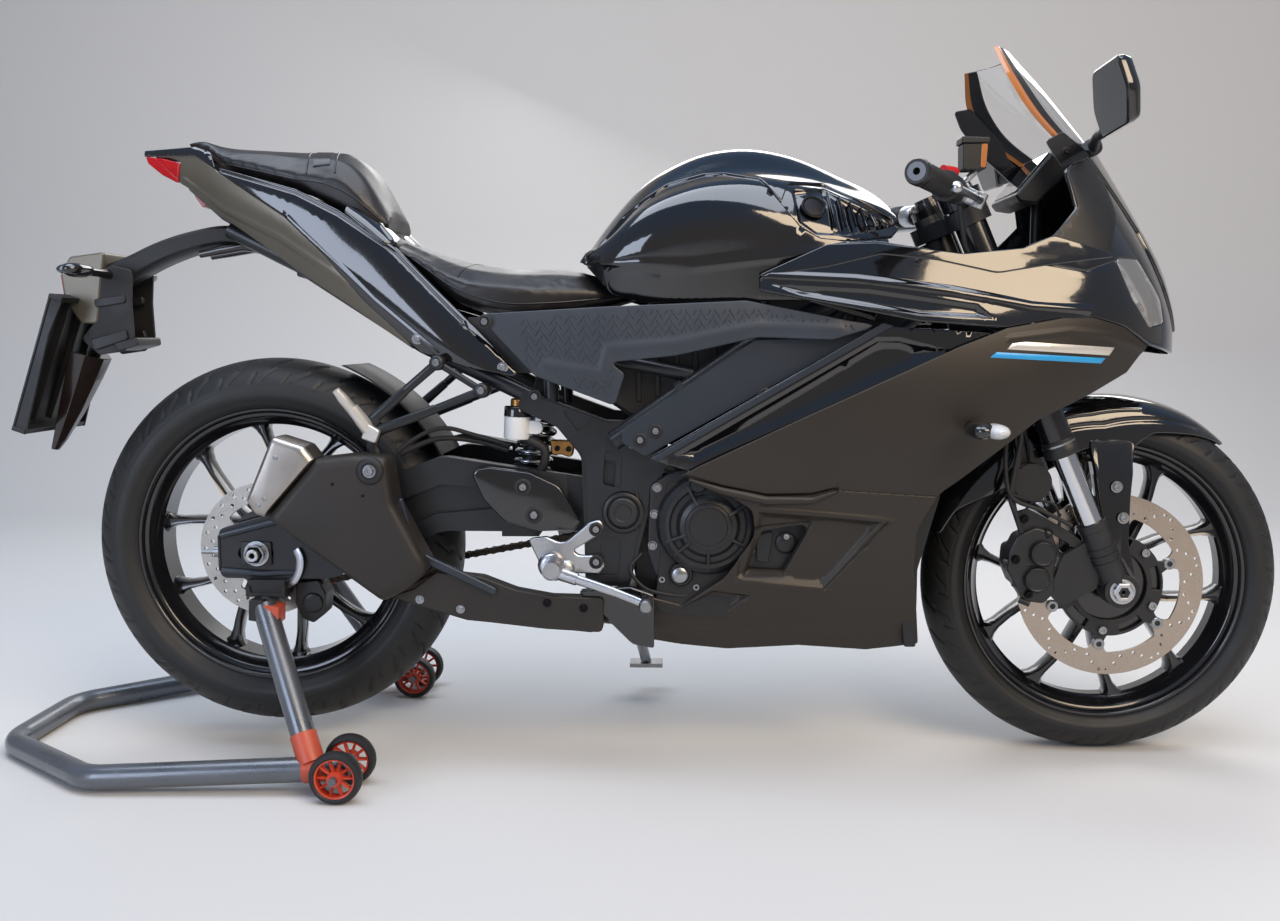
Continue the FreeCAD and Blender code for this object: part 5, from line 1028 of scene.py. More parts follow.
def tyre_shape(centre, radius, width, rim_width, pitches):
    """Tyre as a fine grid round its axle, with its tread slits pressed in."""
    shoulder, wall_y = radius - 0.30 * width, 0.48 * width
    drop = radius - shoulder
    crown = (wall_y**2 + drop**2) / (2 * drop)
    spread = math.atan2(wall_y, crown - drop)
    across = [(radius - crown + crown * math.cos(a), crown * math.sin(a), crown * a)
            for a in np.linspace(0, spread, 24)]
    wall = basis((0, 1, 2), np.linspace(0.12, 2, 12)) @ np.array(((shoulder, wall_y),
            ((shoulder + RIM_EDGE) / 2, width / 2),
            (RIM_EDGE, rim_width / 2)))
    ribs = {1: 0.9, 2: 0.9, 9: 1.1, 10: 1.1}
    side = [(r, y + ribs.get(i, 0.0), 1e3) for i, (r, y) in enumerate(wall)]
    half = across + side + [(RIM_EDGE - 1, rim_width / 2 - 5, 1e3), (BEAD, rim_width / 2 - 8, 1e3)]
    profile = [(r, -y, s) for r, y, s in reversed(half)] + half[1:]
    count = 600
    turn = np.linspace(0, 2 * math.pi, count, endpoint=False)
    pitch = 2 * math.pi * radius / pitches
    limit = crown * spread
    slits = ((0.20, 0.0, 0.55, 0.42), (0.60, 0.30, 0.93, 0.72), (0.72, 0.86, 0.97, 1.02))
    rings = []
    for r, y, s in profile:
        depth = np.zeros(count)
        if s < 1e3:
            along = (turn * radius + (0.5 * pitch if y < 0 else 0.0)) % pitch
            for s0, u0, s1, u1 in slits:
                a, b = np.array((u0 * pitch, s0 * limit)), np.array((u1 * pitch, s1 * limit))
                for shift in (-pitch, 0.0, pitch):
                    spots = np.stack([along + shift, np.full(count, s)], axis=1)
                    away = line_distance(spots, (a, b))
                    depth = np.maximum(depth, 3.6 * (1 - smooth_step((away - 1.0) / 1.8)))
        rr = r - depth
        rings.append([(centre[0] + rr[i] * math.cos(turn[i]), y, centre[1] + rr[i] * math.sin(turn[i]))
                for i in range(count)])
    return skin(rings, caps=False, round_trip=True)


def polar(centre, r, degrees):
    a = math.radians(degrees)
    return centre[0] + r * math.cos(a), centre[1] + r * math.sin(a)


def rim_shape(centre, half, turn, hub_profile):
    """Cast wheel: barrel with a stepped lip, hub, and five pairs of spokes with flared ends."""
    lip = [(RIM_EDGE, half - 5), (RIM_EDGE, half - 0.8), (RIM_EDGE - 1.5, half + 0.4),
            (RIM_EDGE - 4.5, half), (RIM_EDGE - 7, half - 2.2),
           (RIM_EDGE - 9, half - 6.5), (RIM_EDGE - 12.5, half - 7.5), (RIM_EDGE - 15, half - 9.5),
           (RIM_EDGE - 18, half - 16),
           (RIM_EDGE - 25, half - 27), (RIM_EDGE - 29, half - 31)]
    inside = lip + [(r, -y) for r, y in reversed(lip)]
    tyre_side = [(BEAD + 1, -half + 8), (BEAD - 1, -half + 12), (RIM_EDGE - 22, 0), (BEAD - 1, half - 12),
            (BEAD + 1, half - 8)]
    shapes = [wheel_turned(inside + tyre_side, centre, 120, closed=True),
            wheel_turned(hub_profile, centre, 48)]
    steps = ((30, 0.13, 24, 12.5), (48, 0.20, 23, 11.0), (80, 0.37, 21.5, 8.4), (120, 0.58, 20, 7.0),
            (160, 0.80, 18, 6.8),
             (182, 0.91, 17, 7.6), (194, 0.97, 16, 11.0), (201, 1.0, 16, 17.0), (206, 1.0, 16, 24.0))
    corners = ((1, 0.62), (0.62, 1), (0.2, 0.9), (-0.2, 0.9), (-0.62, 1), (-1, 0.62), (-1, -0.62),
            (-0.62, -1), (-0.2, -0.9),
               (0.2, -0.9), (0.62, -1), (1, -0.62))
    for i in range(5):
        for way in (-1, 1):
            rings = []
            for r, lean, half_y, half_w in steps:
                x, z = polar(centre, r, turn + 72.0 * i + way * 20.0 * lean)
                a = math.atan2(z - centre[1], x - centre[0])
                rings.append([(x - math.sin(a) * u * half_w, v * half_y, z + math.cos(a) * u * half_w)
                        for u, v in corners])
            shapes.append(skin(rings))
    return joined(shapes)


def lobed(centre, r, reach, angles, half_angle, count=180):
    """Circle whose radius changes by reach near the angles given."""
    out = []
    for i in range(count):
        a = 360.0 * i / count
        near = min(abs((a - b + 180) % 360 - 180) for b in angles)
        out.append(polar(centre, r + reach * float(smooth_step(1.35 - near / half_angle)), a))
    return out


def front_wheel_pieces(look):
    centre = FRONT_AXLE
    piece("front_tyre_skin", tyre_shape(centre, 291.0, 110.0, 84.0, 30), MAT["tyre"], "front_wheel",
            ["front_tyre"], smooth=30)
    hub = [(0, -64), (26, -64), (30, -60), (34, -46), (36, -20), (36, 20), (34, 46), (30, 60), (26, 64),
            (0, 64)]
    flange = [(10.3, -65.5), (84, -65.5), (84, -60), (60, -56), (36, -46), (10.3, -46)]
    rim = joined([rim_shape(centre, 42.0, 44.0, hub), wheel_turned(flange, centre, 60, closed=True)])
    piece("front_rim_skin", rim, MAT["wheel"], "front_wheel", ["front_rim"], smooth=32)
    buttons = [21 - 60 * k for k in range(6)]
    screws = [45.5 - 72 * k for k in range(5)]
    outer = circle(*centre, 149, 144)
    drilled = []
    for k in range(20):
        for row, r in enumerate((141.5, 131.0, 120.5)):
            drilled.append(circle(*polar(centre, r, 18.0 * k + (5.2 * row if k % 2 else 13 - 5.2 * row)),
                    2.7, 10))
    inner = lobed(centre, 113, -20, buttons, 6.5)
    ring = plate(outer, [inner] + drilled, -70.5, -66.0)
    piece("front_disc_ring", ring, MAT["front_disc"], "front_wheel", ["front_disc"], smooth=30)
    arms = lobed(centre, 84, 23, buttons, 5.0)
    windows = [np.array([polar(centre, r, s + 36 + a) for r, a in [(66, k) for k in range(-15, 16, 3)]
            + [(80, k) for k in range(15, -16, -3)]])
               for s in screws]
    carrier = plate(arms, [circle(*centre, 58, 48)] + windows, -74.0, -66.5)
    piece("front_disc_carrier", carrier, MAT["cast"], "front_wheel", bevel=0.8, smooth=30)
    spots = [((*polar(centre, 99, a)[:1], -74.0, polar(centre, 99, a)[1]), (0, -1, 0)) for a in buttons]
    repeated("front_disc_buttons", lathe_unit([(0, -9), (9.2, -9), (9.2, 0.6), (8.4, 1.4), (4.6, 1.4),
            (4.0, -1.2), (0, -1.2)], 22), spots,
             MAT["bolt"], "front_wheel")
    spots = [((*polar(centre, 75, a)[:1], -74.0, polar(centre, 75, a)[1]), (0, -1, 0)) for a in screws]
    repeated("front_disc_screws", bolt_unit(7.4, 5.0, 0.0), spots, MAT["bolt"], "front_wheel")


def rear_wheel_pieces(look):
    centre = REAR_AXLE
    piece("rear_tyre_skin", tyre_shape(centre, 312.0, 140.0, 112.0, 32), MAT["tyre"], "rear_wheel",
            ["rear_tyre"], smooth=30)
    hub = [(0, -62), (34, -62), (38, -56), (40, -30), (40, 20), (44, 38), (62, 50), (62, 88), (0, 88)]
    flange = [(10.3, -83.5), (66, -83.5), (66, -77), (44, -70), (36, -60), (10.3, -60)]
    rim = joined([rim_shape(centre, 56.0, 7.5, hub), wheel_turned(flange, centre, 60, closed=True)])
    piece("rear_rim_skin", rim, MAT["wheel"], "rear_wheel", ["rear_rim"], smooth=32)
    outer = circle(*centre, 110, 120)
    drilled = []
    for k in range(24):
        for row, r in enumerate((101.0, 90.0)):
            drilled.append(circle(*polar(centre, r, 15.0 * k + 7.5 * row), 3.1, 10))
    lugs = [7.5 + 72 * k for k in range(5)]
    ring = plate(outer, [lobed(centre, 79, -29, lugs, 9.0)] + drilled, -88.5, -84.0)
    piece("rear_disc_ring", ring, MAT["rear_disc"], "rear_wheel", ["rear_disc"], smooth=30)
    spots = [((*polar(centre, 58, a)[:1], -88.5, polar(centre, 58, a)[1]), (0, -1, 0)) for a in lugs]
    repeated("rear_disc_screws", bolt_unit(7.0, 5.0, 0.0), spots, MAT["bolt"], "rear_wheel")


# Front end
def fork_pieces(look):
    along = Vector((-math.sin(RAKE), 0, math.cos(RAKE)))
    tubes, collars, clips, rods, ribs, nuts = [], [], [], [], [], []
    for s in (-1, 1):
        foot = on_fork(0, 0, s * FORK_Y)
        tubes.append(turned([(19, 240), (24.5, 240), (24.5, 683), (23.5, 690), (20, 691), (19.5, 697),
                (9, 697), (8, 692), (0, 692)], foot, along, 40))
        collars.append(turned([(18.6, 236), (27, 236), (28, 239), (28, 250), (26.5, 253), (26.5, 262),
                (24.6, 264), (18.6, 264)], foot, along, 40, closed=True))
        clips.append(turned([(26.4, 254.5), (27.3, 254.5), (27.3, 257.5), (26.4, 257.5)], foot, along, 40,
                closed=True))
        rods.append(turned([(18.5, 80), (18.5, 300)], foot, along, 40))
        for z in (48, 60, 72):
            ribs.append(turned([(21.5, z), (24.2, z + 1), (24.2, z + 4), (21.5, z + 5)], foot, along, 36,
                    closed=True))
        ribs.append(turned([(21.0, 104), (23.6, 106), (23.6, 117), (21.0, 118.5)], foot, along, 36,
                closed=True))
        spot = (FRONT_AXLE[0], s * 123.0, FRONT_AXLE[1])
        nuts.append(turned([(17.0, 0), (17.0, 8.5), (15.0, 10), (9.5, 10), (8.6, 6), (4.2, 6), (4.2, 0)],
                spot, (0, s, 0), 6, closed=True))
        nuts.append(turned([(20.0, -0.5), (20.0, 2.0), (17.0, 2.4), (12.0, 2.4), (12.0, -0.5)], spot,
                (0, s, 0), 28, closed=True))
    piece("fork_outer_skins", joined(tubes), MAT["fork_black"], FRONT_END, ["fork_tubes"])
    piece("fork_collars", joined(collars), MAT["cast"], FRONT_END, bevel=0.4)
    piece("fork_clips", joined(clips), MAT["bolt"], FRONT_END)
    piece("fork_stanchion_skins", joined(rods), MAT["chrome"], FRONT_END, ["fork_sliders"])
    piece("fork_leg_ribs", joined(ribs), MAT["cast"], FRONT_END)
    piece("front_axle_nuts", joined(nuts), MAT["alloy"], FRONT_END, bevel=0.5)


def unroll(points):
    """Side-view points to distance round the front axle and radius."""
    return tuple((300.0 * math.atan2(p[1] - FRONT_AXLE[1], p[0] - FRONT_AXLE[0]),
            math.hypot(p[0] - FRONT_AXLE[0], p[1] - FRONT_AXLE[1]))
                 + tuple(p[2:]) for p in points)


def fender_pieces(look):
    def section(degrees, top, wide):
        share = ((0, 0), (2.5, 0.36), (9, 0.66), (21, 0.88), (42, 1.0), (80, 1.05), (140, 1.06))
        return 300.0 * math.radians(degrees), tuple((top - down, wide * w) for down, w in share)
    surface = Surface([section(*row) for row in ((40, 300, 18), (53, 303, 34), (64, 306, 56), (80, 308, 68),
            (110, 309, 70), (140, 308, 70),
                                                 (175, 306, 68))], sections=True)
    edge = ((1583, 512, 4), (1500, 585), (1440, 640), (1380, 660), (1250, 640), (1130, 560), (1060, 440),
            (1058, 372, 6), (1106, 373, 10),
            (1129, 411, 30), (1185, 438, 30), (1262, 468, 40), (1300, 498, 20), (1336, 514, 10),
            (1407, 514, 10), (1440, 538, 30), (1490, 536, 30))
    features = [("ridge", unroll(((1296, 563), (1340, 570), (1420, 575))), 3.2, 5.0),
                ("ridge", unroll(((1300, 545), (1360, 552), (1430, 560), (1520, 546))), -2.2, 7.0)]
    shape = shell(surface, unroll(edge), features=features, grid=7.0, roll=1.8, wall=2.6)
    points, leans = [], []
    for (u, y, v), (along, side, out) in zip(shape[0], shape[2]):
        a = u / 300.0
        points.append((FRONT_AXLE[0] + v * math.cos(a), y, FRONT_AXLE[1] + v * math.sin(a)))
        lean = Vector((-along * math.sin(a) * 300 / v + out * math.cos(a), side,
                along * math.cos(a) * 300 / v + out * math.sin(a)))
        leans.append(tuple(lean.normalized()))
    piece("front_fender_skin", (points, shape[1], leans), MAT["gloss"], FRONT_END,
            ["front_fender"], smooth=40)
    arm = ((1334, 530, 8), (1412, 530, 14), (1402, 490, 60), (1398, 434, 60), (1396, 362, 40),
            (1410, 300, 4), (1402, 298, 3), (1374, 352, 40),
           (1352, 404, 40), (1340, 470, 30))
    inner = rounded(arm, 6.0)
    middle = np.array((1378, 440))
    rings = []
    for y, grow in ((-76, 1.0), (-91, 1.0), (-95.5, 0.93), (-96.5, 0.80)):
        rings.append([(x, y - 8 * float(smooth_step((470 - z) / 160)) + 20
                * float(smooth_step((z - 470) / 56)), z) for x, z in (inner - middle) * (grow,
                0.5 + 0.5 * grow) + middle])
    piece("front_fender_arms", both(skin(rings)), MAT["gloss"], FRONT_END, smooth=30)
    spots = [((x, s * y, z), (0, s, 0)) for s in (-1, 1) for x, y, z in ((1374, 97.5, 455),
            (1384, 104.0, 406))]
    repeated("front_fender_bolts", bolt_unit(6.6, 5.0, 9.2), spots, MAT["bolt"], FRONT_END)


def caliper_pieces(look):
    body = slab([(1204, 352, 12), (1216, 378, 12), (1246, 392, 14), (1270, 384, 12), (1282, 352, 12),
            (1276, 322, 14), (1278, 286, 12), (1262, 268, 12),
                 (1232, 272, 12), (1216, 296, 14), (1202, 322, 12)], -112, -76)
    bridge = slab([(1206, 356, 10), (1232, 368, 10), (1240, 330, 10), (1236, 284, 10), (1216, 296, 10),
            (1204, 324, 10)], -76, -52)
    piece("front_caliper_body", joined([body, bridge]), MAT["cast"], FRONT_END,
            ["front_caliper"], bevel=3.0)
    bores = [turned([(0, -4), (20.5, -4), (20.5, 8), (18.5, 11.5), (17.0, 11.5), (16.4, 10), (0, 10)],
            (x, -110, z), (0, -1, 0), 36)
             for x, z in ((1256, 350), (1248, 308))]
    bores += [tube([(1196 + k, -104, 336 - 9 * k / 4), (1240, -108, 330 - 9 * k / 4)], 5.2, 12)
            for k in (0, 16, 28)]
    bores.append(turned([(0, 0), (7, 0), (7, 14), (4, 16), (0, 16)], (1262, -104, 374), (0.3, -0.5, 0.8),
            16))
    piece("front_caliper_bores", joined(bores), MAT["engine"], FRONT_END, bevel=0.6, smooth=50)
    brace = plate(((1214, 414, 8), (1236, 420, 8), (1300, 384, 20), (1366, 334, 8), (1368, 300, 8),
            (1320, 292, 10), (1262, 302, 8), (1236, 330, 10), (1226, 380, 10)),
                  [rounded(((1250, 392, 6), (1298, 366, 10), (1340, 332, 6), (1330, 318, 6),
                      (1286, 322, 10), (1264, 344, 6)), 5.0)], -103, -93)
    piece("front_caliper_brace", brace, MAT["cast"], FRONT_END, bevel=1.6)
    spots = [((1228, -103.5, 404), (0, -1, 0)), ((1340, -103.5, 336), (0, -1, 0)),
            ((1214, -112.5, 340), (0, -1, 0)), ((1236, -112.5, 284), (0, -1, 0))]
    repeated("front_caliper_bolts", bolt_unit(5.4, 5.0, 7.5), spots, MAT["dark_bolt"], FRONT_END)


def horn_pieces(look):
    centre = (1240, -76, 462)
    profile = [(0, -14), (24, -14), (29, -8), (30.5, 6), (30.5, 15), (29.0, 17), (27.0, 17), (26.2, 15.4),
            (23.0, 15.2), (0, 15.8)]
    horn = turned(profile, centre, (0, -1, 0), 48)
    stem = tube([(1240, -66, 462), (1240, -60, 480), (1222, -74, 560)], 4.0, 10)
    piece("horn_skin", horn, MAT["trim"], FRONT_END, smooth=30)
    loops = [tube(curve_points(p, 7.0), r, 10) for p, r in (
        (((1196, -120, 560), (1190, -124, 500), (1204, -122, 440), (1250, -118, 420), (1300, -114, 395)),
            3.4),
        (((1206, -118, 556), (1216, -112, 510), (1206, -116, 450), (1214, -118, 400)), 2.6),
        (((1240, -76, 492), (1236, -84, 520), (1222, -90, 560), (1210, -86, 640)), 2.4),
        (((1290, -96, 362), (1270, -104, 430), (1240, -100, 430), (1226, -100, 404)), 2.2))]
    piece("front_sensor_leads", joined([stem] + loops), MAT["rubber"], FRONT_END, smooth=60)


# Seats
RIDER_SEAT = ((206, 840, 845, 850, 90, 58), (232, 824, 832, 842, 104, 72), (260, 808, 818, 832, 112, 80),
        (330, 752, 780, 811, 131, 94),
              (420, 728, 766, 799, 136, 96), (500, 734, 766, 798, 119, 82), (540, 742, 766, 788, 103, 74),
              (575, 750, 764, 777, 86, 62),
              (610, 759, 764, 769, 70, 48))
PASSENGER_SEAT = ((-132, 1000, 1003, 1010, 32, 22), (-110, 999, 1003, 1009, 42, 30),
        (-60, 968, 980, 1000, 63, 44), (0, 950, 966, 995, 79, 56),
                  (60, 934, 952, 991, 90, 64), (110, 912, 944, 990, 96, 70), (140, 896, 938, 987, 98, 72),
                  (180, 872, 905, 951, 96, 76),
                  (212, 860, 870, 885, 86, 68))


def cushion(name, rows, swell, pressure=4.0):
    """Stuffed seat: a crowned loft blown up as cloth under its cover, with no cloth left on it."""
    table = np.array(rows, float)
    x = np.linspace(table[0, 0], table[-1, 0], 60)
    low, edge, top, wide, crown = (basis(table[:, 0], x) @ table[:, 1:]).T
    rings = []
    for i in range(len(x)):
        half = [(0, top[i]), (crown[i] * 0.5, top[i] - 1.5), (crown[i], (edge[i] + top[i]) / 2 + 5),
                (wide[i] * 0.95, edge[i] + 5), (wide[i], edge[i] - 1),
                (wide[i] - 4, low[i] + 3), (wide[i] - 11, low[i]), (0, low[i])]
        ring = [(y, z) for y, z in half] + [(-y, z) for y, z in reversed(half[1:-1])]
        rings.append([(x[i], y, z) for y, z in ring])
    obj = piece(name, skin(rings), MAT["vinyl"], smooth=60)
    mesh_step = obj.modifiers.new("Even mesh", "REMESH")
    mesh_step.mode = "VOXEL"
    mesh_step.voxel_size = 0.006
    bake(obj)
    start = points_of(obj)
    cloth = obj.modifiers.new("Stuffing", "CLOTH")
    cloth.settings.use_pressure = True
    cloth.settings.uniform_pressure_force = pressure
    cloth.settings.effector_weights.gravity = 0.0
    for n in range(1, 21):
        bpy.context.scene.frame_set(n)
    bake(obj)
    moved_by = points_of(obj) - start
    length = np.linalg.norm(moved_by, axis=1, keepdims=True)
    capped = start + moved_by * np.minimum(1.0, swell * MM / np.maximum(length, 1e-9))
    obj.data.vertices.foreach_set("co", capped.ravel())
    obj.data.update()
    bpy.context.scene.frame_set(1)
    finer = obj.modifiers.new("Finer", "SUBSURF")
    finer.levels = finer.render_levels = 1
    bake(obj)
    obj.data.shade_smooth()
    return obj


def points_of(obj):
    flat = np.empty(len(obj.data.vertices) * 3)
    obj.data.vertices.foreach_get("co", flat)
    return flat.reshape(-1, 3)


def bake(obj):
    """Puts the result of the modifiers into the mesh and takes them off."""
    graph = bpy.context.evaluated_depsgraph_get()
    mesh = bpy.data.meshes.new_from_object(obj.evaluated_get(graph))
    if len(mesh.vertices) == 0:
        raise RuntimeError(f"{obj.name} came out empty")
    obj.modifiers.clear()
    obj.data = mesh


def on_pad(obj, points, aim):
    """Where lines from the points along aim meet a pad, in millimetres."""
    tree = BVHTree.FromPolygons([v.co for v in obj.data.vertices], [p.vertices for p in obj.data.polygons])
    out = []
    for p in points:
        hit = tree.ray_cast(Vector(place(*p)), Vector(aim))[0]
        if hit is not None:
            out.append((hit.x / MM + AHEAD, hit.y / MM, hit.z / MM))
    return out


def seat_pieces(look):
    rider = cushion("rider_seat_pad", RIDER_SEAT, 5.0)
    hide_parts("rider_seat")
    passenger = cushion("passenger_seat_pad", PASSENGER_SEAT, 4.0)
    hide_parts("passenger_seat")
    seams = []
    for s in (-1, 1):
        line = [(x, s * 300, z) for x, z in ((214, 842), (260, 813), (330, 768), (400, 746), (470, 746),
                (540, 752), (590, 758))]
        seams.append(tube(curve_points(on_pad(rider, [tuple(p) for p in curve_points(line, 12.0)],
                (0, -s, 0)), 6.0), 1.5, 8))
    across = [(x, y, 1100) for x, y in ((330, -118), (344, -60), (350, 0), (344, 60), (330, 118))]
    seams.append(tube(curve_points(on_pad(rider, [tuple(p) for p in curve_points(across, 8.0)], (0, 0, -1)),
            6.0), 1.2, 8))
    piece("rider_seat_seams", joined(seams), MAT["vinyl_top"], smooth=60)
    straps = []
    for x in (72, 118):
        over = [(x + 0.14 * abs(y), y, 1100) for y in np.linspace(-86, 86, 40)]
        straps.append(tube(curve_points(on_pad(passenger, over, (0, 0, -1)), 6.0), 1.6, 8))
    for s in (-1, 1):
        line = [(x, s * 300, z) for x, z in ((-124, 1004), (-60, 974), (0, 959), (60, 945), (120, 934),
                (160, 914), (200, 880))]
        straps.append(tube(curve_points(on_pad(passenger, [tuple(p) for p in curve_points(line, 10.0)],
                (0, -s, 0)), 6.0), 1.5, 8))
    piece("passenger_seat_seams", joined(straps), MAT["vinyl_top"], smooth=60)
    band = []
    for y in np.linspace(-78, 78, 40):
        band.append(on_pad(passenger, [(82 + 0.14 * abs(y), y, 1100), (109 + 0.14 * abs(y), y, 1100)],
                (0, 0, -1)))
    rows = [[tuple(np.array(p) + (0, 0, 1.2)) for p in pair]
            + [tuple(np.array(p) - (0, 0, 3)) for p in reversed(pair)] for pair in band if len(pair) == 2]
    piece("passenger_seat_strap", skin(rows), MAT["vinyl_top"], smooth=50)


# Tail
TAIL = Surface([(x, ((top + 12, 0), (top, wide * 0.9), ((top + low) / 2 + 12, wide + 2), (low, narrow),
        (low - 30, narrow - 16)))
                for x, top, low, wide, narrow in ((-210, 1002, 940, 20, 16), (-150, 1001, 922, 38, 28),
                    (-110, 998, 905, 52, 40), (-60, 978, 868, 72, 54),
                                                  (60, 936, 800, 104, 82), (180, 872, 722, 122, 108),
                                        (300, 764, 640, 140, 132),
                                                  (440, 640, 570, 151, 148))], sections=True)


def tail_pieces(look):
    crease = ((-64, 958), (53, 884), (120, 820), (180, 750), (250, 688))
    upper = ((-62, 964), (70, 927), (139, 894, 20), (232, 833), (342, 725), (428, 637), (418, 633),
            (350, 645), (274, 668)) + tuple(reversed(crease))
    lower = ((-170, 990), (-110, 990), (-70, 962)) + tuple((x + 1, z - 1.5)
            for x, z in crease) + ((258, 674), (163, 736), (63, 800), (15, 835), (-43, 873), (-74, 890),
            (-127, 936),
            (-142, 945), (-136, 977), (-150, 984))
    gloss = shell(TAIL, upper, grid=8.0, roll=1.8, wall=3.5, lift=1.0,
                  features=[("ridge", ((-58, 958), (70, 920), (139, 886), (232, 825), (338, 718)), -2.4,
                      3.2),
                            ("ridge", ((60, 880), (130, 815), (200, 748), (300, 668)), 1.6, 8.0)])
    piece("tail_upper_panels", gloss, MAT["gloss"], replaces=["tail_cowl"], smooth=40)
    wedge = shell(TAIL, lower, grid=8.0, roll=1.8, wall=3.5, lift=0.0,
                  features=[("ridge", ((-128, 948), (-60, 900), (40, 852), (150, 780)), 1.8, 10.0)])
    piece("tail_lower_panels", wedge, MAT["tail_satin"], smooth=40)
    tip = ((-205, 999), (-110, 1001), (-80, 990), (-70, 965), (-108, 986), (-170, 989), (-205, 990))
    piece("tail_tip", shell(TAIL, tip, grid=8.0, roll=1.5, wall=3.0, lift=1.4), MAT["gloss"],
            smooth=40)
    lens = shell(TAIL, ((-203, 990, 3), (-170, 985, 3), (-137, 976, 3), (-144, 944, 3), (-172, 958),
            (-198, 978, 6)), grid=6.0, roll=2.2, wall=3.0, lift=1.0,
                 features=[("ridge", ((-190, 983), (-152, 962)), -0.8, 2.4),
                     ("ridge", ((-182, 986), (-146, 954)), -0.8, 2.4)])
    piece("tail_lens", lens, MAT["red_lens"], replaces=["tail_light"], smooth=40)
    under = skin([[(x, y, z) for y, z in ((-w, z0), (0, z0 - 6), (w, z0), (w, z0 + 4), (0, z0 + 1),
            (-w, z0 + 4))]
                  for x, z0, w in ((-128, 934, 34), (-68, 884, 50), (31, 844, 74), (183, 745, 106),
                      (262, 678, 126))])
    piece("tail_underside", under, MAT["trim"])
    corner = shell(TAIL, ((150, 900, 6), (226, 866, 14), (236, 838, 6), (214, 838), (150, 888, 4)),
            grid=7.0, roll=2.5, wall=3.5, lift=3.0,
                   features=[("ridge", ((180, 890), (222, 846)), 3.5, 6.0)])
    piece("tail_grab_corners", corner, MAT["gloss"], smooth=30)
    reflector = slab([(-122, 926, 2), (-115, 930, 2), (-102, 910, 2), (-108, 906, 2)], -30, 30)
    piece("tail_reflector", reflector, MAT["red_lens"], bevel=0.8)
    spots = [((x, s * y, z), (0.0, s, -0.1)) for s in (-1, 1)
            for x, z, y in ((268, 690, 137), (404, 646, 151))]
    repeated("tail_screws", bolt_unit(5.5, 3.5, 8.5), spots, MAT["bolt"])


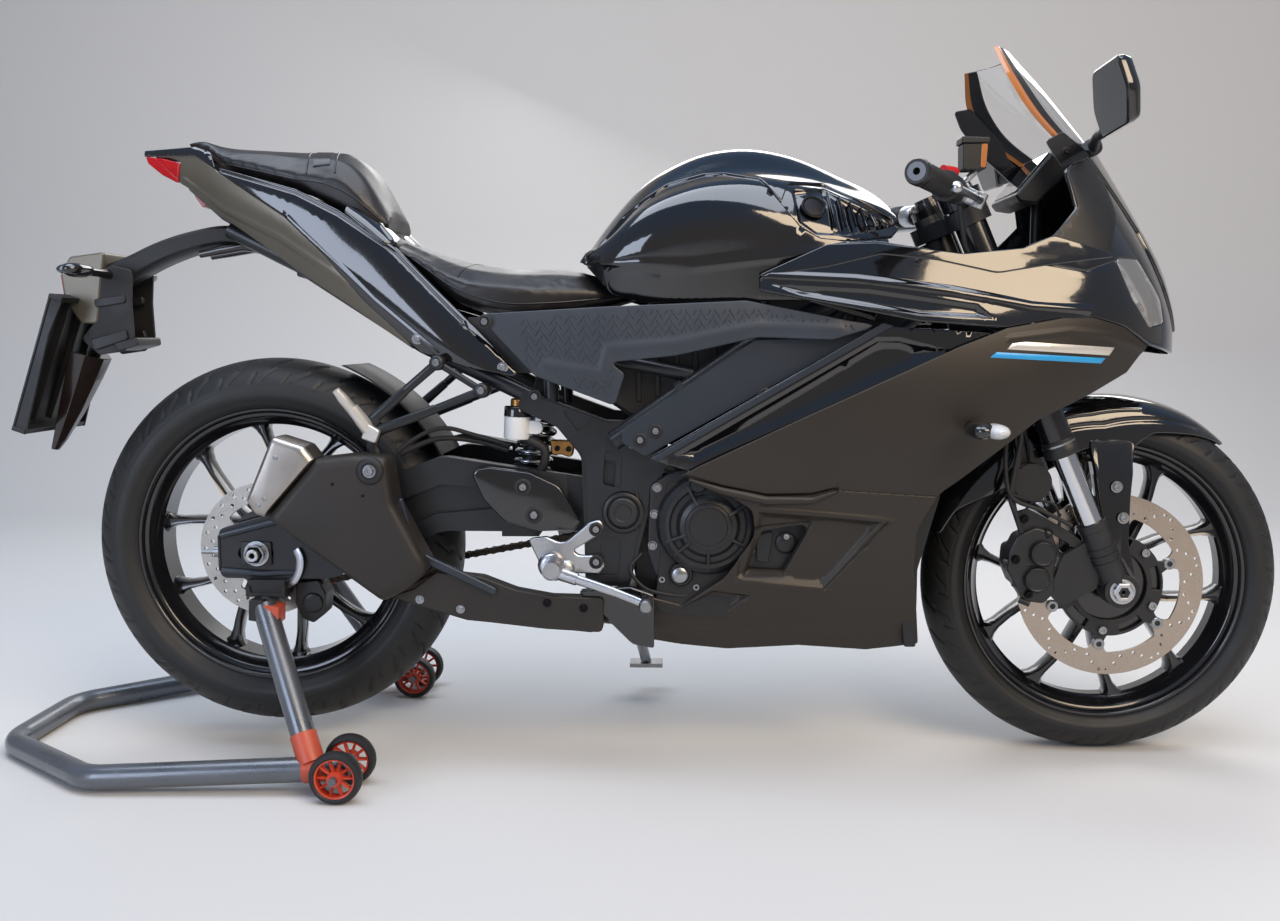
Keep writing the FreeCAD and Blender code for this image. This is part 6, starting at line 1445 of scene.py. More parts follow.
def plate_pieces(look):
    lean = math.radians(18.8)
    top = Vector((-337.0, 0, 760.0))
    way = Vector((-math.sin(lean), 0, -math.cos(lean)))
    face = Vector((-way.z, 0, way.x))

    def sheet(start, length, near, thick, half, radius=8.0):
        """Plate on the leaning plane, its corners rounded; near is the distance forward of it."""
        flat = rounded(((start, -half, radius), (start + length, -half, radius),
                (start + length, half, radius), (start, half, radius)), 10.0)
        return skin([[tuple(top + way * u + face * n + Vector((0, v, 0))) for u, v in flat]
                for n in (near, near + thick)])
    piece("number_plate_face", sheet(0, 228, -2.5, 1.6, 95), MAT["white"],
            replaces=["number_plate"], bevel=0.3)
    tray = [sheet(-3, 233, -0.8, 3.4, 98), sheet(-4, 8, -1.0, 22, 98, 2.0),
            sheet(222, 8, -1.0, 22, 98, 2.0)]
    for s in (-1, 1):
        edge = [tuple(top + way * u + face * n + Vector((0, s * 96, 0)))
                for u, n in ((-3, 0), (230, 0), (230, 22), (60, 15), (-3, 22))]
        tray.append(skin([edge, [(x, y - s * 4, z) for x, y, z in edge]]))
    for v in (-50, 0, 50):
        tray.append(skin([[tuple(top + way * u + face * n + Vector((0, v + w, 0)))
                for u, n in ((6, 2), (214, 2), (214, 9), (6, 14))] for w in (-2, 2)]))
    piece("number_plate_tray", joined(tray), MAT["trim"], bevel=0.6)
    rows = ((-19, 852, 17, 30), (-70, 861, 16, 33), (-130, 851, 17, 34), (-190, 831, 19, 33),
            (-240, 807, 21, 32), (-280, 788, 24, 33), (-316, 768, 22, 34),
            (-346, 750, 12, 34))
    table = np.array(rows[::-1], float)
    x = np.linspace(-346, -19, 40)
    middle, up, wide = (basis(table[:, 0], x) @ table[:, 1:]).T
    section = ((-0.75, 1), (0.75, 1), (1, 0.7), (0.92, -0.6), (0.6, -1), (-0.6, -1), (-0.92, -0.6),
            (-1, 0.7))
    arm = skin([[(x[i], y * wide[i], middle[i] + z * up[i]) for y, z in section] for i in range(len(x))])
    piece("plate_arm", arm, MAT["trim"], replaces=["plate_holder"], bevel=1.2)
    # second arm below it, with a gap between them
    low = ((44, 812), (0, 836), (-44, 843), (-82, 837), (-118, 830))
    piece("plate_lower_arm", both(tube([(x, 24, z) for x, z in low], (5.5, 7.0, 8.5, 6.0), 12)),
            MAT["flap"], smooth=60)
    # carrier under the arm: cheek plates, a ribbed block and its clamp
    cheeks, ribs = [], []
    cheek = ((-300, 792, 8), (-262, 812, 10), (-226, 804, 10), (-230, 752, 14), (-228, 694, 8),
            (-246, 670, 6), (-288, 664, 6), (-318, 690, 10), (-296, 716, 16),
             (-290, 750, 6))
    for s in (-1, 1):
        cheeks.append(slab(cheek, *sorted((s * 36, s * 41))))
        ribs.append(slab([(-300, 690, 4), (-240, 706, 4), (-236, 690, 6), (-294, 672, 4)],
                *sorted((s * 20, s * 46))))
        ribs.append(slab([(-292, 756, 4), (-240, 764, 6), (-238, 750, 6), (-290, 742, 4)],
                *sorted((s * 20, s * 44))))
    ribs.append(slab([(-262, 684, 4), (-222, 694, 5), (-220, 680, 5), (-256, 670, 5)], -44, 44))
    piece("plate_carrier_cheeks", joined(cheeks), MAT["rubber"], bevel=1.2)
    piece("plate_carrier_ribs", joined(ribs), MAT["trim"], bevel=1.6)
    pale = slab([(-346, 798, 8), (-330, 826, 8), (-270, 834, 6), (-280, 776, 20), (-288, 716, 8),
            (-316, 716, 8), (-341, 752, 8)], -42.5, 42.5)
    piece("plate_lamp_housing", pale, MAT["tail_satin"], bevel=3.0)
    strip = slab([(-351, 798, 2), (-345, 798, 2), (-340, 758, 2), (-346, 757, 2)], -34, 34)
    piece("plate_reflector", strip, MAT["red_lens"], bevel=1.0)
    # long tapering flap ahead of the plate, hollow behind
    flap = []
    for u, half, near, deep in ((84, 44, 30, 44), (124, 38, 29, 40), (184, 27, 28, 30), (238, 15, 27, 17),
            (262, 9, 26, 9)):
        c = top + way * u
        flap.append([tuple(c + face * (near + d) + Vector((0, y, 0)))
                for y, d in ((-half, 0), (-half * 0.96, deep * 0.55), (-half * 0.3, deep),
                    (half * 0.3, deep),
            (half * 0.96, deep * 0.55),
                                                (half, 0))])
    piece("plate_flap", skin(flap), MAT["flap"], bevel=1.0, smooth=25)
    spots = [(tuple(top + way * u + face * -2.6 + Vector((0, v, 0))), tuple(-face)) for u in (34, 198)
            for v in (-60, 60)]
    repeated("plate_screws", bolt_unit(5.0, 3.0), spots, MAT["bolt"])
    lamp = sheet(-14, 10, 4, 16, 30, 3.0)
    piece("plate_lamp", lamp, MAT["lamp"], bevel=1.0)


def pod(centre, half_x, half_z, y0, y1, ribs=0, count=28):
    """Flattened lamp body from y0 out to y1, rounded at its end."""
    rings = []
    for k in range(17):
        t = k / 16.0
        g = math.sqrt(max(1 - max(0.0, (t - 0.45) / 0.56) ** 2.4, 0.0)) * (0.86 + 0.14 * min(1.0, t / 0.2))
        g -= 0.035 * (k % 2) if ribs and 3 < k < 15 else 0.0
        rings.append([(centre[0] + half_x * g * math.cos(2 * math.pi * i / count), y0 + (y1 - y0) * t,
                       centre[1] + half_z * g * math.sin(2 * math.pi * i / count)) for i in range(count)])
    return skin(rings)


def indicator_pieces(look):
    stalks, front_lenses, rear_lenses = [], [], []
    for s in (-1, 1):
        stalks.append(tube(curve_points(((-262, s * 30, 796), (-272, s * 66, 798), (-276, s * 98, 799)),
                6.0), (9, 6.5, 7.5), 14, flat=0.8))
        stalks.append(pod((-280, 800), 19, 12, s * 92, s * 149))
        rear_lenses.append(pod((-288, 800), 15.5, 9, s * 104, s * 148, ribs=1))
        stalks.append(tube(((1112, s * 208, 558), (1113, s * 232, 558), (1114, s * 250, 558)),
                (16, 9.5, 12), 16, flat=0.8))
        stalks.append(pod((1112, 558), 19, 13, s * 244, s * 299))
        front_lenses.append(pod((1133, 557), 17, 11, s * 252, s * 310, ribs=1))
    piece("indicator_bodies", joined(stalks), MAT["gloss_trim"], replaces=["indicators"],
            smooth=50)
    piece("indicator_lenses", joined(front_lenses), MAT["indicator"], smooth=30)
    piece("indicator_rear_lenses", joined(rear_lenses), MAT["smoke_lens"], smooth=30)


# Screen, mirrors and cockpit
SCREEN_ROWS = ((985, 1346, 108, 1268), (1030, 1306, 130, 1215), (1080, 1262, 128, 1182),
        (1138, 1208, 92, 1165))


def screen_patch(t0, t1, z0, z1, push=0.0, across=30, up=24):
    """Part of the bowed screen between two shares of its width and two heights."""
    table = np.array(SCREEN_ROWS, float)
    z = np.linspace(z0, z1, up)
    middle, half, side = (basis(table[:, 0], z) @ table[:, 1:]).T
    rows = []
    for i in range(up):
        t = np.linspace(t0, t1, across)
        x = middle[i] - (middle[i] - side[i]) * t * t
        rows.append([(x[k] - push, half[i] * t[k], z[i]) for k in range(across)])
    return rows


def sheet_of(rows, thick):
    """Closed sheet from a grid of points, its wall towards the rider."""
    front, back = rows, [[(x - thick, y * 0.988, z - thick * 0.2) for x, y, z in row] for row in rows]
    rings = [f + list(reversed(b)) for f, b in zip(front, back)]
    return skin(rings)


def screen_pieces(look):
    piece("windscreen_sheet", sheet_of(screen_patch(-1, 1, 980, 1137.5, 0.0, 40, 26), 3.2), MAT["clear"],
            replaces=["windscreen"], smooth=50)
    strips, borders, brackets = [], [], []
    for s in (-1, 1):
        strips.append(sheet_of(screen_patch(0.952 * s, 1.004 * s, 985, 1137.5, -1.2, 4, 24), 5.4))
        borders.append(sheet_of(screen_patch(0.84 * s, 0.954 * s, 990, 1137, -0.9, 6, 24), 4.4))
        side = ((1149, 1078, 6), (1162, 1048, 30), (1196, 1006, 30), (1240, 968, 20), (1262, 948, 8),
                (1306, 966, 6), (1292, 980, 8), (1236, 1024), (1178, 1082, 4))
        if s < 0:
            side = ((1236, 990, 6), (1262, 948, 8), (1306, 966, 6), (1292, 980, 8), (1262, 1004, 6))
        ring = rounded(side, 6.0)
        depth = [[(x, s * (y + 0.06 * (1080 - z) * (1 if z > 1000 else 0.8)), z) for x, z in ring]
                for y in (111, 115)]
        brackets.append(skin(depth))
    borders.append(sheet_of(screen_patch(-0.82, 0.82, 978, 992, -0.9, 30, 4), 4.4))
    piece("windscreen_edges", joined(strips), MAT["copper_edge"], smooth=40)
    piece("windscreen_borders", joined(borders), MAT["rubber"], smooth=40)
    piece("windscreen_brackets", joined(brackets), MAT["gloss_trim"], bevel=1.0)
    spots = [((x, s * y, z), (0.2, s, 0.15)) for x, z, s, y in ((1188, 1056, 1, 116.6),
            (1244, 1002, 1, 119.8), (1268, 974, -1, 120.0))]
    repeated("windscreen_screws", bolt_unit(5.0, 3.5, 7.5), spots, MAT["dark_bolt"])


def mirror_pieces(look):
    heads, glasses, stems = [], [], []
    outline = ((264, 970, 10), (364, 974, 14), (386, 1018, 26), (374, 1062, 12), (276, 1060, 16),
            (254, 1010, 30))
    ring = rounded(outline, 8.0)
    middle = ring.mean(axis=0)
    for s in (-1, 1):
        rings = [[(x, s * ((p[0] - middle[0]) * g + middle[0]), (p[1] - middle[1]) * g + middle[1])
                for p in ring]
                 for x, g in ((1257, 0.965), (1258.5, 1.0), (1266, 0.99), (1275, 0.90), (1280, 0.74),
                     (1281.5, 0.52))]
        head = skin(rings)
        recess = [[(x, s * ((p[0] - middle[0]) * g + middle[0]), (p[1] - middle[1]) * g + middle[1])
                for p in ring] for x, g in ((1256.2, 0.93), (1257.4, 0.93))]
        centre = (1270, s * 310, 1020)
        heads.append(about(head, centre, -14))
        glasses.append(about(skin(recess), centre, -14))
        path = curve_points(((1318, s * 92, 984), (1304, s * 150, 992), (1286, s * 216, 984),
                (1276, s * 262, 984), (1272, s * 292, 1000)), 8.0)
        stems.append(tube(path, (13, 9.5, 8, 9, 12), 16, flat=0.72))
        stems.append(turned([(0, -4), (15, -4), (16, 4), (13, 9), (0, 9)], (1316, s * 92, 982),
                (-0.5, s * 0.6, 0.65), 24))
    piece("mirror_heads", joined(heads), MAT["gloss_trim"], replaces=["mirrors"], bevel=0.6,
            smooth=35)
    piece("mirror_stems", joined(stems), MAT["trim"], smooth=50)
    # glasses in the darkened mirror finish, whose dark grey is a painted reflection
    piece("mirror_glasses", joined(glasses), MAT["mirror"])


def cockpit_pieces(look):
    dash_body = slab([(1214, 904, 6), (1240, 900, 8), (1298, 958, 8), (1284, 984, 10), (1268, 988, 6),
            (1206, 914, 6)], -74, 74)
    piece("instrument_housing", dash_body, MAT["trim"], replaces=["instruments"], bevel=4.0)
    glass = skin([[(x, y, z) for x, z in ((1211.5, 919), (1262, 980), (1259.5, 982.4), (1209, 921.4))]
            for y in (-62, 62)])
    piece("instrument_glass", glass, MAT["screen_dark"], bevel=1.0)
    # key barrel on the upper yoke
    key = turned([(0, 0), (17, 0), (17, 10), (13, 13), (11, 13), (10, 11), (0, 11)], on_fork(664, 24, 0),
            (-math.sin(RAKE), 0, math.cos(RAKE)), 32)
    piece("key_barrel", key, MAT["cast"], FRONT_END)
    grips, ends, blocks, perches, levers, reds, caps, pots = [], [], [], [], [], [], [], []
    for s in (-1, 1):
        root = on_fork(668, 6, s * 124)
        end = Vector((1004, s * 338, 912))
        way = (end - root).normalized()
        ahead = Vector((0.93, 0, -0.36))
        rib = [(17, 1.5)]
        for k in range(26):
            rib += [(16.2, 4 + 4.4 * k), (17.4, 5.2 + 4.4 * k), (17.4, 7.0 + 4.4 * k)]
        grip = [(11.2, 1.5)] + rib + [(16.2, 119), (22, 120), (22.5, 122), (11.2, 122)]
        grips.append(turned(grip, end, -way, 32, closed=True))
        ends.append(turned([(11, 0), (17.5, 0), (18.5, 2), (18.5, 14), (16.5, 20), (13.0, 20.5), (11.5, 18),
                (7.5, 17.5), (5.5, 9), (5.2, 0)], end, way, 32, closed=True))
        start = end - way * 123
        blocks.append(turned([(11.2, 0), (18, 0), (20.5, 3), (21, 24), (20, 42), (17, 46), (11.2, 46)],
                start, -way, 28, closed=True))
        blocks.append(turned([(0, 0), (8, 0), (8, 7), (6.5, 9), (0, 9)],
                start - way * 22 + Vector((-20, 0, 14)), (-0.7, 0, 0.7), 18))
        perch = start - way * 48
        perches.append(turned([(11.2, 0), (17.5, 0), (18.5, 3), (18.5, 24), (17, 28), (11.2, 28)], perch,
                -way, 28, closed=True))
        pivot = perch - way * 14 + ahead * 34
        perches.append(tube([tuple(perch - way * 14 + ahead * 14), tuple(pivot + ahead * 8)], (13, 10), 14,
                flat=0.7))
        perches.append(turned([(0, -12), (11, -12), (11, 12), (0, 12)], pivot, ahead.cross(way), 20))
        tip = end - way * 14 + ahead * 48
        path = bent([tuple(pivot), tuple(pivot + way * 46 + ahead * 16), tuple(tip)], 40, 6.0)
        levers.append(tube(path, (7.5, 6.5, 5.5, 5.0, 5.2, 6.0), 14, flat=0.8))
        levers.append(turned([(0, -8), (5, -7), (8, -3), (8.5, 1), (6, 6), (0, 8)], tip, way, 20))
        if s < 0:
            reds.append(tube([tuple(start - way * 6 + Vector((-6, 0, 22))),
                    tuple(start - way * 34 + Vector((4, 0, 24)))], (9.0, 11.0, 8.0), 16, flat=0.8))
            base = perch - way * 14 + Vector((26, 0, 26))
            x0, y0, z0 = base
            pots.append(slab([(x0 - 22, z0 + 4, 5), (x0 + 12, z0 + 4, 5), (x0 + 14, z0 + 42, 3),
                    (x0 - 23, z0 + 42, 3)], y0 - 16, y0 + 18))
            pots.append(slab([(x0 - 25, z0 + 42.4, 2), (x0 + 16, z0 + 42.4, 2), (x0 + 16, z0 + 50, 2),
                    (x0 - 25, z0 + 52, 2)], y0 - 18, y0 + 20))
            caps.append(slab([(x0 + 3, z0 + 7, 3), (x0 + 11, z0 + 7, 3), (x0 + 13, z0 + 41, 3),
                    (x0 + 4, z0 + 41, 3)], y0 - 17.2, y0 - 15.4))
            perches.append(tube([tuple(perch - way * 14 + Vector((8, 0, 12))),
                    tuple(base + Vector((0, 0, 4)))], 5.0, 10))
    piece("hand_grip_skins", joined(grips), MAT["rubber"], FRONT_END, ["hand_grips"], smooth=50)
    piece("bar_end_weights", joined(ends), MAT["cast"], FRONT_END)
    piece("switch_blocks", joined(blocks), MAT["trim"], FRONT_END, ["hand_controls"], bevel=1.0)
    piece("lever_perches", joined(perches), MAT["alloy"], FRONT_END, bevel=0.8)
    piece("hand_levers", joined(levers), MAT["alloy"], FRONT_END, smooth=60)
    piece("stop_switch", joined(reds), MAT["red"], FRONT_END, smooth=60)
    piece("fluid_pot", joined(pots), MAT["trim"], FRONT_END, bevel=1.6)
    piece("fluid_pot_face", joined(caps), MAT["copper_edge"], FRONT_END, bevel=0.6)
    spots = [(tuple(on_fork(680, 0, s * FORK_Y)), (-math.sin(RAKE), 0, math.cos(RAKE))) for s in (-1, 1)]
    repeated("fork_cap_screws", bolt_unit(11, 12, 0.0, 0.6), spots, MAT["gold"], FRONT_END)


# Engine, frame and running gear
def pillow(outline, y0, y1, radius, step=7.0, turns=4, dome=0.0):
    """Plate across the bike with its face at y1 rounded over the edge, in rings that shrink inwards."""
    line = rounded(outline, step)
    middle = (line.min(axis=0) + line.max(axis=0)) / 2
    size = np.linalg.norm(line - middle, axis=1).mean()
    sign = 1.0 if y1 > y0 else -1.0
    rings = [(y0, 1.0)]
    for k in range(turns + 1):
        a = 0.5 * math.pi * k / turns
        rings.append((y1 - sign * radius * (1 - math.sin(a)), 1 - radius * (1 - math.cos(a)) / size))
    rings += [(y1 + sign * dome * 0.6, 0.75), (y1 + sign * dome, 0.4)] if dome else []
    return skin([[(x, y, z) for x, z in (line - middle) * g + middle] for y, g in rings])


CLUTCH = (724.0, 401.0)


def engine_pieces(look):
    profile = [(0, 0), (82, 0), (83, 5), (80, 11), (76, 22), (67, 29), (61, 30), (58, 26), (50, 27),
            (46, 32), (44, 35), (37, 38), (36, 43), (33, 45), (30, 45),
               (29, 43.2), (0, 43.2)]
    covers, plates, ribs = [], [], []
    for s in (-1, 1):
        covers.append(turned(profile, (CLUTCH[0], s * 139, CLUTCH[1]), (0, s, 0), 72))
        face = ((632, 462, 14), (664, 482, 20), (730, 492, 20), (790, 470, 20), (806, 400, 20),
                (792, 340, 20), (748, 306, 14), (700, 292, 12), (664, 296, 12),
                (640, 318, 14), (628, 356, 16), (630, 410, 20))
        plates.append(pillow(face, s * 128, s * 147, 5.0))
        for angle in (28, 118, 202, 222, 270, 330):
            near, far = polar(CLUTCH, 36, angle), polar(CLUTCH, 70, angle)
            ribs.append(tube([(near[0], s * 175, near[1]), (far[0], s * 164, far[1])], (3.2, 3.2), 10))
        lug = polar(CLUTCH, 66, 104)
        ribs.append(turned([(0, 0), (13, 0), (13, 26), (11, 29), (0, 29)], (lug[0], s * 142, lug[1]),
                (0, s, 0), 24))
        ribs.append(turned([(0, 0), (19, 0), (19, 14), (16.5, 17), (14, 17), (13, 14), (0, 14)],
                (682, s * 143, 322), (0, s, 0), 32))
    piece("engine_cover_domes", joined(covers), MAT["engine"], replaces=["engine_covers"],
            smooth=28)
    piece("engine_cover_plates", joined(plates), MAT["engine"], smooth=35)
    piece("engine_cover_ribs", joined(ribs), MAT["engine"], smooth=50)
    cap = [lathe_at((680, s * 158, 321), s, [(0, 0), (12, 0), (12, 2), (9, 4), (0, 4)]) for s in (-1, 1)]
    piece("engine_oil_caps", joined(cap), MAT["bolt"])
    spots = [((x, s * 147, z), (0, s, 0)) for s in (-1, 1)
            for x, z in ((644, 458), (640, 416), (637, 366), (652, 312), (706, 300), (760, 322), (792, 360),
            (798, 440), (752, 478),
                                            (700, 484))]
    repeated("engine_cover_bolts", bolt_unit(5.6, 5.5, 7.2), spots, MAT["bolt"])
    seam = []
    for s in (-1, 1):
        seam.append(tube([(608, s * 140, 470), (616, s * 146, 430), (612, s * 146, 392)], (2.4, 2.4), 8))
        seam.append(tube(curve_points([(620, s * 138, 352), (602, s * 146, 330), (622, s * 150, 300),
                (664, s * 150, 288), (702, s * 146, 284)], 6.0), 3.0, 10))
    piece("engine_leads", joined(seam), MAT["rubber"], smooth=60)


def lathe_at(spot, side, profile, count=28):
    """Turned piece standing out sideways from a spot."""
    return turned(profile, spot, (0, side, 0), count)


def frame_pieces(look):
    pivots, rings = [], []
    for s in (-1, 1):
        pivots.append(lathe_at((591, s * 146.5, 418), s, [(0, 0), (24, 0), (24, 5), (21, 8), (14, 8),
                (13, 6), (0, 6)], 40))
        rings.append(turned([(25, 0), (31.5, 0), (31.5, 2.0), (29, 3.4), (26, 3.4), (25, 2)],
                (591, s * 146.5, 418), (0, s, 0), 40, closed=True))
    piece("frame_pivot_caps", joined(pivots), MAT["cast"], bevel=0.5)
    piece("frame_pivot_rings", joined(rings), MAT["engine"], smooth=50)
    spots = []
    for s in (-1, 1):
        spots += [((x, s * 152.5, z), (0, s, 0)) for x, z in ((548, 392), (548, 340))]
        spots += [((x, s * y, z), (0, s, 0)) for x, z, y in ((452, 600, 141), (604, 524, 141),
                (642, 548, 165), (810, 604, 165))]
    repeated("frame_washers", lathe_unit([(0, -1), (11, -1), (11, 1.0), (10, 1.6), (7.5, 1.6), (7.0, 0.6),
            (0, 0.6)], 24), spots, MAT["rubber"])
    repeated("frame_bolts", bolt_unit(5.6, 4.0), spots, MAT["bolt"])
    clip = [turned([(17.5, 0), (20, 0), (20, 12), (17.5, 12)], (680, s * 139, 603), (0.84, s * 0.02, 0.54),
            28, closed=True) for s in (-1, 1)]
    piece("frame_tube_clips", joined(clip), MAT["rubber"])


def inner_pieces(look):
    """Dark air box between the frame tubes, and the panel and bolt in the fairing's front window."""
    box = slab([(540, 606, 20), (600, 566, 20), (700, 560, 20), (810, 640, 20), (900, 700, 20),
            (820, 736, 20), (560, 728, 20)], -96, 96)
    piece("air_box", box, MAT["rubber"], bevel=6.0)
    ribs = [slab([(610 + 30 * k, 590 + 8 * k, 3), (618 + 30 * k, 590 + 8 * k, 3), (618 + 30 * k, 690, 3),
            (610 + 30 * k, 690, 3)], s * 96, s * 99)
            for k in range(5) for s in (-1, 1)]
    piece("air_box_ribs", joined(ribs), MAT["trim"], bevel=1.0)
    apron = slab([(1034, 206, 4), (1052, 206, 4), (1052, 330, 30), (1086, 452, 40), (1076, 470, 20),
            (1046, 440, 30), (1024, 380, 40), (1024, 300, 30)], -150, 150)
    piece("front_apron", apron, MAT["trim"], bevel=2.0)
    fillers = [slab(line, *sorted((s * 124, s * 128))) for s in (-1, 1) for line in (
        [(770, 706, 10), (1006, 690, 10), (1030, 724, 10), (980, 776, 20), (790, 776, 10)],
        [(338, 664, 6), (346, 724, 6), (424, 722, 6), (530, 730, 6), (530, 640, 6), (440, 636, 6),
            (372, 640, 6)])]
    piece("panel_fillers", joined(fillers), MAT["rubber"], bevel=1.0)
    window = [lathe_at((846, s * 150, 372), s, [(0, 0), (17, 0), (17, 3), (13, 6), (0, 6)], 28)
            for s in (-1, 1)]
    window += [slab([(800, 384, 3), (826, 392, 6), (818, 340, 6), (800, 344, 3)],
            *sorted((s * 150, s * 156))) for s in (-1, 1)]
    piece("window_covers", joined(window), MAT["engine"], bevel=1.0)
    repeated("window_bolts", bolt_unit(5.2, 4.0), [((846, s * 156, 383), (0, s, 0)) for s in (-1, 1)],
            MAT["bolt"])


def plate_relief(look):
    """Raised edge and pockets of the pressed frame plates."""
    outline = ((440, 606, 8), (563, 560, 20), (636, 557, 12), (655, 500, 20), (628, 425, 30),
            (612, 380, 20), (598, 306, 8), (534, 306, 8), (534, 420, 20),
               (530, 508, 30), (487, 552, 30), (430, 583, 8))
    pocket = rounded(((562, 516, 6), (590, 512, 6), (588, 456, 8), (558, 462, 8)), 5.0)
    web = rounded(((492, 582, 5), (545, 562, 6), (520, 545, 5)), 5.0)
    ring = circle(591, 418, 34, 40)
    slot = rounded(((548, 318, 6), (584, 318, 6), (588, 376, 8), (556, 380, 8)), 5.0)
    relief = [plate(outline, [pocket, web, ring, slot], *sorted((s * 139.5, s * 143.0))) for s in (-1, 1)]
    piece("frame_plate_relief", joined(relief), MAT["frame"], bevel=1.4)


def heel_pieces(look):
    plates, brackets, pads = [], [], []
    heel = ((350, 485, 12), (380, 490, 30), (445, 482, 20), (492, 460, 20), (524, 404, 8), (514, 390, 8),
            (462, 389, 20), (404, 404, 20), (370, 440, 30))
    for s in (-1, 1):
        plates.append(pillow(heel, s * 146, s * 155.5, 4.5))
        hanger = ((536, 402, 12), (556, 408, 12), (562, 392, 12), (548, 380, 10), (512, 358, 16),
                (520, 350, 12), (552, 350, 14), (564, 334, 12), (552, 320, 12),
                  (500, 322, 16), (486, 306, 14), (462, 318, 14), (456, 342, 16), (440, 376, 6),
                  (470, 380, 8), (496, 368, 20))
        brackets.append(slab(hanger, *sorted((s * 140, s * 152)), step=5.0))
        brackets.append(lathe_at((478, s * 150, 336), s, [(0, 0), (21, 0), (21, 14), (17, 20), (12, 22),
                (0, 22)], 30))
        brackets.append(tube([(482, s * 166, 340), (486, s * 196, 343)], (14, 11), 16))
        pads.append(tube([(487, s * 190, 343), (488, s * 254, 346)], (12.5, 13.5, 12.5), 18))
    piece("heel_plates", joined(plates), MAT["gloss_trim"], replaces=["rider_footrests"],
            smooth=40)
    piece("rider_peg_hangers", joined(brackets), MAT["alloy"], bevel=2.6, smooth=45)
    piece("rider_pegs", joined(pads), MAT["alloy"], smooth=60)
    spots = [((x, s * 155.5, z), (0, s, 0)) for s in (-1, 1) for x, z in ((434, 459), (451, 415))]
    repeated("heel_plate_washers", lathe_unit([(0, -1), (13.5, -1), (13.5, 1.2), (12.5, 1.8), (9.0, 1.8),
            (8.4, 0.6), (0, 0.6)], 28), spots, MAT["rubber"])
    repeated("heel_plate_bolts", bolt_unit(6.2, 4.5), spots, MAT["bolt"])
    rings = []
    for s in (-1, 1):
        for k in range(9):
            c = 196 + 6.2 * k
            rings.append(turned([(12.2, 0), (14.2, 0.6), (14.2, 2.2), (12.2, 2.8)], (487.2, s * c, 343.4),
                    (0, s, 0), 18, closed=True))
    piece("rider_peg_knurls", joined(rings), MAT["bolt"], smooth=50)


def pedal_pieces(look):
    y = -140.0
    pedal = tube(bent([(484, y - 24, 326), (520, y - 34, 316), (580, y - 50, 300), (622, y - 62, 286)], 30,
            6.0), (11, 9, 7.5, 7, 6.5), 14, flat=0.7)
    tip = lathe_at((628, y - 40, 284), -1, [(0, 0), (9, 0), (11, 4), (11, 38), (8, 42), (0, 42)], 24)
    spring = lathe_at((500, y - 12, 330), -1, [(0, 0), (14, 0), (14, 6), (10, 10), (0, 10)], 24)
    shift = tube(bent([(520, 161, 330), (560, 180, 334), (640, 200, 346)], 40, 6.0), (9, 7, 6.5), 14)
    shift_tip = lathe_at((640, 186, 346), 1, [(0, 0), (8, 0), (9, 4), (9, 34), (6, 38), (0, 38)], 20)
    shift_rod = tube([(556, 172, 336), (600, 160, 372), (650, 148, 398)], 4.0, 10)
    piece("foot_pedal_arms", joined([pedal, shift, shift_rod, spring]), MAT["alloy"],
            replaces=["foot_pedals"], smooth=50)
    piece("foot_pedal_tips", joined([tip, shift_tip]), MAT["steel"], smooth=50)


def hanger_pieces(look):
    struts, bosses, pegs, knuckles = [], [], [], []
    for s in (-1, 1):
        y = s * 157
        struts.append(tube(bent([(302, s * 152, 653), (252, y, 610), (194, s * 156, 560)], 40, 6.0),
                (7.5, 6.5, 9.0), 14, flat=0.7))
        struts.append(tube(bent([(371, s * 152, 610), (300, y, 582), (204, s * 156, 546)], 60, 6.0),
                (7.0, 6.0, 9.0), 14, flat=0.7))
        struts.append(tube([(302, s * 151, 653), (371, s * 151, 610)], 5.5, 12, flat=0.7))
        struts.append(tube(bent([(206, s * 154, 552), (196, s * 152, 524), (208, s * 146, 492)], 20, 5.0),
                (10.0, 9.0, 12.0), 14, flat=0.8))
        bosses.append(lathe_at((208, s * 128, 490), s, [(0, 0), (15, 0), (15, 21.5), (0, 21.5)], 28))
        for x, z in ((302, 653), (371, 610)):
            bosses.append(lathe_at((x, s * 132, z), s, [(0, 0), (12, 0), (12, 22), (10.5, 24), (0, 24)],
                    24))
            bosses.append(lathe_at((x, s * 148, z), s, [(0, 0), (11.5, 0), (11.5, 11), (9.5, 13), (0, 13)],
                    24))
        bosses.append(tube([(204, s * 150, 566), (186, s * 158, 545)], (12, 13), 16))
        pegs.append(tube([(199, s * 160, 541), (185, s * 170, 566), (174, s * 176, 584)], (11.5, 11.0, 9.5),
                16, flat=0.75))
        pegs.append(tube([(178, s * 168, 572), (160, s * 182, 600), (152, s * 187, 612)], (8.5, 8.0, 6.0),
                14, flat=1.1))
        knuckles.append(slab([(184, 536, 4), (206, 528, 4), (214, 548, 4), (194, 560, 4)],
                *sorted((s * 156, s * 172))))
    piece("passenger_peg_hangers", joined(struts), MAT["frame"],
            replaces=["passenger_footrests"], smooth=60)
    piece("passenger_peg_bosses", joined(bosses), MAT["frame"], smooth=50)
    piece("passenger_pegs", joined(pegs), MAT["pale_metal"], smooth=60)
    piece("passenger_peg_knuckles", joined(knuckles), MAT["pale_metal"], bevel=2.0)
    spots = [((x, s * 161, z), (0, s, 0)) for s in (-1, 1) for x, z in ((302, 653), (371, 610))]
    repeated("passenger_peg_bolts", bolt_unit(6.0, 4.0), spots, MAT["bolt"])


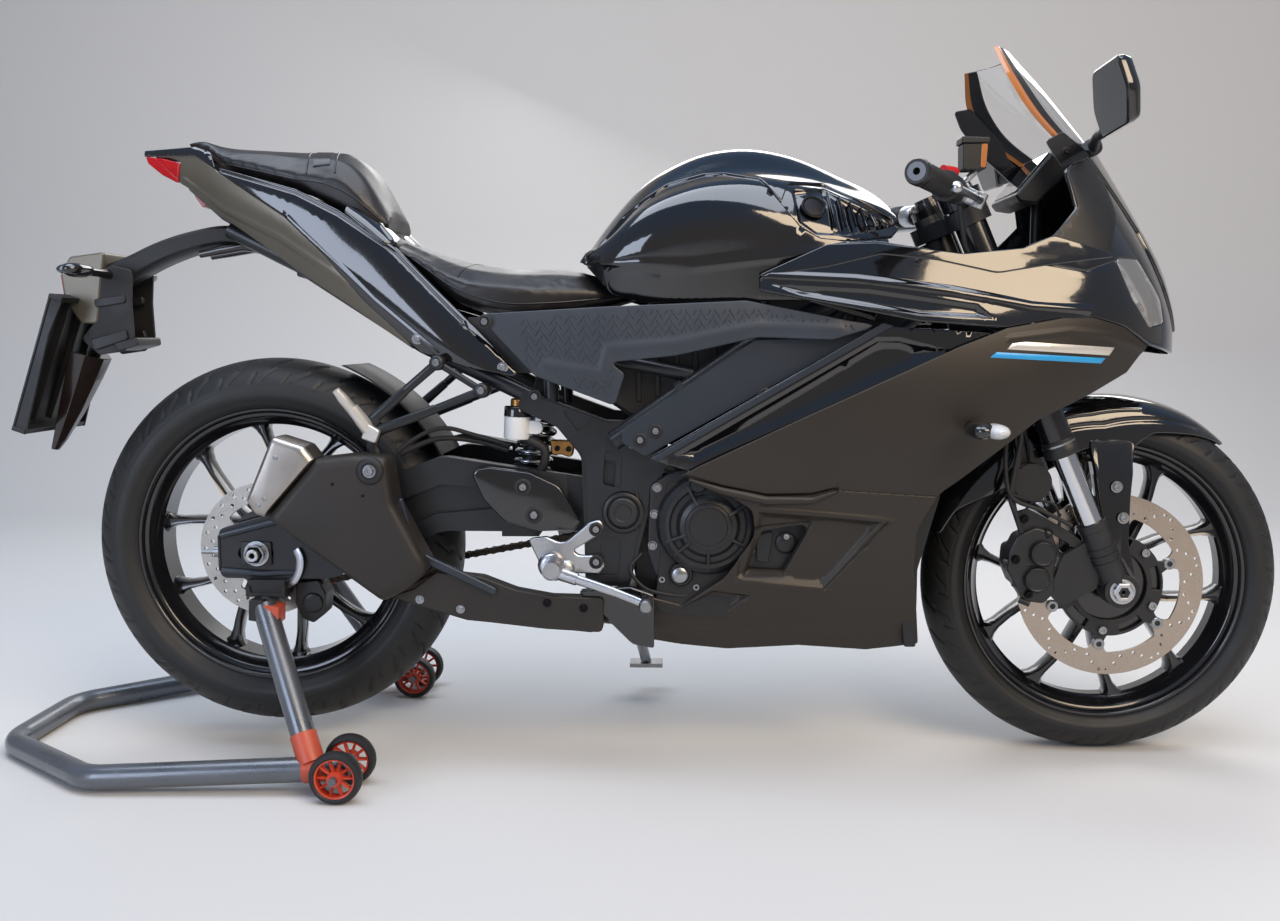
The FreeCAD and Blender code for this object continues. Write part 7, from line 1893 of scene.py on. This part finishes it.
def silencer_pieces(look):
    body = ((42, 416, 8), (221, 285, 12), (262, 306, 14), (296, 336, 24), (242, 440, 30), (232, 511, 10),
            (180, 514, 20), (122, 507, 4))
    piece("silencer_body", pillow(body, -151, -212, 17.0, step=6.0, turns=6), MAT["silencer"],
            replaces=["silencer"], smooth=32)
    cap = ((12, 442, 8), (26, 420, 8), (40, 416.5, 2), (121, 507.5, 2), (106, 527, 8), (56, 543, 9))
    piece("silencer_end", pillow(cap, -153, -210, 12.0, step=6.0, turns=5), MAT["brushed"],
            replaces=["silencer_cap"], smooth=32)
    outlet = turned([(17, -6), (22, -6), (22, 0.6), (19, 2), (17, 0.6)], (36, -182, 492), (-0.92, 0, 0.40),
            36, closed=True)
    throat = turned([(0, -6), (17.5, -6), (17.5, -4), (0, -4)], (36, -182, 492), (-0.92, 0, 0.40), 36)
    piece("silencer_outlet", outlet, MAT["brushed"])
    piece("silencer_throat", throat, MAT["dark_bolt"])
    spots = [((x, -209.8, z), (0, -1, 0)) for x, z in ((43, 446), (33, 436), (62, 510))]
    repeated("silencer_rivets", bolt_unit(3.6, 1.8, 0.0, 0.3), spots, MAT["bolt"])
    spots = [((x, -211.8, z), (0, -1, 0)) for x, z in ((150, 470), (196, 452))]
    repeated("silencer_pins", bolt_unit(2.4, 1.4, 0.0, 0.3), spots, MAT["dark_bolt"])
    washer = lathe_at((208, -208, 490), -1, [(0, 0), (21, 0), (21, 5), (18, 8), (13, 8.4), (12, 7), (0, 7)],
            36)
    piece("silencer_washer", washer, MAT["rubber"], smooth=50)
    repeated("silencer_hanger_bolt", bolt_unit(7.0, 5.0, 10.0), [((208, -214.8, 490), (0, -1, 0))],
            MAT["bolt"])
    tail_box = ((224, 290, 6), (262, 276, 20), (346, 252, 40), (470, 238, 40), (560, 233, 10),
            (562, 288, 10), (480, 290, 30), (424, 300, 30), (372, 320, 30),
                (300, 328, 8), (262, 300, 10))
    cover = slab([(518, 298, 6), (604, 304, 6), (640, 292, 4), (640, 206, 4), (606, 212, 20),
            (562, 256, 30)], -171, -156)
    piece("exhaust_joint_cover", cover, MAT["gloss_trim"], bevel=3.0, smooth=50)
    piece("exhaust_shield", slab(tail_box, -179, -150, step=9.0), MAT["silencer"],
            bevel=5.0, smooth=50)
    lip = slab([(240, 441, 6), (249, 446, 6), (266, 386, 20), (286, 356, 20), (396, 303, 8), (392, 292, 4),
            (280, 344, 20), (256, 380, 20)], -186, -174)
    piece("exhaust_heat_lip", lip, MAT["satin_blue"], bevel=2.0)
    for name, metal, places in (("bolts", "bolt", ((267, 280), (331, 265))),
            ("studs", "dark_bolt", ((467, 276), (524, 268)))):
        spots = [((x + 6, -179, z + 4), (0, -1, 0)) for x, z in places]
        repeated("exhaust_shield_" + name, bolt_unit(4.6, 3.0, 6.8), spots, MAT[metal])


def swingarm_pieces(look):
    rails, blocks, strips = [], [], []
    for s in (-1, 1):
        rails.append(tube([(-58, s * 133, 376), (20, s * 133, 396), (96, s * 131, 412)], (5.5, 5.5, 3.5),
                10, flat=0.7))
        rails.append(tube([(-58, s * 133, 318), (10, s * 133, 314), (70, s * 131, 316)], (5.5, 5.5, 3.5),
                10, flat=0.7))
        blocks.append(pillow(((-26, 366, 3), (24, 366, 3), (24, 328, 3), (-26, 328, 3)), s * 130.2,
                s * 134.5, 1.2))
        blocks.append(slab([(-64, 376, 3), (-60, 376, 3), (-60, 318, 3), (-64, 318, 3)], s * 101, s * 132))
        strips.append(turned([(13.0, 0), (17.0, 0), (17.0, 12), (15.5, 14), (10.0, 14), (9.0, 10),
                (6.0, 10), (6.0, 0)], (0, s * 134, 347), (0, s, 0), 6, closed=True))
        strips.append(turned([(6.0, 9), (10.2, 9), (10.2, 22), (9.0, 23.4), (5.4, 23.4), (4.2, 22),
                (4.2, 9)], (0, s * 134, 347), (0, s, 0), 28, closed=True))
        strips.append(turned([(8.0, 0), (20.5, 0), (20.5, 2.2), (8.0, 2.6)], (0, s * 134, 347), (0, s, 0),
                32, closed=True))
    piece("swingarm_rails", joined(rails), MAT["satin_blue"], smooth=60)
    piece("swingarm_blocks", joined(blocks), MAT["cast"], bevel=0.8)
    piece("rear_axle_nuts", joined(strips), MAT["alloy"], bevel=0.6)
    guard = tube(curve_points([(64, -134, 354), (70, -136, 342), (69, -136, 322), (59, -134, 303),
            (47, -130, 295)], 5.0), (7.0, 7.5, 6.5, 6.0), 10, flat=0.35)
    piece("sensor_guard", guard, MAT["alloy"], smooth=60)
    spots = [((46, -126, 300), (0, -1, 0)), ((10, -96, 392), (0, -1, 0))]
    repeated("rear_bracket_bolts", bolt_unit(6.4, 5.0, 9.0), spots, MAT["bolt"])
    caliper = [slab([(56, 296, 8), (92, 300, 8), (104, 276, 10), (100, 244, 10), (82, 228, 8), (62, 236, 8),
            (52, 262, 8)], -112, -66)]
    caliper.append(lathe_at((82, -108, 262), -1, [(0, 0), (17, 0), (17, 6), (14, 9), (0, 9)], 28))
    caliper.append(slab([(58, 290, 3), (58, 334, 8), (98, 334, 8), (98, 290, 3)], -102.7, -95))
    piece("rear_caliper_body", joined(caliper), MAT["cast"], replaces=["rear_caliper"],
            bevel=2.4)


def shock_pieces(look):
    low, high = Vector((425.0, 0, 445.0)), Vector((456.0, 0, 642.0))
    axis = (high - low).normalized()
    body = [turned([(0, 10), (13, 10), (13, 20), (33, 22), (34, 26), (30, 32), (20, 34), (20, 118),
            (16, 120), (16, 140), (33, 146), (34, 152), (30, 156), (18, 158),
                    (15, 190), (0, 190)], low, axis, 36)]
    body += [turned([(0, -18.5), (15, -18.5), (15, 18.5), (0, 18.5)], p, (0, 1, 0), 28)
            for p in (low, high)]
    piece("shock_body", joined(body), MAT["cast"], replaces=["rear_shock"], smooth=35)
    _, side, other = frame_about(axis)
    turns, count = 7.0, 170
    coil = [low + axis * (32 + 114 * k / count) + (side * math.cos(2 * math.pi * turns * k / count) + other
            * math.sin(2 * math.pi * turns * k / count)) * 28
            for k in range(count + 1)]
    piece("shock_spring", tube(coil, 5.0, 10), MAT["spring"], smooth=70)
    y = -118
    pot = turned([(0, 0), (20, 0), (21, 3), (21, 36), (0, 36)], (420, y, 532), (0.05, 0, 1), 36)
    band = turned([(0, 36), (21.8, 36), (21.8, 50), (20, 52), (0, 52)], (420, y, 532), (0.05, 0, 1), 36)
    cap = turned([(0, 52), (12, 52), (12, 62), (10, 64), (0, 64)], (420, y, 532), (0.05, 0, 1), 24)
    ear = slab([(436, 562, 8), (462, 560, 10), (462, 540, 10), (436, 540, 8)], y - 8, y + 2)
    stay = tube([(452, y + 2, 552), (456, -122, 566)], 5.0, 10)
    piece("rear_fluid_pot", joined([pot, ear, stay]), MAT["pot"], bevel=0.8, smooth=50)
    piece("rear_fluid_band", band, MAT["screen_dark"], smooth=50)
    piece("rear_fluid_cap", cap, MAT["brass"], bevel=0.8)
    hose = [tube(curve_points(((428, y, 534), (448, y, 526), (464, y + 2, 514), (464, y + 4, 496),
            (456, y + 8, 478)), 5.0), 7.5, 14),
            tube(curve_points(((408, -104, 520), (350, -100, 536), (300, -108, 548), (240, -122, 520),
                (196, -126, 470), (120, -120, 424)), 8.0), 3.6, 10),
            tube(curve_points(((404, -98, 512), (350, -92, 526), (290, -100, 530), (230, -112, 506)), 8.0),
                4.4, 10)]
    piece("rear_hoses", joined(hose), MAT["rubber"], smooth=60)
    block = slab([(472, 530, 5), (512, 528, 8), (508, 500, 12), (490, 506, 6), (474, 504, 8)], -112, -96)
    piece("rear_brass_joint", block, MAT["brass"], bevel=2.0)
    repeated("rear_joint_bolts", bolt_unit(4.4, 4.0), [((x, -112, z), (0, -1, 0))
            for x, z in ((484, 516), (502, 515))], MAT["dark_bolt"])


def chain_pieces(look):
    """Chain links along the loop about both sprockets."""
    big, small, pitch = 90.0 + 7.5, 31.0 + 7.5, 15.875
    x2, z2 = 676.0, 414.0 - 347.0
    length, tilt = math.hypot(x2, z2), math.atan2(z2, x2)
    lean = math.asin((big - small) / length)
    up, down = tilt + math.pi / 2 - lean, tilt - math.pi / 2 + lean
    path = [(x2 + small * math.cos(a), z2 + small * math.sin(a)) for a in np.linspace(up, down, 14)]
    path += [(big * math.cos(a), big * math.sin(a)) for a in np.linspace(down, up - 2 * math.pi, 40)]
    path.append(path[0])
    path = np.array(path)
    along = np.concatenate([[0], np.cumsum(np.linalg.norm(np.diff(path, axis=0), axis=1))])
    count = int(round(along[-1] / pitch / 2)) * 2
    where = np.linspace(0, along[-1], count, endpoint=False)
    x, z = np.interp(where, along, path[:, 0]), np.interp(where, along, path[:, 1])
    ahead = np.stack([np.roll(x, -1) - np.roll(x, 1), np.roll(z, -1) - np.roll(z, 1)], axis=1)
    spots = [((x[i], CHAIN_Y, REAR_AXLE[1] + z[i]), (0, 1, 0), (ahead[i][0], 0, ahead[i][1]), 1.0)
            for i in range(count)]
    for name, first, gap in (("outer", 0, 7.6), ("inner", 1, 5.4)):
        line = [(p[0], p[1]) for p in rounded(((-13, 6.5, 6), (-3, 4.6, 4), (3, 4.6, 4), (13, 6.5, 6),
                (13, -6.5, 6), (3, -4.6, 4), (-3, -4.6, 4), (-13, -6.5, 6)), 9.0)]
        unit = joined([skin([[(u, v, w) for u, v in line] for w in (side * gap, side * (gap + 1.6))])
                for side in (-1, 1)]
                      + [turned([(0, -gap - 3), (3.6, -gap - 3), (3.6, gap + 3), (0, gap + 3)], (u, 0, 0),
                          (0, 0, 1), 10) for u in (-7.9, 7.9)])
        repeated(f"drive_chain_{name}_links", unit, spots[first::2], MAT["chain"],
                replaces=["drive_chain"] if first == 0 else ())


def stand_pieces(look):
    x, z, w = 168.0, 40.0, 258.0
    for side, s in (("right", -1), ("left", 1)):
        treads, hubs = [], []
        for inner in (w - 52, w + 26):
            y0, y1 = sorted((s * inner, s * (inner + 26)))
            mid = (y0 + y1) / 2
            treads.append(wheel_turned([(30.5, y0 + 4), (33, y0 + 2), (37.5, y0 + 3), (40, y0 + 9),
                    (40, y1 - 9), (37.5, y1 - 3), (33, y1 - 2), (30.5, y1 - 4)], (x, z), 40, closed=True))
            hubs.append(wheel_turned([(28, y0 + 5), (30.6, y0 + 4), (30.6, y1 - 4), (28, y1 - 5)], (x, z),
                    40, closed=True))
            hubs.append(wheel_turned([(6.2, y0), (10.5, y0), (11.5, y0 + 3), (11.5, y1 - 3), (10.5, y1),
                    (6.2, y1)], (x, z), 28, closed=True))
            for k in range(10):
                a, b = polar((x, z), 10, 36 * k), polar((x, z), 29.5, 36 * k)
                hubs.append(tube([(a[0], mid, a[1]), (b[0], mid, b[1])], (2.6, 2.0), 8, flat=2.4))
        piece(f"stand_tread_{side}", joined(treads), MAT["rubber"], f"stand_wheels_{side}",
                smooth=50)
        piece(f"stand_hubs_{side}", joined(hubs), MAT["hub_red"], f"stand_wheels_{side}",
                [f"stand_wheels_{side}"], smooth=50)
    sleeves, boxes = [], []
    for s in (-1, 1):
        a, b = Vector((16, s * 152, 266)), Vector((120, s * 258, 46))
        sleeves.append(tube([a.lerp(b, 0.82), a.lerp(b, 1.0)], 20.5, 24))
        sleeves.append(tube([(108, s * 259, 37), (146, s * 258, 40)], 20.5, 24))
        sleeves.append(slab([(20, 243, 2), (44, 240, 2), (46, 268, 2), (22, 271, 2)],
                *sorted((s * 136, s * 172))))
        boxes.append(slab([(-4, 246, 2), (18, 243, 2), (20, 278, 2), (-2, 279, 2)],
                *sorted((s * 128, s * 170))))
        boxes.append(slab([(-16, 279, 2), (48, 279, 2), (48, 296, 4), (42, 296, 2), (40, 285, 2),
                (-8, 285, 2), (-10, 296, 2), (-16, 296, 4)], *sorted((s * 102, s * 146))))
    piece("stand_red_sleeves", joined(sleeves), MAT["stand_red"], bevel=0.8, smooth=50)
    piece("stand_top_boxes", joined(boxes), MAT["rubber"], bevel=1.0, smooth=50)


# Camera and stage
def make_camera(look):
    data = bpy.data.cameras.new("Photo camera")
    data.sensor_width = 36.0
    data.lens = 32.43
    data.clip_end = 60.0
    cam = bpy.data.objects.new("Photo camera", data)
    bpy.context.scene.collection.objects.link(cam)
    yaw, pitch, roll = -0.0335, -0.1052, -0.001
    forward = Vector((math.sin(yaw) * math.cos(pitch), math.cos(yaw) * math.cos(pitch), math.sin(pitch)))
    right = forward.cross(Vector((0, 0, 1))).normalized()
    up = right.cross(forward)
    turn = Matrix((right, up, -forward)).transposed().to_4x4()
    cam.matrix_world = Matrix.Translation((0.0694, -1.9404, 0.6900)) @ turn @ Matrix.Rotation(roll, 4, "Z")
    bpy.context.scene.camera = cam


def make_stage(look):
    """Pale swept floor and wall, soft lamps and an even sky."""
    scene = bpy.context.scene
    scene.view_settings.view_transform = "Standard"
    profile = [(-6.0, 0.0), (2.4, 0.0)]
    profile += [(2.4 + 1.2 * math.sin(a), 1.2 - 1.2 * math.cos(a))
            for a in (math.radians(9 * i) for i in range(1, 11))]
    profile += [(3.6, 6.0)]
    mesh = bpy.data.meshes.new("Swept backdrop")
    points = [(x, y, z) for y, z in profile for x in (-9.0, 9.0)]
    mesh.from_pydata(points, [], [(2 * i, 2 * i + 1, 2 * i + 3, 2 * i + 2)
            for i in range(len(profile) - 1)])
    mesh.shade_smooth()
    paper = bpy.data.materials.new("Studio paper")
    paper.use_nodes = True
    tree = paper.node_tree
    tree.nodes.clear()
    out = add_node(tree, "ShaderNodeBsdfPrincipled", {"Base Color": linear("C9C8C6"), "Roughness": 0.75})
    add_node(tree, "ShaderNodeOutputMaterial", {"Surface": out.outputs[0]})
    mesh.materials.append(paper)
    sweep = bpy.data.objects.new("Swept backdrop", mesh)
    scene.collection.objects.link(sweep)
    world = bpy.data.worlds.new("Sky")
    world.use_nodes = True
    scene.world = world
    tree = world.node_tree
    tree.nodes.clear()
    spot = add_node(tree, "ShaderNodeTexCoord").outputs["Generated"]
    height = add_node(tree, "ShaderNodeSeparateXYZ", {0: spot}).outputs[2]
    ramp = add_node(tree, "ShaderNodeMapRange", {"Value": height, "From Min": -0.2, "From Max": 0.9,
            "To Min": 0.0, "To Max": 1.0}).outputs[0]
    sky = add_node(tree, "ShaderNodeMix", {0: ramp, 6: linear("C8BDB0"), 7: linear("93B9E8")},
            data_type="RGBA").outputs[2]
    back = add_node(tree, "ShaderNodeBackground", {"Color": sky, "Strength": look.sky_strength})
    add_node(tree, "ShaderNodeOutputWorld", {"Surface": back.outputs[0]})
    lamps = (("Key", (2.6, -3.6, 3.4), (0.1, 0, 0.5), 3.2, 2.2, 190, "FFE6C4"),
            ("Overhead", (-0.3, -0.6, 3.6), (0.0, 0, 0.6), 4.4, 2.0, 115, "EEF4FF"),
             ("Side fill", (-2.8, -3.4, 1.5), (-0.2, 0, 0.5), 1.6, 2.2, 60, "DCE8FF"),
             ("Rim", (0.8, 2.6, 2.6), (0, 0, 0.7), 3.4, 1.6, 60, "FFFFFF"))
    for name, spot, aim, wide, high, power, colour in lamps:
        data = bpy.data.lights.new(name, "AREA")
        data.shape = "RECTANGLE"
        data.size, data.size_y = wide, high
        data.energy = power * look.lamp_strength
        data.color = linear(colour)[:3]
        lamp = bpy.data.objects.new(name, data)
        lamp.location = spot
        lamp.rotation_euler = (Vector(aim) - Vector(spot)).to_track_quat("-Z", "Y").to_euler()
        scene.collection.objects.link(lamp)


# Sizes and light that can be set
class BIKE_PG_look(bpy.types.PropertyGroup):
    """Sizes and light of the sport bike's looks"""

    dash_pitch: FloatProperty(name="Dash pitch",
            description="Spacing of the raised dashes on the side covers", default=0.011,
                              min=0.006, max=0.05, unit="LENGTH", subtype="DISTANCE")
    sky_strength: FloatProperty(name="Sky strength", description="Strength of the even light all round",
            default=0.55, min=0.0, max=5.0)
    lamp_strength: FloatProperty(name="Lamp strength", description="Factor on every studio lamp",
            default=1.0, min=0.0, max=10.0)


class BIKE_OT_stage(bpy.types.Operator):
    """Sets the photo camera, the pale sweep and the lamps"""

    bl_idname = "sport_bike.stage"
    bl_label = "Stage and camera"

    def execute(self, context):
        make_camera(context.scene.sport_bike)
        make_stage(context.scene.sport_bike)
        return {"FINISHED"}


class BIKE_OT_dress(bpy.types.Operator):
    """Gives every CAD piece that shows its finish"""

    bl_idname = "sport_bike.dress"
    bl_label = "Finishes"

    def execute(self, context):
        make_finishes()
        return {"FINISHED"}


class BIKE_OT_fairings(bpy.types.Operator):
    """Builds the side and upper fairings with their laps, ducts and lamps"""

    bl_idname = "sport_bike.fairings"
    bl_label = "Fairings"

    def execute(self, context):
        look = context.scene.sport_bike
        make_side_fairings(look)
        make_upper_fairings(look)
        make_side_cover_skins(look)
        make_inner_panel_skins(look)
        return {"FINISHED"}


class BIKE_OT_tank(bpy.types.Operator):
    """Builds the tank sides, its top band, badge places and louvres"""

    bl_idname = "sport_bike.tank"
    bl_label = "Fuel tank"

    def execute(self, context):
        make_tank(context.scene.sport_bike)
        return {"FINISHED"}


class BIKE_OT_wheels(bpy.types.Operator):
    """Builds both wheels: tyres with their tread, spoked rims and drilled discs"""

    bl_idname = "sport_bike.wheels"
    bl_label = "Wheels"

    def execute(self, context):
        look = context.scene.sport_bike
        front_wheel_pieces(look)
        rear_wheel_pieces(look)
        return {"FINISHED"}


class BIKE_OT_front_end(bpy.types.Operator):
    """Builds the fork's tubes and collars, the fender, the caliper and the horn"""

    bl_idname = "sport_bike.front_end"
    bl_label = "Front end"

    def execute(self, context):
        look = context.scene.sport_bike
        fork_pieces(look)
        fender_pieces(look)
        caliper_pieces(look)
        horn_pieces(look)
        return {"FINISHED"}


class BIKE_OT_seats(bpy.types.Operator):
    """Builds the stuffed seats with their seams and strap"""

    bl_idname = "sport_bike.seats"
    bl_label = "Seats"

    def execute(self, context):
        seat_pieces(context.scene.sport_bike)
        return {"FINISHED"}


class BIKE_OT_tail(bpy.types.Operator):
    """Builds the tail cowl, its lamp, the number plate and the indicators"""

    bl_idname = "sport_bike.tail"
    bl_label = "Tail"

    def execute(self, context):
        look = context.scene.sport_bike
        tail_pieces(look)
        plate_pieces(look)
        indicator_pieces(look)
        return {"FINISHED"}


class BIKE_OT_cockpit(bpy.types.Operator):
    """Builds the windscreen, the mirrors, the instruments and the hand controls"""

    bl_idname = "sport_bike.cockpit"
    bl_label = "Screen and cockpit"

    def execute(self, context):
        look = context.scene.sport_bike
        screen_pieces(look)
        mirror_pieces(look)
        cockpit_pieces(look)
        return {"FINISHED"}


class BIKE_OT_engine(bpy.types.Operator):
    """Builds the engine covers, the frame's caps and bolts and the silencer"""

    bl_idname = "sport_bike.engine"
    bl_label = "Engine and silencer"

    def execute(self, context):
        look = context.scene.sport_bike
        engine_pieces(look)
        inner_pieces(look)
        plate_relief(look)
        frame_pieces(look)
        silencer_pieces(look)
        return {"FINISHED"}


class BIKE_OT_running_gear(bpy.types.Operator):
    """Builds the footrests, pedals, swingarm dress, shock, chain and paddock stand"""

    bl_idname = "sport_bike.running_gear"
    bl_label = "Running gear and stand"

    def execute(self, context):
        look = context.scene.sport_bike
        heel_pieces(look)
        pedal_pieces(look)
        hanger_pieces(look)
        swingarm_pieces(look)
        shock_pieces(look)
        chain_pieces(look)
        stand_pieces(look)
        return {"FINISHED"}


class BIKE_PT_panel(bpy.types.Panel):
    """Sport bike sizes and pieces"""

    bl_idname = "BIKE_PT_panel"
    bl_label = "Sport Bike"
    bl_space_type = "VIEW_3D"
    bl_region_type = "UI"
    bl_category = "Sport Bike"

    def draw(self, context):
        look = context.scene.sport_bike
        for key in ("dash_pitch", "sky_strength", "lamp_strength"):
            self.layout.prop(look, key)
        for operator in OPERATORS:
            self.layout.operator(operator.bl_idname)


OPERATORS = (BIKE_OT_stage, BIKE_OT_dress, BIKE_OT_fairings, BIKE_OT_tank, BIKE_OT_wheels,
        BIKE_OT_front_end, BIKE_OT_seats,
             BIKE_OT_tail, BIKE_OT_cockpit, BIKE_OT_engine, BIKE_OT_running_gear)
CLASSES = (BIKE_PG_look, *OPERATORS, BIKE_PT_panel)

FINISHES = {
    "tyre": "front_tyre rear_tyre", "wheel": "front_rim rear_rim", "front_disc": "front_disc",
    "rear_disc": "rear_disc",
    "frame": "main_frame seat_subframe swingarm",
    "cast": "front_caliper rear_caliper triple_clamps fork_feet plate_holder",
    "engine": "engine_block engine_covers", "fork_black": "fork_tubes handlebars", "chrome": "fork_sliders",
    "steel": "rear_axle rear_sprocket side_stand",
    "chain": "drive_chain", "spring": "rear_shock",
    "gloss": "upper_fairing fuel_tank tank_cover tail_cowl front_fender",
    "matt": "side_fairings", "grain": "side_covers", "hugger": "rear_hugger",
    "trim": "inner_panels mirrors indicators horn instruments passenger_footrests",
    "vinyl": "rider_seat passenger_seat", "clear": "windscreen", "lamp": "headlights",
    "red_lens": "tail_light",
    "white": "number_plate", "silencer": "silencer", "brushed": "silencer_cap", "pipe": "exhaust_pipes",
    "fins": "radiator", "stand": "stand_frame",
    "rubber": "stand_pads hand_grips brake_hose", "hub_red": "stand_wheels_left stand_wheels_right",
    "alloy": "rider_footrests foot_pedals hand_controls",
}


def make_finishes():
    for finish_name, names in FINISHES.items():
        for node in names.split():
            if node in NODES:
                dress(node, MAT[finish_name])


def register():
    for kind in CLASSES:
        bpy.utils.register_class(kind)
    bpy.types.Scene.sport_bike = PointerProperty(type=BIKE_PG_look)


def unregister():
    del bpy.types.Scene.sport_bike
    for kind in reversed(CLASSES):
        bpy.utils.unregister_class(kind)


def main():
    """Builds everything in order."""
    register()
    for operator in OPERATORS:
        group, name = operator.bl_idname.split(".")
        getattr(getattr(bpy.ops, group), name)()


if __name__ == "__main__":
    main()
